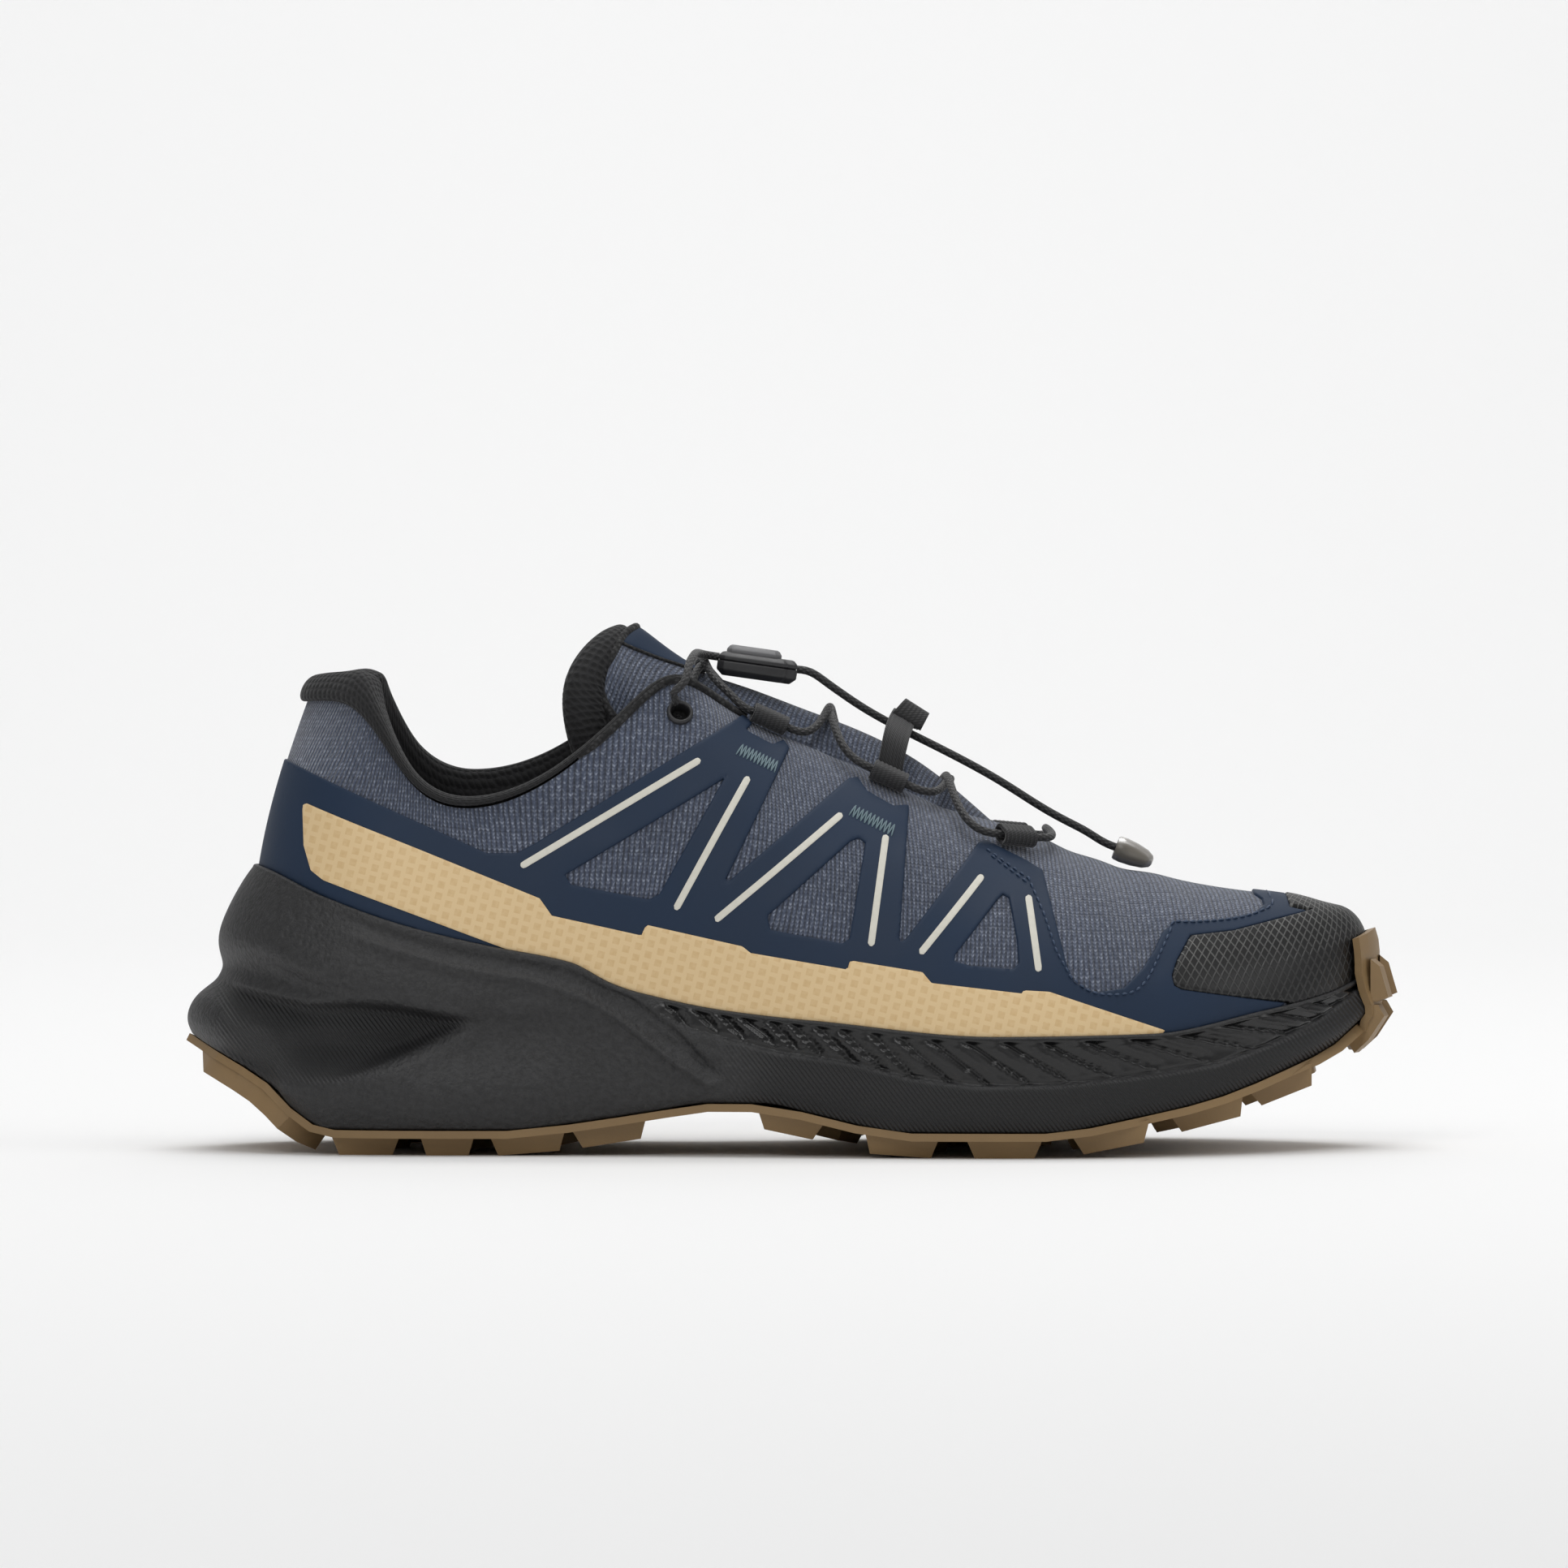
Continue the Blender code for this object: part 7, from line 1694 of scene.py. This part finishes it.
for name, side, solid in (("free_cord_outer", -1, "free_lace_1"), ("free_cord_inner", 1, "free_lace_2")):
    spread = side * (CORD / 2 + GAP)
    start, out = lock_face(1, spread, 0)
    rear = -PULL_LENGTH / 2
    end, back = tilted([[rear, spread, 0], [rear - 1, spread, 0]], PULL_TILT, PULL_PLACE)
    back = back - end
    share = np.linspace(0, 1, len(FREE_LACE))
    across = [start[1] + s * (end[1] - start[1]) for s in share]
    middle = [at(x, 0, z) + [0, y, 0] for (x, z), y in zip(FREE_LACE, across)]
    route = through([start + out * CORD_LEAD, *middle, end + back * CORD_LEAD], 0.0055)
    cord_piece(name, through([start, *route, end], 0.0012), solid)
for name, side, solid in (("riser_outer", 1, "lateral_riser"), ("riser_inner", -1, "medial_riser")):
    centre, normal, ahead = wall_spot(*EYELET_SPOT, side)
    up = np.cross(ahead, normal)
    up *= np.sign(up[2])
    start = centre + normal * (GAP + EYELET_RING) + up * (EYELET_RADIUS + EYELET_HOLE) / 2
    end, out = lock_face(-1, -side * RISER_SPREAD, 0.0004)
    route = [at(x, 0, z) + [0, end[1] + share * (start[1] - end[1]), 0] for x, share, z in RISER]
    leads = [start, start + normal * 0.0014, start + normal * 0.0024 + up * 0.0011]
    route = [*leads, *route, end + out * 0.0015, end]
    cord_piece(name, through(route, 0.0010), solid)


# Keeper band: a ribbed black elastic from beside the second outer loop up over the free cord, with its
# end folded to a flap that holds the cord down.
BAND_WIDTH = 0.0072
BAND_TAPE = 0.0016
BAND_PATH = [
    (174.8, -11.0, 99.8), (176.0, -4.5, 104.0), (177.0, 1.5, 105.9), (177.6, 7.5, 106.0),
    (178.0, 11.5, 104.8),
]
BAND_SIDES = 41
BAND_LEAN = math.radians(30)
elastic = ribbed_webbing("black ribbed elastic", 0.0010, "#070708", "#38383c")
centre, normal, along, climb = loop_frame(LOOP_SPOTS[1], 1)
foot = centre + climb * (LOOP_LENGTH / 2 + GAP) - normal * BAND_TAPE / 2
band_path = through([foot, *[at(*p) for p in BAND_PATH]], 0.0006)
ahead = unit(np.gradient(band_path, axis=0))
wide = np.tile([math.cos(BAND_LEAN), 0, -math.sin(BAND_LEAN)], (len(band_path), 1))
blend = np.clip(1 - np.arange(len(wide)) / 8, 0, 1)[:, None]
wide = unit(wide * (1 - blend) + along * blend)
up = unit(np.cross(wide, ahead))
up *= np.sign(up[:, 2:]) + (up[:, 2:] == 0)
turn = np.linspace(0, 2 * math.pi, BAND_SIDES)
oval = np.column_stack([np.cos(turn), np.sin(turn)])
oval = np.sign(oval) * np.abs(oval) ** 0.35
oval[:, 1] *= 1 + 0.10 * np.cos(oval[:, 0] * 3 * 2 * math.pi)
band_rings = band_path[:, None] + wide[:, None] * oval[None, :, :1] * BAND_WIDTH / 2 * 0.92
band_rings = drawn_in(band_rings + up[:, None] * (oval[None, :, 1:] * 0.42 + 0.5) * BAND_TAPE)
climbed = np.concatenate([[0], np.linspace(0, 0.03, len(band_path)), [0.03]])
lie = np.stack(np.broadcast_arrays((oval[:, 0] * BAND_WIDTH / 2)[None], climbed[:, None]), axis=-1)
band_faces = quads(len(band_rings), BAND_SIDES)
keeper = put_mesh("keeper_elastic", band_rings, band_faces, elastic, uv=lie, sharp=60)
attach(keeper, "root")
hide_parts("keeper_band")

# The band's folded end stands up in a flap: a flat sheet, bowed out on both faces.
FLAP_FOOT = [(174.3, -1.5, 107.3), (181.6, -1.5, 103.5)]
FLAP_TOP = [(178.0, 2.0, 111.3), (183.8, 2.0, 107.6)]
FLAP_THICK = 0.0011
foot_line = np.linspace(at(*FLAP_FOOT[0]), at(*FLAP_FOOT[1]), 17)[:, None]
head_line = np.linspace(at(*FLAP_TOP[0]), at(*FLAP_TOP[1]), 17)[:, None]
rise = np.linspace(0, 1, 11)[None, :, None]
flap = foot_line * (1 - rise) + head_line * rise
out = np.cross(flap[-1, 0] - flap[0, 0], flap[0, -1] - flap[0, 0])
out /= np.linalg.norm(out)
bow = np.sin(np.linspace(0, math.pi, 11))[None, :, None] ** 0.5 * FLAP_THICK
flap_skin = np.concatenate([flap - out * (bow + 0.0002), (flap + out * (bow + 0.0002))[:, ::-1]], axis=1)
flap_skin = drawn_in(closed_round(flap_skin))
lie = grid_lie(np.linspace(0, 0.008, 19), np.linspace(0, 0.012, 23))
flap_faces = quads(*flap_skin.shape[:2])
keeper_flap = put_mesh("keeper_flap", flap_skin, flap_faces, elastic, uv=lie, sharp=50)
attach(keeper_flap, "root")


# Bindings: a fuzzy black knit tape sewn over the throat's edge, from the collar to the first lace loop,
# and the rolled black mesh edge of the tongue, with a thin black cord beside its bare navy patch.
for name, side in (("throat_binding_outer", 1), ("throat_binding_inner", -1)):
    order = np.argsort(edge_rows * side)
    line, line_out = edge_top[order], edge_out[order]
    x = side_mm(line)[0]
    kept = (np.arange(len(line)) > len(line) // 2) & (x > 97) & (x < 139)
    path = line[kept] + line_out[kept] * 0.0001 + np.array([0, 0, 0.0004])
    path = through(path[::4], 0.0008)
    from_end = np.minimum(np.arange(len(path)), len(path) - 1 - np.arange(len(path)))
    radius = 0.00105 * np.sqrt(np.clip(from_end / 8, 0.1, 1))
    tape = rope_mesh(name, path, radius, lining, sides=14)
    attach(tape, "root")

# Columns: x, half width and z of the tongue's rolled edge, then its radius, in millimetres.
ROLL = np.array([
    (102.0, 17.5, 88.0, 1.6), (100.6, 17.2, 97.0, 4.4), (99.0, 16.8, 106.0, 5.4), (98.8, 15.2, 114.5, 5.2),
    (101.6, 12.0, 121.2, 4.4), (105.2, 6.5, 125.6, 3.3), (107.2, 0.0, 127.0, 2.7),
])
both = np.concatenate([ROLL * (1, -1, 1, 1), ROLL[-2::-1]])
both[:, 1] += 1000 * TONGUE_MIDDLE
places = at(*both[:, :3].T).T
chord = run_along(places)
spots = np.linspace(0, chord[-1], 110)
radius = natural(chord, both[:, 3:] / 1000, spots)[:, 0]
line = natural(chord, places, spots)
rolled = rope_mesh("tongue_roll", line, np.maximum(radius, 0.0005), collar_mesh, sides=28)
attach(rolled, "root")

# The patch covers rows 87 to 125 of the tongue's grid, and widens towards the top.
PATCH_ROWS = np.arange(87, 126)
PATCH_COLUMNS = np.linspace(-1, 1, 33)
PATCH_THICK = 0.00055
half = np.interp(PATCH_ROWS, [87, 100, 114, 125], [3.0, 7.5, 11.5, 14.0])
column = SPINE + half[:, None] * PATCH_COLUMNS[None]
low = np.floor(column).astype(int)
share = (column - low)[..., None]
pick = PATCH_ROWS[:, None]
patch = tongue_out[pick, low] * (1 - share) + tongue_out[pick, low + 1] * share
patch_up = tongue_up[pick, low]
edge = np.sqrt(np.clip((1 - np.abs(PATCH_COLUMNS)) * 12, 0, 1))[None, :, None]
from_end = np.minimum(PATCH_ROWS - PATCH_ROWS[0], PATCH_ROWS[-1] - PATCH_ROWS)
ends = np.sqrt(np.clip(from_end / 2, 0, 1))[:, None, None]
patch = patch + patch_up * (PATCH_THICK * edge * ends - 0.0001)
tongue_patch = put_mesh("tongue_patch", patch, quads(*patch.shape[:2], flip=flip_tongue), navy)
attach(tongue_patch, "root")
for name, side in (("patch_cord_outer", 0), ("patch_cord_inner", 32)):
    piping = rope_mesh(name, patch[:, side] + patch_up[:, side] * 0.0003, 0.00045, lining, sides=10)
    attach(piping, "root")
